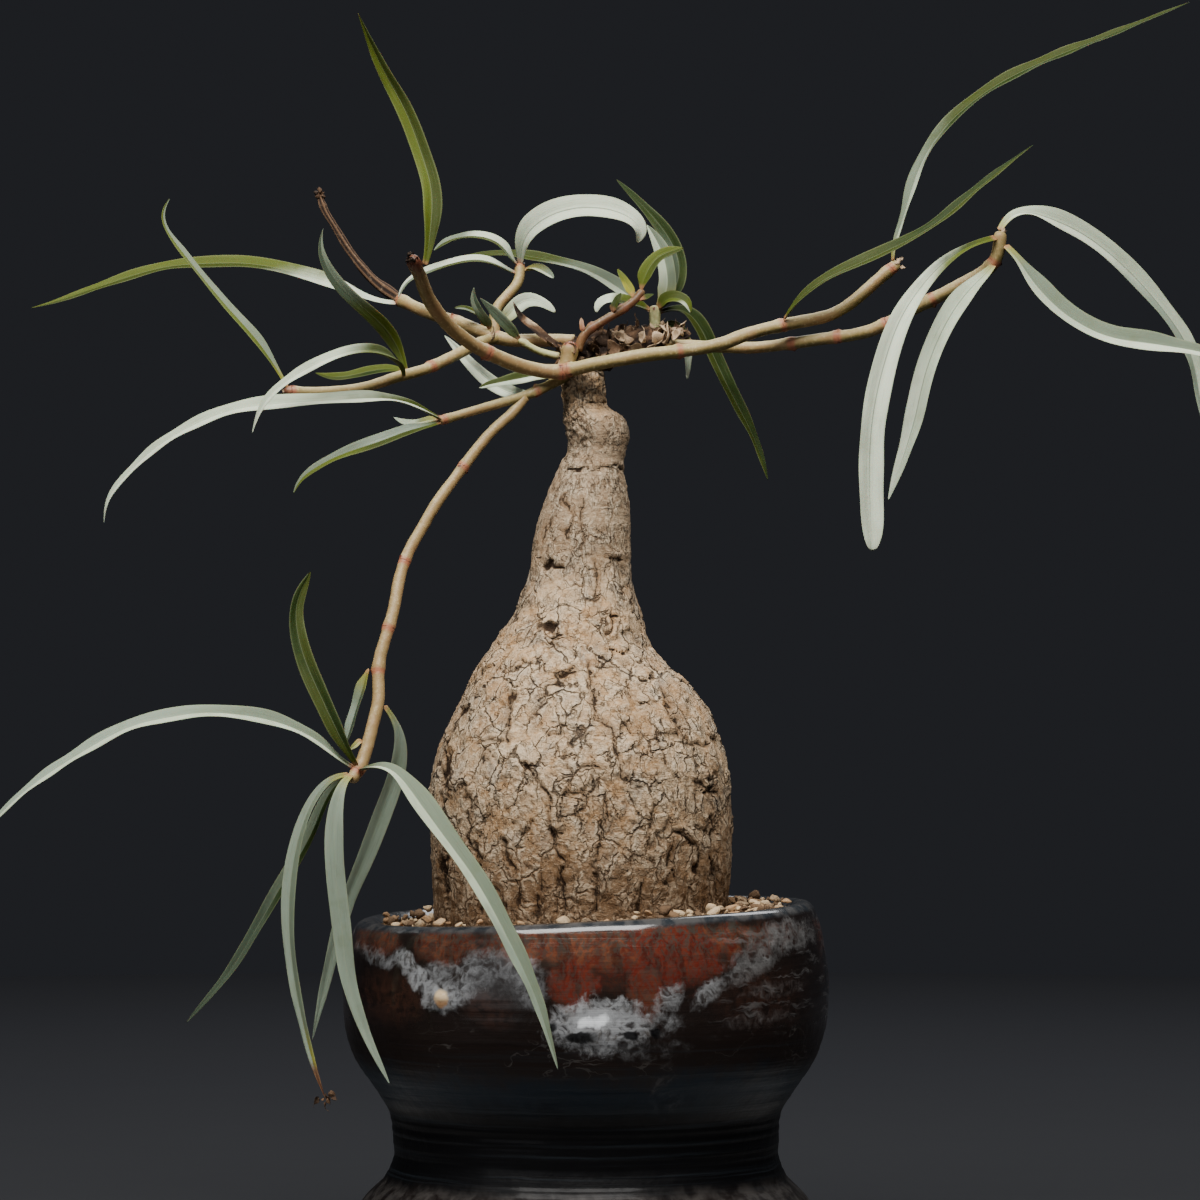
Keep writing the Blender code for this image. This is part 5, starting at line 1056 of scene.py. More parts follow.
def leaf_skin(leaf, stem, seed, ruffle=0.22):
    """One leaf, leathery and channelled, with a midrib, soft margins and a drawn-out tip, as a bmesh."""
    line = leaf_line(leaf, stem)
    length = lengths_along(line)[-1]
    rows = int(np.clip(length / LEAF_ROW_LENGTH, *LEAF_ROWS))
    t = np.linspace(0, 1, rows + 1)
    t = t - LEAF_CROWDING * (t**2 - t) * (2 * t - 1)
    fine = evened(smooth_line(line, count=LEAF_SAMPLES + 1), min(LEAF_SMOOTHING, length / 14))
    sample = np.arange(LEAF_SAMPLES + 1)
    spine = read_at(t * LEAF_SAMPLES, sample, fine)
    onward = unit(read_at(t * LEAF_SAMPLES, sample, unit(np.gradient(fine, axis=0))))
    facing = np.outer(1 - t, leaf.facing_base) + np.outer(t, leaf.facing_tip)
    side = unit(np.cross(onward, facing))
    normal = np.cross(side, onward)
    draw = random.Random(seed)
    half = np.maximum(blade_half_width(leaf, t), 0.12)
    half *= 1 + 0.05 * np.sin(t * draw.uniform(9, 15) + draw.uniform(0, 6))
    turns = round_turns(LEAF_ROUND)
    aside = -np.cos(turns)
    front = np.clip(np.sin(turns) * 3, -1, 1) * 0.5 + 0.5
    channel = np.sqrt(aside**2 + 0.012) - 0.11
    thick = LEAF_THICKNESS / 2 * (1 - 0.4 * np.abs(aside)) * np.sign(np.sin(turns)) * (1 - aside**6)
    keel = -0.26 * np.exp(-(aside / 0.16) ** 2) * (np.sin(turns) < 0)
    groove = -0.16 * np.exp(-(aside / 0.13) ** 2) * (np.sin(turns) > 0)
    taper = np.clip(np.minimum(1, (1 - t) * length / 2.2), 0, 1) ** 0.5
    waves = ruffle * np.sin(t * length / draw.uniform(2.6, 3.8) + draw.uniform(0, 6) + 1.3 * np.sin(t * 8))
    swing = waves[:, None] * aside**2 * np.sign(aside) * np.minimum(1, half / 2)[:, None]
    lean = half[:, None] * channel * math.sin(LEAF_FOLD) + swing
    body = thick * np.minimum(1, half[:, None] * 1.2) + (keel + groove) * (half[:, None] / 2.5)
    rise = lean + body * taper[:, None]
    across = half[:, None] * aside * math.cos(LEAF_FOLD)
    places = spine[:, None] + side[:, None] * across[:, :, None] + normal[:, None] * rise[:, :, None]
    pinch_ends(places)
    layers = {"tone": 0.34 + 0.4 * ripple(places, 3.5, seed), "across": aside, "front": front,
              "along": (t * length)[:, None], "share": t[:, None], "wide": half[:, None]}
    return skin(places, layers)


def frame_slot(node):
    """The material slot that the record gives a node."""
    for subpart in frame["record"]["subparts"]:
        if subpart["node"] == node:
            return subpart["material_slot"]
    raise KeyError(node)


def crown_mesh():
    """The crown's lumps of old wood, grown together and roughened."""
    parts = []
    for across, up, back, radius in CROWN_LUMPS:
        bm = bmesh.new()
        place = seen([(across, up, back)])[0]
        bmesh.ops.create_icosphere(bm, subdivisions=4, radius=radius, matrix=Matrix.Translation(place))
        parts.append(bm)
    lumps = mesh_from(joined(parts), "crown")
    grown = with_modifier(lumps, "REMESH", mode="VOXEL", voxel_size=VOXEL * MM)
    bm = bmesh.new()
    bm.from_mesh(grown)
    layer = bm.verts.layers.float.new("tone")
    bm.normal_update()
    for v in bm.verts:
        place = v.co / MM
        rough = noise.turbulence(place * 0.42, 4, True) - 0.5
        v.co += v.normal * (1.5 * rough + 0.5 * noise.noise(place * 1.4)) * MM
        v[layer] = 0.25 + 0.55 * noise.noise(place * 0.35) + 0.5 * rough
    grown = plain_mesh(bm, "crown")
    grown.shade_smooth()
    return grown


SCALE_SHAPES, CRUMB_SHAPES = 8, 4  # how many shapes of each the crown has
TIP_SHAPES = 4  # and the tips
VOXEL = 0.42


def scale_shape(draw):
    """One curled papery scale about 1 long, which is used many times over."""
    rows, columns = 7, 10
    t = np.linspace(0, 1, rows + 1)
    turns = round_turns(columns)
    half = 0.34 * np.sin(np.clip(t * 1.15 + 0.25, 0, 1) * math.pi) ** 0.8 + 0.01
    curl = draw.uniform(0.3, 1.6)
    spine = np.stack([np.sin(t * curl) / curl, np.zeros_like(t), (1 - np.cos(t * curl)) / curl], axis=1)
    aside = -np.cos(turns)
    cup = draw.uniform(0.2, 0.9)
    crease = 0.04 * np.sin(t * draw.uniform(7, 12) + draw.uniform(0, 6))[:, None] * (1 + aside)
    rise = half[:, None] * cup * aside**2 + 0.02 * np.sin(turns) + crease
    places = spine[:, None] + np.zeros((1, columns + 1, 3))
    places[:, :, 1] += half[:, None] * aside
    places[:, :, 2] += rise
    pinch_ends(places)
    return plain_mesh(skin(places, {}), "scale")


def scales_mesh(settings):
    """Papery scales and black crumbs that stand out of the crown's old wood, and the large bracts on it."""
    draw = random.Random(settings.seed)
    shapes = [scale_shape(draw) for _ in range(SCALE_SHAPES)]
    shapes += [stone_mesh(draw) for _ in range(CRUMB_SHAPES)]
    lumps = [(Vector(seen([lump[:3]])[0]), lump[3]) for lump in CROWN_LUMPS]
    placings = []
    for number, (across, up, back, length, breadth, lean, turn, tone) in enumerate(BRACTS):
        turned = (Matrix.Rotation(math.radians(-lean), 3, "Y") @ Matrix.Rotation(math.radians(turn), 3, "X")
                  @ Matrix.Rotation(draw.uniform(-0.3, 0.3), 3, "Z"))
        place = Vector(seen([(across, up, back)])[0]) - turned @ Vector((length * 0.3, 0, 0))
        size = (length, length * breadth, length)
        placings.append((number % SCALE_SHAPES, placing(place, size, turned), tone))
    for _ in range(settings.scales):
        centre, radius = draw.choice(lumps)
        out = Vector((draw.gauss(0, 1), draw.gauss(0, 1), draw.gauss(0.5, 1))).normalized()
        place = centre + out * radius * draw.uniform(0.82, 1.05)
        if place.z < CROWN_FLOOR or any((place - other).length < r * 0.75 for other, r in lumps):
            continue
        crumb = draw.random() < 0.4
        turn = (out + any_way(draw, 0.8)).to_track_quat("X", "Z").to_matrix() @ rolled(draw, "X")
        size = draw.uniform(0.8, 2.2) if crumb else draw.uniform(2.0, 4.4)
        first, past = (SCALE_SHAPES, len(shapes)) if crumb else (0, SCALE_SHAPES)
        number = draw.randrange(first, past)
        tone = draw.uniform(0, 0.3) if crumb else draw.triangular(0.1, 1.0, 0.75)
        placings.append((number, placing(place, (size, size * draw.uniform(0.5, 1), size), turn), tone))
    return mesh_from(scatter(bmesh.new(), shapes, placings, "tone"), "scales")


def crumbs_mesh(seed):
    """Crumbs and small bud scales at the stems' tips."""
    draw = random.Random(seed + 1)
    shapes = [scale_shape(draw) for _ in range(TIP_SHAPES)] + [stone_mesh(draw) for _ in range(TIP_SHAPES)]
    placings = []
    for name, (count, spread, size, tone) in TIP_CRUMBS.items():
        stem = STEMS.get(name) or LEAVES.get(name) or WITHERED_TIP
        route = [Vector(place) for place in seen(stem.route[-2:])]
        onward = (route[1] - route[0]).normalized()
        beyond = stem.tip * 0.7 if name not in LEAVES else 0.0
        for _ in range(count):
            out = any_way(draw).normalized()
            place = route[1] + onward * beyond + out * spread * draw.uniform(0.4, 1)
            turn = (onward + out * 0.8).to_track_quat("X", "Z").to_matrix() @ rolled(draw, "X")
            grown = size * draw.uniform(0.7, 1.3)
            shade_of = min(1.0, max(0.0, tone + draw.uniform(-0.2, 0.2)))
            number = draw.randrange(TIP_SHAPES if name in LEAVES else len(shapes))
            placings.append((number, placing(place, (grown, grown * 0.8, grown * 0.8), turn), shade_of))
    return mesh_from(scatter(bmesh.new(), shapes, placings, "tone"), "crumbs")


class Value:
    """A number in a material's node tree, on which Python's operators add Math nodes."""

    def __init__(self, finish, socket):
        self.finish = finish
        self.socket = socket

    def math(self, operation, *others):
        made = self.finish.node("Math", {"operation": operation}, dict(enumerate((self, *others))))
        return Value(self.finish, made.outputs[0])

    def __add__(self, other):
        return self.math("ADD", other)

    def __sub__(self, other):
        return self.math("SUBTRACT", other)

    def __rsub__(self, other):
        return self.math("MULTIPLY", -1.0).math("ADD", other)

    def __mul__(self, other):
        return self.math("MULTIPLY", other)

    def __truediv__(self, other):
        return self.math("DIVIDE", other)

    def __abs__(self):
        return self.math("ABSOLUTE")

    __radd__ = __add__
    __rmul__ = __mul__

    def step(self, low, high):
        """Rises smoothly from 0 at low to 1 at high."""
        return self.finish.mapped(self, low, high)

    def clear_of(self, other):
        return self.math("MAXIMUM", other)

    def within(self, other):
        return self.math("MINIMUM", other)


class Finish:
    """A material in the making: every node comes from node(), and colours, which are links or the names
    of its shades, are mixed with blend()."""

    def __init__(self, name, shades):
        self.shades = shades
        self.material = bpy.data.materials.new(name)
        self.material.use_nodes = True
        self.tree = self.material.node_tree
        self.shader = self.tree.nodes["Principled BSDF"]
        place = self.node("TexCoord").outputs["Object"]
        self.place = self.vector("SCALE", place, scale=1 / MM)

    def node(self, kind, settings=None, sockets=None):
        made = self.tree.nodes.new("ShaderNode" + kind)
        for name, value in (settings or {}).items():
            setattr(made, name, value)
        for name, value in (sockets or {}).items():
            self.feed(made.inputs[name], value)
        return made

    def feed(self, socket, value):
        if isinstance(value, Value):
            value = value.socket
        if isinstance(value, bpy.types.NodeSocket):
            self.tree.links.new(value, socket)
        else:
            socket.default_value = value

    def vector(self, operation, first, second=None, scale=None):
        sockets = {0: first}
        if second is not None:
            sockets[1] = second
        if scale is not None:
            sockets["Scale"] = scale
        return self.node("VectorMath", {"operation": operation}, sockets).outputs[0]

    def stretched(self, x, y, z, vector=None):
        return self.vector("MULTIPLY", vector or self.place, (x, y, z))

    def parts(self, vector=None):
        outputs = self.node("SeparateXYZ", None, {0: vector or self.place}).outputs
        return [Value(self, outputs[k]) for k in range(3)]

    def together(self, x, y, z):
        return self.node("CombineXYZ", None, {0: x, 1: y, 2: z}).outputs[0]

    def layers(self, *names):
        nodes = [self.node("Attribute", {"attribute_name": name}) for name in names]
        return [Value(self, made.outputs["Fac"]) for made in nodes]

    def noise(self, size, detail=3.0, roughness=0.55, vector=None, stretch=None):
        """Noise from 0 to 1 whose bumps are about size millimetres across."""
        if stretch:
            vector = self.stretched(*stretch, vector)
        sockets = {"Vector": vector or self.place, "Scale": 1 / size, "Detail": detail}
        sockets["Roughness"] = roughness
        return Value(self, self.node("TexNoise", None, sockets).outputs[0])

    def warped(self, size, amount, vector=None):
        """A vector pushed aside by noise, amount millimetres at most."""
        start = vector or self.place
        push = self.node("TexNoise", None, {"Vector": start, "Scale": 1 / size, "Detail": 3.0})
        push = self.vector("SUBTRACT", push.outputs["Color"], (0.5, 0.5, 0.5))
        return self.vector("ADD", start, self.vector("SCALE", push, scale=2 * amount))

    def cells(self, size, vector=None, feature="F1"):
        """How far places lie from the middle of their cell, about size millimetres across."""
        sockets = {"Vector": vector or self.place, "Scale": 1 / size}
        return Value(self, self.node("TexVoronoi", {"feature": feature}, sockets).outputs[0])

    def net(self, size, stretch=None, vector=None):
        """How far places lie from the edges between such cells."""
        if stretch:
            vector = self.stretched(*stretch, vector)
        return self.cells(size, vector, "DISTANCE_TO_EDGE")

    def mapped(self, value, low, high):
        settings = {"interpolation_type": "SMOOTHSTEP", "clamp": True}
        sockets = {"Value": value, "From Min": low, "From Max": high}
        return Value(self, self.node("MapRange", settings, sockets).outputs[0])

    def blend(self, factor, first, second):
        sockets = {0: factor, 6: self.opaque(first), 7: self.opaque(second)}
        return self.node("Mix", {"data_type": "RGBA", "clamp_factor": True}, sockets).outputs[2]

    def opaque(self, colour):
        """A named shade with its alpha, and a link as it is."""
        return (*getattr(self.shades, colour), 1.0) if isinstance(colour, str) else colour

    def coated(self, colour, *coats):
        """A colour under coats of other ones, each given as (share, colour)."""
        for share, over in coats:
            colour = self.blend(share, colour, over)
        return colour

    def bump(self, height, depth):
        """A bump of depth millimetres where the height goes from 0 to 1."""
        return self.node("Bump", None, {"Height": height, "Distance": depth * MM}).outputs[0]

    def done(self, colour, roughness, normal, constants=None):
        self.feed(self.shader.inputs["Base Color"], colour)
        self.feed(self.shader.inputs["Roughness"], roughness)
        self.feed(self.shader.inputs["Normal"], normal)
        for name, value in (constants or {}).items():
            self.shader.inputs[name].default_value = value
        return self.material


# Spots of the glaze on the front: (across, up, half width, half height, slope, share)
WARM_SPOTS = [(-49, 67, 8, 6, 0, 1), (-24, 64, 6, 4, 0, 0.8), (44, 67, 10, 7, 0, 0.6)]
RUST_SPOTS = [
    (-53, 81.5, 6.5, 4.4, 0, 1), (-35, 80.3, 8, 5, 0, 1), (-13, 80.5, 14, 5.2, 0, 1),
    (14, 80, 32, 6.6, 0.05, 1), (6.5, 74.6, 4.6, 3, 0, 0.6), (6.5, 71.5, 5.5, 4, 0, 0.4),
    (25, 78, 11, 8.4, 0, 1), (-2.5, 72, 6.2, 8, 0, 1), (15.2, 70, 4.8, 8, 0, 1),
]
RED_SPOTS = [(22, 76, 13, 8, 0, 1), (-2, 70.5, 7, 6, 0, 1)]
FOAM_SPOTS = [
    (-50.5, 76.6, 7.5, 2.4, -0.2, 0.45), (-43, 73, 4.4, 3.4, -0.9, 0.8), (-38.5, 69, 4.2, 3.2, -0.8, 0.9),
    (-35.4, 66.6, 5.2, 3.4, 0, 0.9), (-30.5, 71, 4.4, 6, 0.4, 0.55), (-24, 73.8, 9, 5.5, 0.1, 0.36),
    (-14, 71, 5, 7, -0.3, 0.4), (17, 60.5, 8, 3.2, 0.1, 0.4), (20, 66.5, 4, 3.4, 0.4, 0.6),
    (31, 68.5, 5, 3, 0.6, 0.55), (42, 76, 9, 4.6, 0.5, 0.5), (50, 82, 8, 4, 0, 0.55),
    (46, 69, 9, 2.2, 0.1, 0.3),
    (20, 44, 4, 9, 0, 0.16), (13, 54.5, 13, 3.6, 0, 0.24), (-36.5, 71.5, 5, 4.5, 0, 0.5),
    (-44.7, 84.4, 3.2, 1.6, 0, 1), (44, 62, 10, 2, 0.1, 0.25),
]
SHADED_HOLLOWS = [  # dark hollows below the foam, painted shade: (across, up, half width, half height, softness, raggedness)
    (-1.2, 57, 3.6, 1.5, 0.4, 0.35), (11.4, 57.2, 1.5, 1.1, 0.5, 0.5), (17.2, 58.2, 1.4, 1.2, 0.6, 0.5),
    (-8.4, 59.6, 1.2, 1, 0.6, 0.4),
]


def strongest(values):
    return reduce(Value.clear_of, values)


def glaze_finish(settings):
    """Dark dripping glaze: mottled rust under the rim, grey foam in wisps, teal to black below, a painted
    glint, painted shade in the hollows and painted sheen on the foot and the lower wall's rings.
    """
    f = Finish("glaze", settings)
    x, y, z = f.parts()
    front = (y * -1).step(2, 20)
    rear = 1 - front
    flow = f.warped(7.0, 2.4)
    fz = f.parts(flow)[2]
    ragged = f.warped(2.4, 0.6, flow)
    rx, _, rz = f.parts(ragged)
    drips = f.noise(3.6, 4, 0.6, ragged, (1, 1, 0.3))
    clouds = f.noise(15.0, 3, 0.5, flow)
    cloud = f.noise(4.6, 3, 0.55, flow, (1, 1, 1.2))
    mottle = f.noise(2.4, 4, 0.62, ragged)
    lace = 1 - f.net(3.0, (1, 1, 1.3), f.warped(2.0, 0.8, flow)).step(0.04, 0.34)
    specks = f.noise(0.9, 4, 0.7, ragged, (1, 1, 0.6))
    wisps = f.noise(5.0, 4, 0.62, flow, (0.4, 0.4, 3.2))
    shred = (cloud - 0.5) * 1.4 + (mottle - 0.5) * 1.4 + (specks - 0.5) * 0.8

    def spot(across, up, wide, tall, slope=0.0, soft=0.6, torn=1.6):
        """A torn, cloudy oval on the front, its right side raised by slope."""
        across, up = on_wall(across, up)
        dx = (rx - across) / wide
        dz = (rz - up - slope * (rx - across)) / tall
        return (1 - (dx * dx + dz * dz + shred * torn).step(1 - soft, 1 + soft)) * front

    def spots(rows, torn=1.6):
        return [spot(*row[:5], 0.9, torn) * row[5] for row in rows]

    upper_wall = (fz + mottle * 6 + clouds * 9).step(55, 62)
    warm = strongest([*spots(WARM_SPOTS), rear * clouds.step(0.45, 0.7)])
    rust_behind = rear * (clouds + drips * 0.4).step(0.58, 0.72) * fz.step(66, 74)
    rust = strongest([*spots(RUST_SPOTS, 1), rust_behind]) * (1 - (rz + drips * 2).step(87, 90))
    deep = strongest([*spots(RED_SPOTS), rear * mottle])
    high = (z + mottle * 10).step(80, 87)
    veil = (1 - specks.step(0.42, 0.56)) * (0.4 + 0.35 * (z + mottle * 3).step(81, 87))
    rust_colour = f.blend(mottle.step(0.38, 0.62) * (0.35 + 0.65 * high), "rust", "orange")
    rust_colour = f.coated(
        rust_colour, (deep * 0.7, "red"), ((1 - drips.step(0.38, 0.52)) * 0.55, "umber"),
        (veil.clear_of(cloud.step(0.56, 0.72) * 0.55), "ash"),
    )
    foam_behind = rear * (1 - abs(clouds - 0.5).step(0.01, 0.08)) * fz.step(56, 64) * 0.6
    patches = strongest([*spots(FOAM_SPOTS), spot(3, 60, 11.5, 6.2, 0, 0.8), foam_behind])
    patches = (patches + (mottle - 0.5) * 1.3 * patches.step(0, 0.3)).step(0.08, 0.92)
    pores = f.cells(1.7, f.warped(1.2, 0.35)).step(0.14, 0.4)
    cloudy = (0.1 + 0.8 * puffed(f, flow)) * (0.15 + 0.85 * pores)
    core = spot(2.2, 61.6, 6.4, 2.6, 0, 0.8, 1.0).clear_of(spot(-36, 67, 2.6, 2, 0, 0.8) * 0.7)
    strips = wisps.step(0.54, 0.68) * fz.step(59, 65) * (1 - fz.step(84, 88)) * 0.32 * x.step(26, 40)
    foam = strongest([patches * cloudy.clear_of(lace * 0.75), core * 0.95, strips]).within(1.0)
    grey = (rx.step(26, 40) * 0.6).clear_of(1 - mottle.step(0.3, 0.5))
    foam_colour = f.coated("foam", (grey, "smoke"), (core, "foam"))
    # Painted highlight: two small white spots of lamp light on the foam.
    painted_glint = spot(0.2, 60.6, 2.0, 1.2, -0.1, 0.7, 1.0).clear_of(spot(3.4, 60.6, 1.9, 1.5, 0.3, 0.7, 1.0))
    bead_x, bead_z = x - BEAD_ACROSS, z - BEAD_UP
    bead = 1 - (bead_x * bead_x * 0.4 + bead_z * bead_z * 0.22 + (mottle - 0.5) * 1.6).step(0.5, 1.5)
    bead_colour = f.blend((z + mottle * 2).step(69.5, 71.5), "warm_bead", "bead")
    # Painted shade in the hollows below the foam.
    hollow = strongest([spot(*row[:4], 0, *row[4:]) for row in SHADED_HOLLOWS])
    scribble = f.noise(16.0, 3, 0.6, ragged, (1, 1, 2.2))
    scribble = (1 - abs(scribble - 0.5).step(0.002, 0.012)) * fz.step(50, 54) * (1 - fz.step(60, 64))
    lines = f.noise(30.0, 3, 0.6, f.warped(20.0, 0.7), (0.4, 0.4, 28.0))
    edge = z - x * (RIM_LEAN / RIM_RADIUS)
    lip = (edge + mottle * 1.4).step(86.9, 88.2)
    # The foot's band: partly the glaze's own umber and grey, partly painted sheen on its upper face.
    collar = (1 - fz.step(20, 24)) * fz.step(9, 13)
    bare = 1 - (z + mottle * 2).step(1.6, 3.4)
    colour = f.coated(
        f.blend((fz + mottle * 4).step(41, 49), "black", "teal"),
        (upper_wall, "umber"),
        (warm * mottle.step(0.3, 0.7) * fz.step(57, 64), "brown"),
        ((rust + (specks - 0.5) * 0.8 * rust.step(0, 0.4)).step(0.02, 1.02), rust_colour),
        (foam, foam_colour),
        (painted_glint * 0.95, "painted_glint"),
        (bead * front, bead_colour),
        (hollow * 0.92, "black"),
        (scribble * clouds.step(0.45, 0.6) * 0.3, "smoke"),
        # Slate lines on the lower wall: the throwing rings, partly painted reflection.
        (lines.step(0.5, 0.72) * (1 - fz.step(54, 64)) * 0.4, "slate"),
        (lip * 0.9, "slate"),
        (lip * puffed(f, ragged) * 0.4, "smoke"),
        (collar * 0.6, "umber"),
        (collar * puffed(f, flow) * 0.22, "smoke"),
        (bare, "clay"),
    )
    upper = z.step(52, 68)
    roughness = 0.44 - 0.29 * upper + 0.08 * mottle + 0.4 * bare + 0.06 * foam
    pocks = f.cells(2.6, ragged).step(0.0, 0.16)
    surface = f.noise(5.0, 3, 0.5) * 0.6 + f.noise(1.1, 2, 0.5) * 0.08
    surface = surface + foam * 0.18 + pocks * 0.05 + lines * 0.3
    glossy = (0.07 + 0.73 * upper * upper) * (0.55 + 0.45 * mottle.step(0.35, 0.55))
    f.feed(f.shader.inputs["Coat Weight"], glossy.clear_of((edge + mottle).step(83.6, 85.4)))
    constants = {"Coat Roughness": 0.13, "Specular IOR Level": 0.08}
    return f.done(colour, roughness, f.bump(surface, 0.5), constants)


def puffed(f, vector):
    """Cloudy patches with soft edges, from 0 to 1."""
    return f.noise(3.8, 3, 0.55, vector).step(0.36, 0.64)


def soil_finish(settings):
    """Gritty pumice and clay grains, each in its own shade, dusty and pitted."""
    f = Finish("gritty_soil", settings)
    (tone,) = f.layers("tone")
    grain = f.noise(0.7, 4, 0.7)
    patches = f.noise(3.0, 2, 0.5)
    colour = f.coated(
        f.blend((tone + (patches - 0.5) * 0.8).step(0.2, 0.75), "dark", "light"),
        ((tone * 7.3).math("FRACT").step(0.55, 0.8), "warm"),
        (grain.step(0.35, 0.7) * (0.08 + 0.5 * tone).within(0.5), "light"),
        (f.net(0.9).step(0.0, 0.1) * -0.35 + 0.35, "warm"),
        ((1 - grain.step(0.25, 0.42)) * 0.6, "dark"),
        (patches.step(0.5, 0.7) * 0.25, "warm"),
        ((1 - tone.step(0.1, 0.3)) * 0.6, "dark"),
    )
    pits = f.cells(0.55).step(0.0, 0.45)
    return f.done(colour, 0.9, f.bump(grain * 0.7 + pits * 0.3, 0.35), {"Specular IOR Level": 0.2})


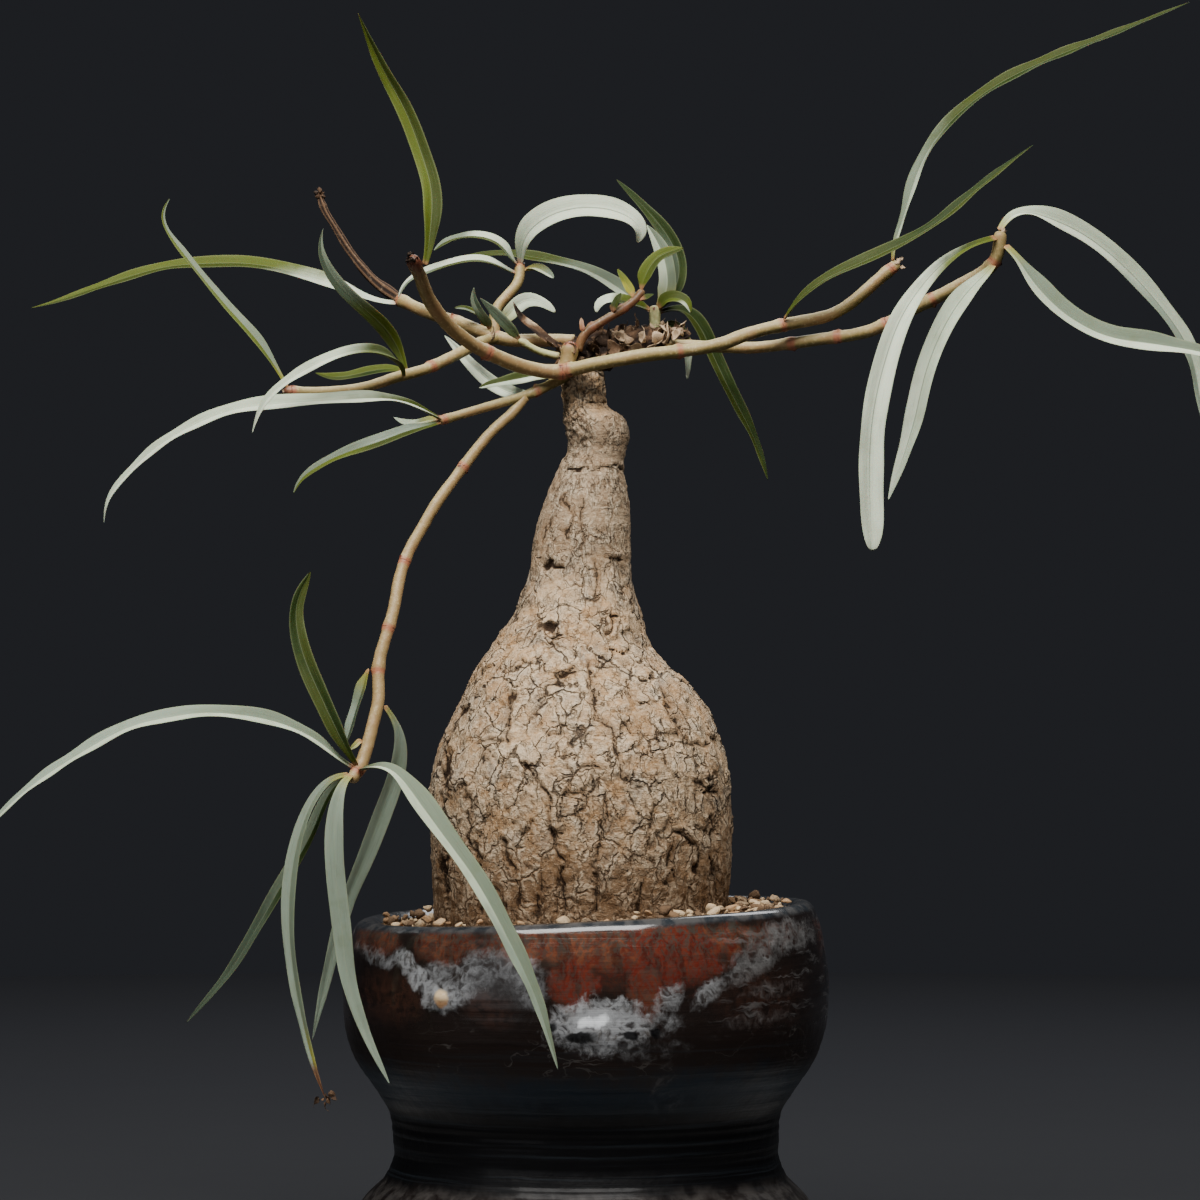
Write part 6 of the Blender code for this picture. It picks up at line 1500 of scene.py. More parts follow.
def bark_finish(settings):
    """Corky plates in cream, tan and grey with fine dark seams, a thinner crack net and brown crumbs, painted
    shade along the seams, in the pits and, in part, low down.
    """
    f = Finish("bark", settings)
    x, y, z = f.parts()
    seam, strength, fissure, plate, dark, hollow = f.layers(
        "seam", "strength", "fissure", "plate", "dark", "hollow")
    wander = f.warped(1.8, 0.6)
    shades = f.noise(8.0, 4, 0.6)
    patches = f.noise(5.0, 4, 0.62, f.warped(4.0, 2.0))
    grain = f.noise(0.5, 5, 0.78)
    crumbs = f.noise(1.5, 5, 0.74, wander, (0.9, 0.9, 1.35))
    layered = f.noise(0.9, 4, 0.65, wander, (0.3, 0.3, 2.4))
    upright = f.noise(1.0, 4, 0.65, wander, (2.0, 2.0, 0.4))
    speckle = f.noise(0.95, 3, 0.7, wander, (1, 1, 1.3))
    opened = f.noise(5.0, 3, 0.6)
    low = 1 - (z + shades * 24).step(98, 134)
    neck = (z + shades * 10).step(162, 196) * (1 - z.step(208, 216) * 0.6)
    smooth = (z + shades * 8).step(160, 172) * (1 - (z + shades * 8).step(206, 214))
    rooted = 1 - (z + (patches - 0.5) * 30).step(84, 108)
    top = z.step(209, 214)
    stipple = (1 - f.cells(0.8).step(0.16, 0.36)) * f.noise(2.6, 3, 0.6).step(0.48, 0.6)
    glow = (1 - (x + 17).step(-8, 9)) * z.step(138, 148) * (1 - z.step(158, 170)) * (y * -1).step(-8, 12)
    coarse = f.net(6.0, (1.15, 1.15, 0.85), f.warped(1.6, 0.8, f.warped(6.0, 2.6)))
    coarse_line = 1 - coarse.step(0.0, 0.012 + 0.06 * opened.step(0.4, 0.7))
    coarse_line = coarse_line * opened.step(0.36, 0.5) * (1 - neck) * (1 - 0.65 * low)
    # A cream rim along the coarse cracks: partly the plates' pale curled edges, partly a painted highlight on
    # them.
    rim = (1 - abs(coarse - 0.11).step(0.03, 0.09)) * opened.step(0.4, 0.55)
    fine = f.net(2.8, (1.2, 1.2, 0.75), f.warped(1.5, 0.9))
    fine = (1 - fine.step(0.0, 0.06)) * f.noise(4.0, 3, 0.6).step(0.47, 0.6) * 0.85
    checks = f.net(1.3, (1.2, 1.2, 0.8), f.warped(1.2, 0.7))
    checks = (1 - checks.step(0.0, 0.08)) * f.noise(3.0, 3, 0.6).step(0.52, 0.64) * 0.6
    net = fine.clear_of(checks)
    specks = (1 - f.cells(1.3).step(0.1, 0.24)) * f.noise(3.0, 2, 0.5).step(0.5, 0.62)
    specks = specks * (0.5 + 0.5 * low.clear_of(neck))
    cuts = f.noise(1.7, 3, 0.6, wander, (1.5, 1.5, 0.28))
    cuts = (1 - abs(cuts - 0.5).step(0.006, 0.03)) * opened.step(0.47, 0.57)
    cuts = cuts * (z + shades * 6).step(150, 166)
    ragged = (grain - 0.5) * 0.8
    line = (1 - (seam + ragged).step(0.0, 0.06 + 0.3 * strength)) * strength.step(0.15, 0.5)
    split = 1 - (fissure + ragged * 0.8).step(-0.12, 0.22)
    # Painted shade: a brown band along the seams and the long cracks.
    painted_seam_shade = (1 - (seam + ragged * 2).step(0.2, 1.3)) * strength * 0.35
    painted_seam_shade = painted_seam_shade.clear_of((1 - (fissure + ragged).step(0.2, 1.3)) * 0.5)
    # Seams take in the dark layer, so also the painted shade of the holes, the notch and the flakes.
    seams = strongest([line, split, coarse_line * 0.85, (dark + ragged * 0.4).step(0.3, 0.8)])
    colour = f.coated(
        f.blend(plate.step(0.1, 0.9), "plate", "pale"),
        (patches.step(0.52, 0.66) * 0.7, "grey"),
        ((1 - patches.step(0.34, 0.48)) * 0.55, "warm"),
        (crumbs.step(0.5, 0.68) * (0.6 - 0.3 * smooth), "cream"),
        ((1 - crumbs.step(0.36, 0.5)) * (0.35 + 0.5 * low - 0.15 * smooth), "low"),
        # Darker towards the soil: partly the bark's own brown, partly painted shade under the belly.
        (low * 0.86, "low"),
        (low * patches.step(0.46, 0.62) * 0.3, "plate"),
        (neck * 0.72, "neck"),
        (stipple * z.step(172, 182) * 0.45, "low"),
        (neck * patches.step(0.5, 0.62) * (1 - crumbs.step(0.44, 0.56)) * 0.6, "low"),
        (glow * upright.step(0.4, 0.6) * 0.6, "warm"),
        (layered.step(0.54, 0.7) * 0.25, "cream"),
        ((1 - layered.step(0.3, 0.44)) * (0.35 + 0.4 * low), "low"),
        ((1 - grain.step(0.3, 0.47)) * (0.5 - 0.25 * smooth), "low"),
        (grain.step(0.56, 0.68) * 0.45, "cream"),
        ((1 - speckle.step(0.37, 0.46)) * (0.42 + 0.2 * low), "low"),
        (speckle.step(0.56, 0.66) * 0.35, "cream"),
        (rim * 0.35, "cream"),
        (painted_seam_shade, "low"),
        (net * 0.7, "crack"),
        (specks * 0.7, "crack"),
        (cuts * 0.55, "crack"),
        (rooted * (0.35 + 0.4 * (1 - crumbs.step(0.4, 0.6))), "root"),
        # Painted shade in the crumbly pits.
        (hollow.step(0.12, 0.42) * 0.6, "crack"),
        (seams * 0.95, "crack"),
        (top * (1 - hollow.step(0.0, 0.2)) * crumbs.step(0.36, 0.56) * 0.6, "crumb"),
    )
    height = layered * 0.3 + upright * 0.2 + crumbs * 0.5 + grain * 0.35 + speckle * 0.4 + rim * 0.35
    height = (height - net * 0.5 - specks * 0.3) * (1 - 0.45 * smooth)
    return f.done(colour, 0.92, f.bump(height - seams * 0.9 - cuts * 0.3, 0.7), {"Specular IOR Level": 0.15})


def stem_finish(name, settings, base, under, pink=0.6, tan=0.0):
    """Smooth stems with painted shade below and a painted highlight on top, pink joints and brown leaf scars.
    """
    f = Finish(name, settings)
    joint, scar, upper, browned = f.layers("joint", "scar", "upper", "browned")
    streaks = f.noise(1.4, 4, 0.65, stretch=(1.6, 1, 1.6))
    blush = f.noise(8.0, 3, 0.55)
    # Painted light and shade: the side facing up gets the base shade and a painted highlight, the side facing
    # down the darker under shade.
    painted_light_facing_up = upper + (streaks - 0.5) * 0.5 + (blush - 0.5) * 0.5
    lit = 0.6 if pink > 0.5 else 0.25
    ring = joint.step(0.9, 0.99) * (streaks + blush).step(0.9, 1.15)
    pores = (1 - f.cells(1.1).step(0.03, 0.12)) * f.noise(3.0, 2, 0.5).step(0.5, 0.6)
    colour = f.coated(
        f.blend(painted_light_facing_up.step(0.05, 0.55), under, base),
        (blush.step(0.48, 0.64) * 0.5, "tawny"),
        ((streaks * 0.8 + 0.6) * tan, "tawny"),
        (painted_light_facing_up.step(0.6, 0.98) * lit, f.blend(0.5, base, "light")),
        (streaks.step(0.55, 0.7) * 0.2, "light"),
        ((joint + (blush - 0.5)).step(0.35, 0.95) * pink, "joint"),
        (ring * 0.75, "scar"),
        ((scar + (streaks - 0.5) * 0.4).step(0.3, 0.6), "scar"),
        (pores * 0.45, "scar"),
        ((browned + (streaks - 0.5) * 0.3).step(0.12, 0.75) * 0.92, "scar"),
    )
    height = f.noise(0.7, 3, 0.6) * 0.4 + streaks * 0.4 - ring * 0.5
    constants = {"Subsurface Weight": 0.04, "Subsurface Scale": 0.001, "Specular IOR Level": 0.35}
    return f.done(colour, 0.34 + 0.2 * streaks, f.bump(height, 0.13), constants)


def leaf_finish(name, look, settings):
    """A leaf's two sides: each half of the facing side in its own shades, which carry painted light and
    shade, a pale margin and a midrib.
    """
    f = Finish(name, settings)
    across, along, share, front, wide = f.layers("across", "along", "share", "front", "wide")
    veins = f.noise(1.0, 3, 0.6, f.together(across * wide * 3.2, along * 0.1, front * 5))
    blotch = f.noise(6.0, 3, 0.55)
    names, change = look
    left_near, left_far, right_near, right_far, back, base = names.split()
    turn = (share + across * 0.05 + (blotch - 0.5) * 0.12).step(change - 0.1, change + 0.1)
    # Painted light and shade: each half's shades make a half that faces the light paler and one in shade
    # darker.
    painted_light_halves = (across + (veins - 0.5) * 0.08).step(-0.05, 0.05)
    rib = 1 - abs(across).step(0.015, 0.075)
    # On these leaves a dark midrib line is painted shade in the groove between the halves.
    rib_shade, rib_share = ("slate", 0.6) if name in SHADED_RIB_GROOVES else ("pale", 0.2)
    colour = f.coated(
        f.blend(painted_light_halves, f.blend(turn, left_near, left_far), f.blend(turn, right_near, right_far)),
        (1 - front.step(0.3, 0.7), back),
        (blotch.step(0.5, 0.72) * 0.16, "bright"),
        (veins.step(0.52, 0.75) * 0.08, "pale"),
        ((1 - veins.step(0.32, 0.46)) * 0.18, "slate"),
        (rib * (1 - share.step(0.7, 1)) * rib_share, rib_shade),
        (abs(across).step(0.76, 1.0) * 0.22, "margin"),
        ((1 - (along + blotch * 3).step(2.5, 10.0)) * 0.75, base),
        ((1 - (along + blotch).step(0.8, 2.6)) * 0.55, "pink"),
        (f.noise(0.6, 2, 0.6).step(0.6, 0.75) * 0.03, "silver"),
    )
    if name in DRY_TIPS:
        dead = (along + blotch * 4).step(DRY_TIPS[name], DRY_TIPS[name] + 3.5)
        colour = f.coated(colour, (dead, f.blend(veins.step(0.4, 0.6), "dead", "tan")))
    height = veins * 0.6 + f.noise(0.9, 2, 0.5) * 0.25 - rib * 0.3
    constants = {"Subsurface Weight": 0.08, "Subsurface Scale": 0.0008, "Specular IOR Level": 0.12}
    return f.done(colour, 0.5 + 0.14 * blotch, f.bump(height, 0.12), constants)


def dry_finish(name, settings):
    """Dead wood and papery scales: brown fibres, pale ridges and black crumbs."""
    f = Finish(name, settings)
    (tone,) = f.layers("tone")
    fibres = f.noise(1.2, 4, 0.65, f.warped(2.0, 0.5))
    grain = f.noise(0.5, 4, 0.7)
    colour = f.coated(
        f.blend(tone.step(0.05, 0.45), "black", "brown"),
        ((tone + (fibres - 0.5) * 0.4).step(0.5, 0.95), "tan"),
        (fibres.step(0.55, 0.75) * 0.3, "tan"),
        ((1 - grain.step(0.32, 0.46)) * 0.5, "black"),
    )
    return f.done(colour, 0.85, f.bump(fibres * 0.6 + grain * 0.4, 0.3), {"Specular IOR Level": 0.2})


def shade(name, colour, text):
    return FloatVectorProperty(name=name, description=text, subtype="COLOR", size=3, min=0.0, max=1.0,
                               default=colour)


class PotSettings(bpy.types.PropertyGroup):
    black: shade("Black", (0.003, 0.003, 0.0035), "Glaze on the foot and the waist")
    teal: shade("Teal", (0.006, 0.0125, 0.021), "Glaze above the waist")
    umber: shade("Umber", (0.014, 0.0095, 0.008), "Glaze on the upper wall")
    brown: shade("Brown", (0.05, 0.021, 0.013), "Warmer patches of the upper wall")
    rust: shade("Rust", (0.075, 0.02, 0.012), "Darker rust in the drips under the rim")
    orange: shade("Orange", (0.15, 0.052, 0.026), "Brighter rust in the drips under the rim")
    red: shade("Red", (0.12, 0.016, 0.010), "Deepest red of the drips")
    ash: shade("Ash", (0.05, 0.052, 0.042), "Grey-green veil on the rust")
    slate: shade("Slate", (0.022, 0.028, 0.034), "Dark blue-grey edge of the rim")
    smoke: shade("Smoke", (0.15, 0.14, 0.13), "Dull grey wisps")
    foam: shade("Foam", (0.33, 0.34, 0.35), "Whitish foam in patches")
    # A painted highlight: the white glint of the lamp in the middle of the foam.
    painted_glint: shade("White foam", (0.80, 0.83, 0.86), "Whitest middle of the foam")
    bead: shade("Bead", (0.66, 0.50, 0.30), "The small raised bead")
    warm_bead: shade("Warm bead", (0.42, 0.24, 0.12), "Darker half of the bead")
    clay: shade("Clay", (0.12, 0.075, 0.05), "Bare clay on the underside")
    ring_depth: FloatProperty(name="Throwing rings", description="Depth of the rings on the waist",
                              default=0.0001, min=0.0, max=0.001, unit="LENGTH")


class SoilSettings(bpy.types.PropertyGroup):
    light: shade("Light grain", (0.62, 0.47, 0.29), "Palest soil grains")
    warm: shade("Warm grain", (0.42, 0.25, 0.13), "Orange-brown soil grains")
    dark: shade("Dark grain", (0.10, 0.06, 0.034), "Darkest soil grains")
    grain_tries: IntProperty(name="Grain tries", description="How many times a grain is offered a place",
                             default=9000, min=0, max=20000)
    seed: IntProperty(name="Seed", description="Seed of the grains", default=7, min=0)


class TrunkSettings(bpy.types.PropertyGroup):
    plate: shade("Plates", (0.50, 0.33, 0.19), "Darker bark plates")
    pale: shade("Pale plates", (0.66, 0.48, 0.30), "Paler bark plates")
    grey: shade("Grey patches", (0.50, 0.43, 0.34), "Grey patches of the bark")
    # Low bark is partly painted shade under the belly, partly the bark's own darker brown.
    low: shade("Low bark", (0.17, 0.092, 0.042), "Bark near the soil")
    root: shade("Root bark", (0.105, 0.058, 0.03), "Darkest bark, where it meets the soil")
    neck: shade("Neck", (0.34, 0.25, 0.165), "Greyer bark of the neck")
    cream: shade("Cream", (0.80, 0.66, 0.47), "Palest crumbs and edges")
    warm: shade("Warm tinge", (0.56, 0.31, 0.13), "Orange tinge on the upper shoulder")
    crumb: shade("Crumbs", (0.62, 0.39, 0.20), "Orange-tan crumbs just below the crown")
    crack: shade("Cracks", (0.028, 0.014, 0.008), "Seams between the plates")
    seed: IntProperty(name="Seed", description="Seed of the bark plates", default=41, min=0)


class DrySettings(bpy.types.PropertyGroup):
    black: shade("Black", (0.02, 0.012, 0.009), "Old black debris")
    brown: shade("Brown", (0.12, 0.067, 0.036), "Dead wood")
    tan: shade("Tan", (0.54, 0.40, 0.26), "Papery scales")
    scales: IntProperty(name="Scales", description="Number of papery scales on the crown",
                        default=150, min=0, max=600)
    seed: IntProperty(name="Seed", description="Seed of the scales", default=19, min=0)


class StemSettings(bpy.types.PropertyGroup):
    cream: shade("Cream", (0.36, 0.275, 0.115), "Main colour of the bare stems")
    # Light is the painted highlight on the stems' tops as well as their pale streaks; green is painted shade
    # on their undersides.
    light: shade("Light streaks", (0.84, 0.78, 0.44), "Palest streaks, on the stems' upper side")
    green: shade("Green", (0.135, 0.115, 0.026), "Under side of the stems")
    stalk: shade("Stalk", (0.54, 0.55, 0.27), "Pale green stalks of two shoots")
    tawny: shade("Tawny", (0.32, 0.165, 0.075), "Brownish blush of the stems")
    joint: shade("Joints", (0.42, 0.10, 0.065), "Pink swollen joints")
    scar: shade("Scars", (0.12, 0.035, 0.02), "Red-brown leaf scars")
    young: shade("Young stems", (0.13, 0.062, 0.026), "Reddish stem of the small shoots")


class LeafSettings(bpy.types.PropertyGroup):
    # White and silver are in part painted light on sides that face the lamps; slate and green in part painted
    # shade.
    white: shade("White", (0.62, 0.69, 0.53), "The whitest under sides")
    silver: shade("Silver", (0.49, 0.565, 0.415), "Pale silvery side")
    mist: shade("Mist", (0.27, 0.33, 0.25), "Light grey-green side")
    sage: shade("Sage", (0.17, 0.21, 0.145), "Grey-green side")
    slate: shade("Slate", (0.06, 0.082, 0.052), "Darker grey-green side")
    olive: shade("Olive", (0.042, 0.056, 0.008), "Olive green side")
    green: shade("Green", (0.022, 0.038, 0.007), "Dark green side")
    # Bright is mostly painted light, green lit through the leaf from behind; it also tints paler blotches.
    bright: shade("Bright", (0.085, 0.11, 0.011), "Bright translucent green")
    lime: shade("Lime", (0.28, 0.27, 0.035), "Yellow-green leaf bases")
    pale: shade("Pale", (0.36, 0.40, 0.25), "Midribs and veins")
    margin: shade("Margin", (0.34, 0.38, 0.19), "Leaf margins")
    pink: shade("Pink", (0.5, 0.2, 0.13), "The foot of each leaf")
    dead: shade("Dead", (0.10, 0.045, 0.025), "Dead leaf tips")
    tan: shade("Tan", (0.22, 0.125, 0.065), "Drying leaf tips")
    ruffle: FloatProperty(name="Ruffle", description="How far the margins wave", default=0.00022, min=0.0,
                          max=0.001, unit="LENGTH")


class StageSettings(bpy.types.PropertyGroup):
    # The floor's three shades paint the falloff of the light: pale round the pot, darker further off.
    floor: shade("Floor", (0.5, 0.49, 0.48), "The pale floor round the pot")
    painted_dusk: shade("Dusk", (0.024, 0.025, 0.028), "The floor where it has darkened")
    beyond: shade("Beyond", (0.026, 0.027, 0.031), "The floor far from the plant")
    backdrop: shade("Backdrop", (0.017, 0.018, 0.021), "The plain ground behind")
    key: FloatProperty(name="Key", description="Power of the large soft light above the front",
                       default=33.0, min=0.0, unit="POWER")
    fill: FloatProperty(name="Fill", description="Power of the light from the left", default=2.0, min=0.0,
                        unit="POWER")
    rim: FloatProperty(name="Rim", description="Power of the light from behind", default=5.0, min=0.0,
                       unit="POWER")


SETTINGS = (PotSettings, SoilSettings, TrunkSettings, DrySettings, StemSettings, LeafSettings, StageSettings)


class PlantSettings(bpy.types.PropertyGroup):
    """Everything that a user would change."""

    pot: PointerProperty(type=PotSettings)
    soil: PointerProperty(type=SoilSettings)
    trunk: PointerProperty(type=TrunkSettings)
    dry: PointerProperty(type=DrySettings)
    stems: PointerProperty(type=StemSettings)
    leaves: PointerProperty(type=LeafSettings)
    stage: PointerProperty(type=StageSettings)


# Each leaf's shades: the left half of the side that faces the front near its base and further on, the
# right half likewise, the other side and the base; and the share of its length at which they change. Besides
# the leaves' own colours they hold painted light and shade: a half that faces the light is paler, one in
# shade darker, and bright is green lit through from behind
LEAF_LOOKS = {
    "leaf_a1": ("bright bright olive olive olive bright", 0.5),
    "leaf_b1": ("sage olive silver green silver lime", 0.3),
    "leaf_b2": ("olive green olive olive olive bright", 0.4),
    "leaf_c1": ("bright white olive white sage bright", 0.2),
    "leaf_c2": ("silver silver silver white sage lime", 0.5),
    "leaf_c3": ("silver silver white mist sage lime", 0.5),
    "leaf_c4": ("sage sage silver white sage lime", 0.5),
    "leaf_d1": ("white olive white bright olive white", 0.25),
    "leaf_e1": ("olive olive white sage sage sage", 0.6),
    "leaf_e2": ("olive sage white white sage sage", 0.6),
    "leaf_e3": ("silver white white white sage sage", 0.15),
    "leaf_e4": ("sage sage white silver sage lime", 0.5),
    "leaf_f2": ("slate sage sage slate sage olive", 0.5),
    "leaf_f3": ("sage sage olive olive sage lime", 0.5),
    "leaf_f4": ("white white white silver sage lime", 0.5),
    "leaf_g1": ("bright white olive silver olive bright", 0.4),
    "leaf_g2": ("olive slate bright sage olive bright", 0.5),
    "leaf_g3": ("green olive bright bright bright bright", 0.5),
    "leaf_g4": ("bright bright sage sage olive lime", 0.5),
    "leaf_h1": ("white white olive silver sage bright", 0.22),
    "leaf_h2": ("olive bright mist sage sage bright", 0.5),
    "leaf_h3": ("white silver sage silver sage lime", 0.5),
    "leaf_h4": ("white silver olive olive sage lime", 0.5),
    "leaf_h5": ("white white silver white sage silver", 0.5),
    "leaf_i1": ("silver silver sage mist sage olive", 0.4),
    "leaf_i2": ("olive green green olive slate bright", 0.5),
    "leaf_i3": ("slate slate sage mist sage lime", 0.5),
    "leaf_i4": ("mist mist mist mist sage lime", 0.5),
    "leaf_i5": ("sage sage silver mist sage olive", 0.6),
    "leaf_i6": ("mist mist mist mist sage lime", 0.6),
    "leaf_i7": ("sage lime mist mist sage lime", 0.8),
    "leaf_i8": ("green slate sage slate slate olive", 0.5),
    "leaf_i9": ("silver silver sage sage sage lime", 0.5),
}
SHOOT_LOOKS = {
    "shoot_f": [("slate slate sage sage sage olive", 0.5)],
    "shoot_j": [
        ("bright bright olive olive olive bright", 0.5),
        ("lime bright bright bright bright lime", 0.5),
        ("slate green green green green olive", 0.5),
        ("green green olive olive olive olive", 0.5),
        ("lime pale pale pale lime pink", 0.5),
    ],
    "shoot_k": [
        ("olive white bright white olive bright", 0.6),
        ("olive bright bright silver olive bright", 0.7),
        ("olive silver olive white silver olive", 0.55),
        ("slate green green green green olive", 0.5),
        ("silver silver sage sage sage lime", 0.5),
        ("green green olive olive olive olive", 0.5),
        ("silver olive sage olive sage bright", 0.5),
    ],
}
STEM_TANS = {"stem_a": 0.45, "stem_d": 0.3, "stem_h": 0.0, "stem_g": 0.05, "stem_i": 0.4}  # shares of tan
YOUNG_SHOOTS = ("shoot_j",)  # those with a reddish stalk
# Leaves with a dark midrib line, painted shade in the groove between their halves
SHADED_RIB_GROOVES = ("leaf_e3", "leaf_c1", "leaf_c2", "leaf_c3")
WITHERED_SEED, DRIED_SEED = 71, 72
STEM_SEED, STUB_SEED, LEAF_SEED = 100, 140, 200  # the first of each kind, and the next ones count on
STALK_SEED, SHOOT_LEAF_SEED, SEEDS_PER_SHOOT = 300, 400, 20
DRY_TIPS = {"leaf_i7": 78.0}  # how far along a leaf its dead tip starts


def settings_of(context):
    return context.scene.euphorbia


class EUPHORBIA_OT_pot(bpy.types.Operator):
    """Turn the glazed pot, with its rings, leaning rim and drain holes"""

    bl_idname = "euphorbia.pot"
    bl_label = "Glazed Pot"

    def execute(self, context):
        settings = settings_of(context).pot
        add_piece("glazed_pot", pot_mesh(settings), glaze_finish(settings), "glazed_clay", "pot")
        return {"FINISHED"}


class EUPHORBIA_OT_soil(bpy.types.Operator):
    """Fill the pot with gritty soil"""

    bl_idname = "euphorbia.soil"
    bl_label = "Gritty Soil"

    def execute(self, context):
        settings = settings_of(context).soil
        add_piece("gritty_soil", soil_mesh(settings), soil_finish(settings), "gritty_soil", "soil")
        return {"FINISHED"}


class EUPHORBIA_OT_trunk(bpy.types.Operator):
    """Make the bottle-shaped trunk with its cracked corky bark"""

    bl_idname = "euphorbia.trunk"
    bl_label = "Barked Trunk"

    def execute(self, context):
        settings = settings_of(context).trunk
        add_piece("barked_trunk", trunk_mesh(settings), bark_finish(settings), "bark", "caudex")
        return {"FINISHED"}


class EUPHORBIA_OT_crown(bpy.types.Operator):
    """Make the crown's old wood and its papery scales"""

    bl_idname = "euphorbia.crown"
    bl_label = "Crown and Scales"

    def execute(self, context):
        settings = settings_of(context).dry
        finish = dry_finish("dead_wood", settings)
        add_piece("crown_wood", crown_mesh(), finish, "bark", "crown")
        add_piece("crown_scales", scales_mesh(settings), finish, "dry_bract")
        return {"FINISHED"}


class EUPHORBIA_OT_stems(bpy.types.Operator):
    """Make the bare stems with their pink joints and leaf scars"""

    bl_idname = "euphorbia.stems"
    bl_label = "Bare Stems"

    def execute(self, context):
        settings = settings_of(context).stems
        for seed, (name, stem) in enumerate(STEMS.items(), STEM_SEED):
            # green is painted shade on the stems' undersides
            finish = stem_finish("bare_" + name, settings, "cream", "green", tan=STEM_TANS.get(name, 0.1))
            mesh = mesh_from(stem_skin(name, stem, seed), name)
            add_piece("bare_" + name, mesh, finish, "bare_stem", name)
        stub = mesh_from(stem_skin("joint_stub", JOINT_STUB, STUB_SEED), "joint_stub")
        finish = stem_finish("joint_stub", settings, "cream", "green", tan=0.3)
        add_piece("joint_stub", stub, finish, "bare_stem")
        return {"FINISHED"}


class EUPHORBIA_OT_leaves(bpy.types.Operator):
    """Make the long channelled leaves, each in the shades of its two sides"""

    bl_idname = "euphorbia.leaves"
    bl_label = "Long Leaves"

    def execute(self, context):
        settings = settings_of(context).leaves
        for seed, (name, leaf) in enumerate(LEAVES.items(), LEAF_SEED):
            bm = leaf_skin(leaf, bearer(name), seed, settings.ruffle / MM)
            finish = leaf_finish(name, LEAF_LOOKS[name], settings)
            add_piece("long_" + name, mesh_from(bm, name), finish, frame_slot(name), name)
        return {"FINISHED"}


class EUPHORBIA_OT_shoots(bpy.types.Operator):
    """Make the three leafy shoots on the crown"""

    bl_idname = "euphorbia.shoots"
    bl_label = "Leafy Shoots"

    def execute(self, context):
        settings = settings_of(context)
        for order, (name, (stem, leaves)) in enumerate(SHOOTS.items()):
            # the second shade is painted shade on each stalk's underside
            base, under = ("young", "scar") if name in YOUNG_SHOOTS else ("stalk", "green")
            finish = stem_finish("stalk_of_" + name, settings.stems, base, under, pink=0.15)
            mesh = mesh_from(stem_skin(name, stem, STALK_SEED + order), name)
            add_piece("stalk_of_" + name, mesh, finish, "leaf_green", name)
            for number, leaf in enumerate(leaves):
                seed = SHOOT_LEAF_SEED + SEEDS_PER_SHOOT * order + number
                bm = leaf_skin(leaf, stem, seed, settings.leaves.ruffle / MM)
                piece = f"{name}_leaf_{number + 1}"
                look = leaf_finish(piece, SHOOT_LOOKS[name][number], settings.leaves)
                add_piece(piece, mesh_from(bm, piece), look, "leaf_green")
        return {"FINISHED"}


class EUPHORBIA_OT_dried(bpy.types.Operator):
    """Make the withered stem tip and the dried leaf"""

    bl_idname = "euphorbia.dried"
    bl_label = "Dried Pieces"

    def execute(self, context):
        settings = settings_of(context).dry
        finish = dry_finish("dried", settings)
        tip = mesh_from(stem_skin("withered_tip", WITHERED_TIP, WITHERED_SEED, shrivel=0.55), "withered_tip")
        add_piece("withered_stem_tip", tip, finish, "dry_bract", "withered_tip")
        leaf = mesh_from(leaf_skin(DRIED_LEAF, bearer("dried_leaf"), DRIED_SEED, ruffle=0.5), "dried_leaf")
        add_piece("curled_dry_leaf", leaf, finish, "dry_bract", "dried_leaf")
        add_piece("tip_crumbs", crumbs_mesh(settings.seed), finish, "dry_bract")
        return {"FINISHED"}


FLOOR_RADIUS = 1100.0
LIT_SPOT = (0, 0, 0.15)  # in metres, like the lights
LIGHTS = [  # (name, width and height, place, colour)
    ("key", (1.2, 0.55), (-0.08, -0.62, 1.15), (1.0, 0.98, 0.95)),
    ("fill", (0.8, 0.8), (-0.9, -1.0, 0.35), (0.94, 0.97, 1.0)),
    ("rim", (0.9, 0.4), (0.2, 0.8, 0.9), (0.95, 0.97, 1.0)),
]


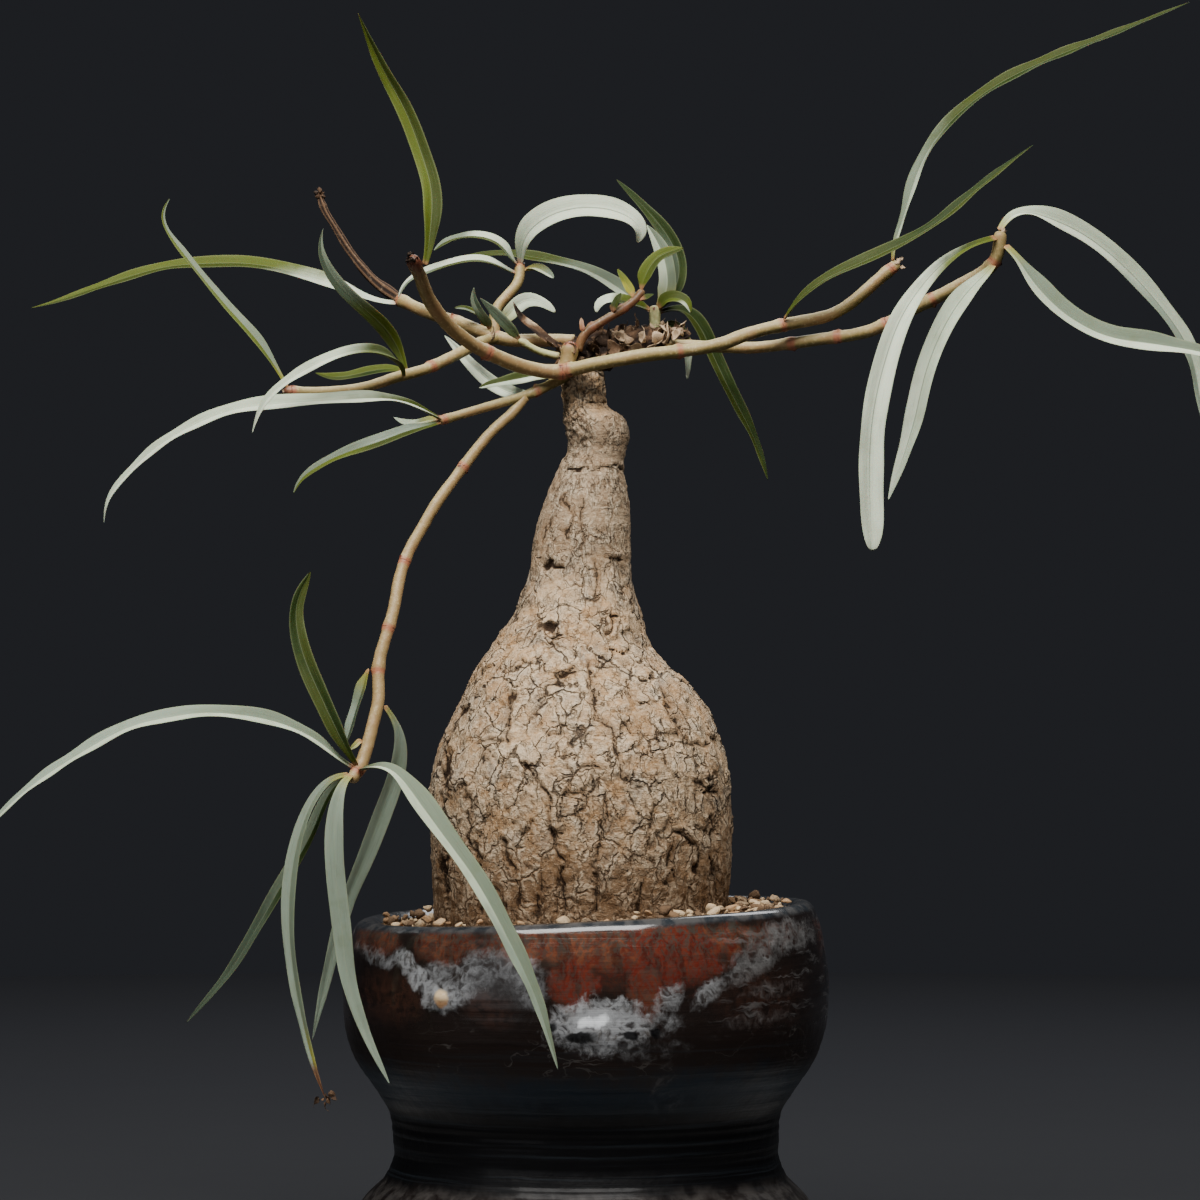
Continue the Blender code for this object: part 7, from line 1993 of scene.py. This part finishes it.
class EUPHORBIA_OT_stage(bpy.types.Operator):
    """Set the floor, the soft lights and the camera"""

    bl_idname = "euphorbia.stage"
    bl_label = "Studio Stage"

    def execute(self, context):
        settings = settings_of(context).stage
        scene = context.scene
        bm = bmesh.new()
        bmesh.ops.create_circle(bm, cap_ends=True, segments=96, radius=FLOOR_RADIUS)
        floor = bpy.data.objects.new("floor", mesh_from(bm, "floor"))
        f = Finish("floor", settings)
        reach = Value(f, f.node("VectorMath", {"operation": "LENGTH"}, {0: f.place}).outputs["Value"])
        # Painted falloff of light: pale round the pot, darkening with distance.
        colour = f.blend(reach.step(62, 140), "floor", f.blend(reach.step(150, 800), "painted_dusk", "beyond"))
        roughness = 0.8 + 0.1 * f.noise(60.0, 3, 0.5)
        finish = f.done(colour, roughness, f.bump(f.noise(2.0), 0.02), {"Specular IOR Level": 0.05})
        floor.data.materials.append(finish)
        scene.collection.objects.link(floor)
        world = bpy.data.worlds.new("studio")
        world.use_nodes = True
        world.node_tree.nodes["Background"].inputs["Color"].default_value = (*settings.backdrop, 1.0)
        scene.world = world
        for name, size, place, colour in LIGHTS:
            light = bpy.data.lights.new(name, "AREA")
            light.shape = "RECTANGLE"
            light.energy, light.color = getattr(settings, name), colour
            light.size, light.size_y = size
            lamp = bpy.data.objects.new(name, light)
            lamp.location = place
            lamp.rotation_euler = (Vector(LIT_SPOT) - lamp.location).to_track_quat("-Z", "Y").to_euler()
            scene.collection.objects.link(lamp)
        camera = bpy.data.objects.new("camera", bpy.data.cameras.new("camera"))
        camera.location = (EYE_ACROSS * MM, -VIEW_DISTANCE * MM, EYE_UP * MM)
        camera.rotation_euler = (math.pi / 2, 0, 0)
        camera.data.sensor_width = SENSOR
        camera.data.lens = LENS
        scene.collection.objects.link(camera)
        scene.camera = camera
        return {"FINISHED"}


OPERATORS = (EUPHORBIA_OT_pot, EUPHORBIA_OT_soil, EUPHORBIA_OT_trunk, EUPHORBIA_OT_crown, EUPHORBIA_OT_stems,
             EUPHORBIA_OT_leaves, EUPHORBIA_OT_shoots, EUPHORBIA_OT_dried, EUPHORBIA_OT_stage)


class EUPHORBIA_PT_panel(bpy.types.Panel):
    """Lists the plant's pieces and their settings"""

    bl_label = "Potted Euphorbia"
    bl_space_type = "VIEW_3D"
    bl_region_type = "UI"
    bl_category = "Euphorbia"

    def draw(self, context):
        for operator in OPERATORS:
            self.layout.operator(operator.bl_idname)
        settings = settings_of(context)
        for group in settings.bl_rna.properties:
            if group.type != "POINTER":
                continue
            box = self.layout.box()
            box.label(text=group.identifier.title())
            values = getattr(settings, group.identifier)
            for value in values.bl_rna.properties:
                if value.identifier not in ("rna_type", "name"):
                    box.prop(values, value.identifier)


CLASSES = (*SETTINGS, PlantSettings, *OPERATORS, EUPHORBIA_PT_panel)


def register():
    for made in CLASSES:
        bpy.utils.register_class(made)
    bpy.types.Scene.euphorbia = PointerProperty(type=PlantSettings)


def unregister():
    del bpy.types.Scene.euphorbia
    for made in reversed(CLASSES):
        bpy.utils.unregister_class(made)


def main():
    register()
    for operator in OPERATORS:
        group, name = operator.bl_idname.split(".")
        getattr(getattr(bpy.ops, group), name)()


if __name__ == "__main__":
    main()
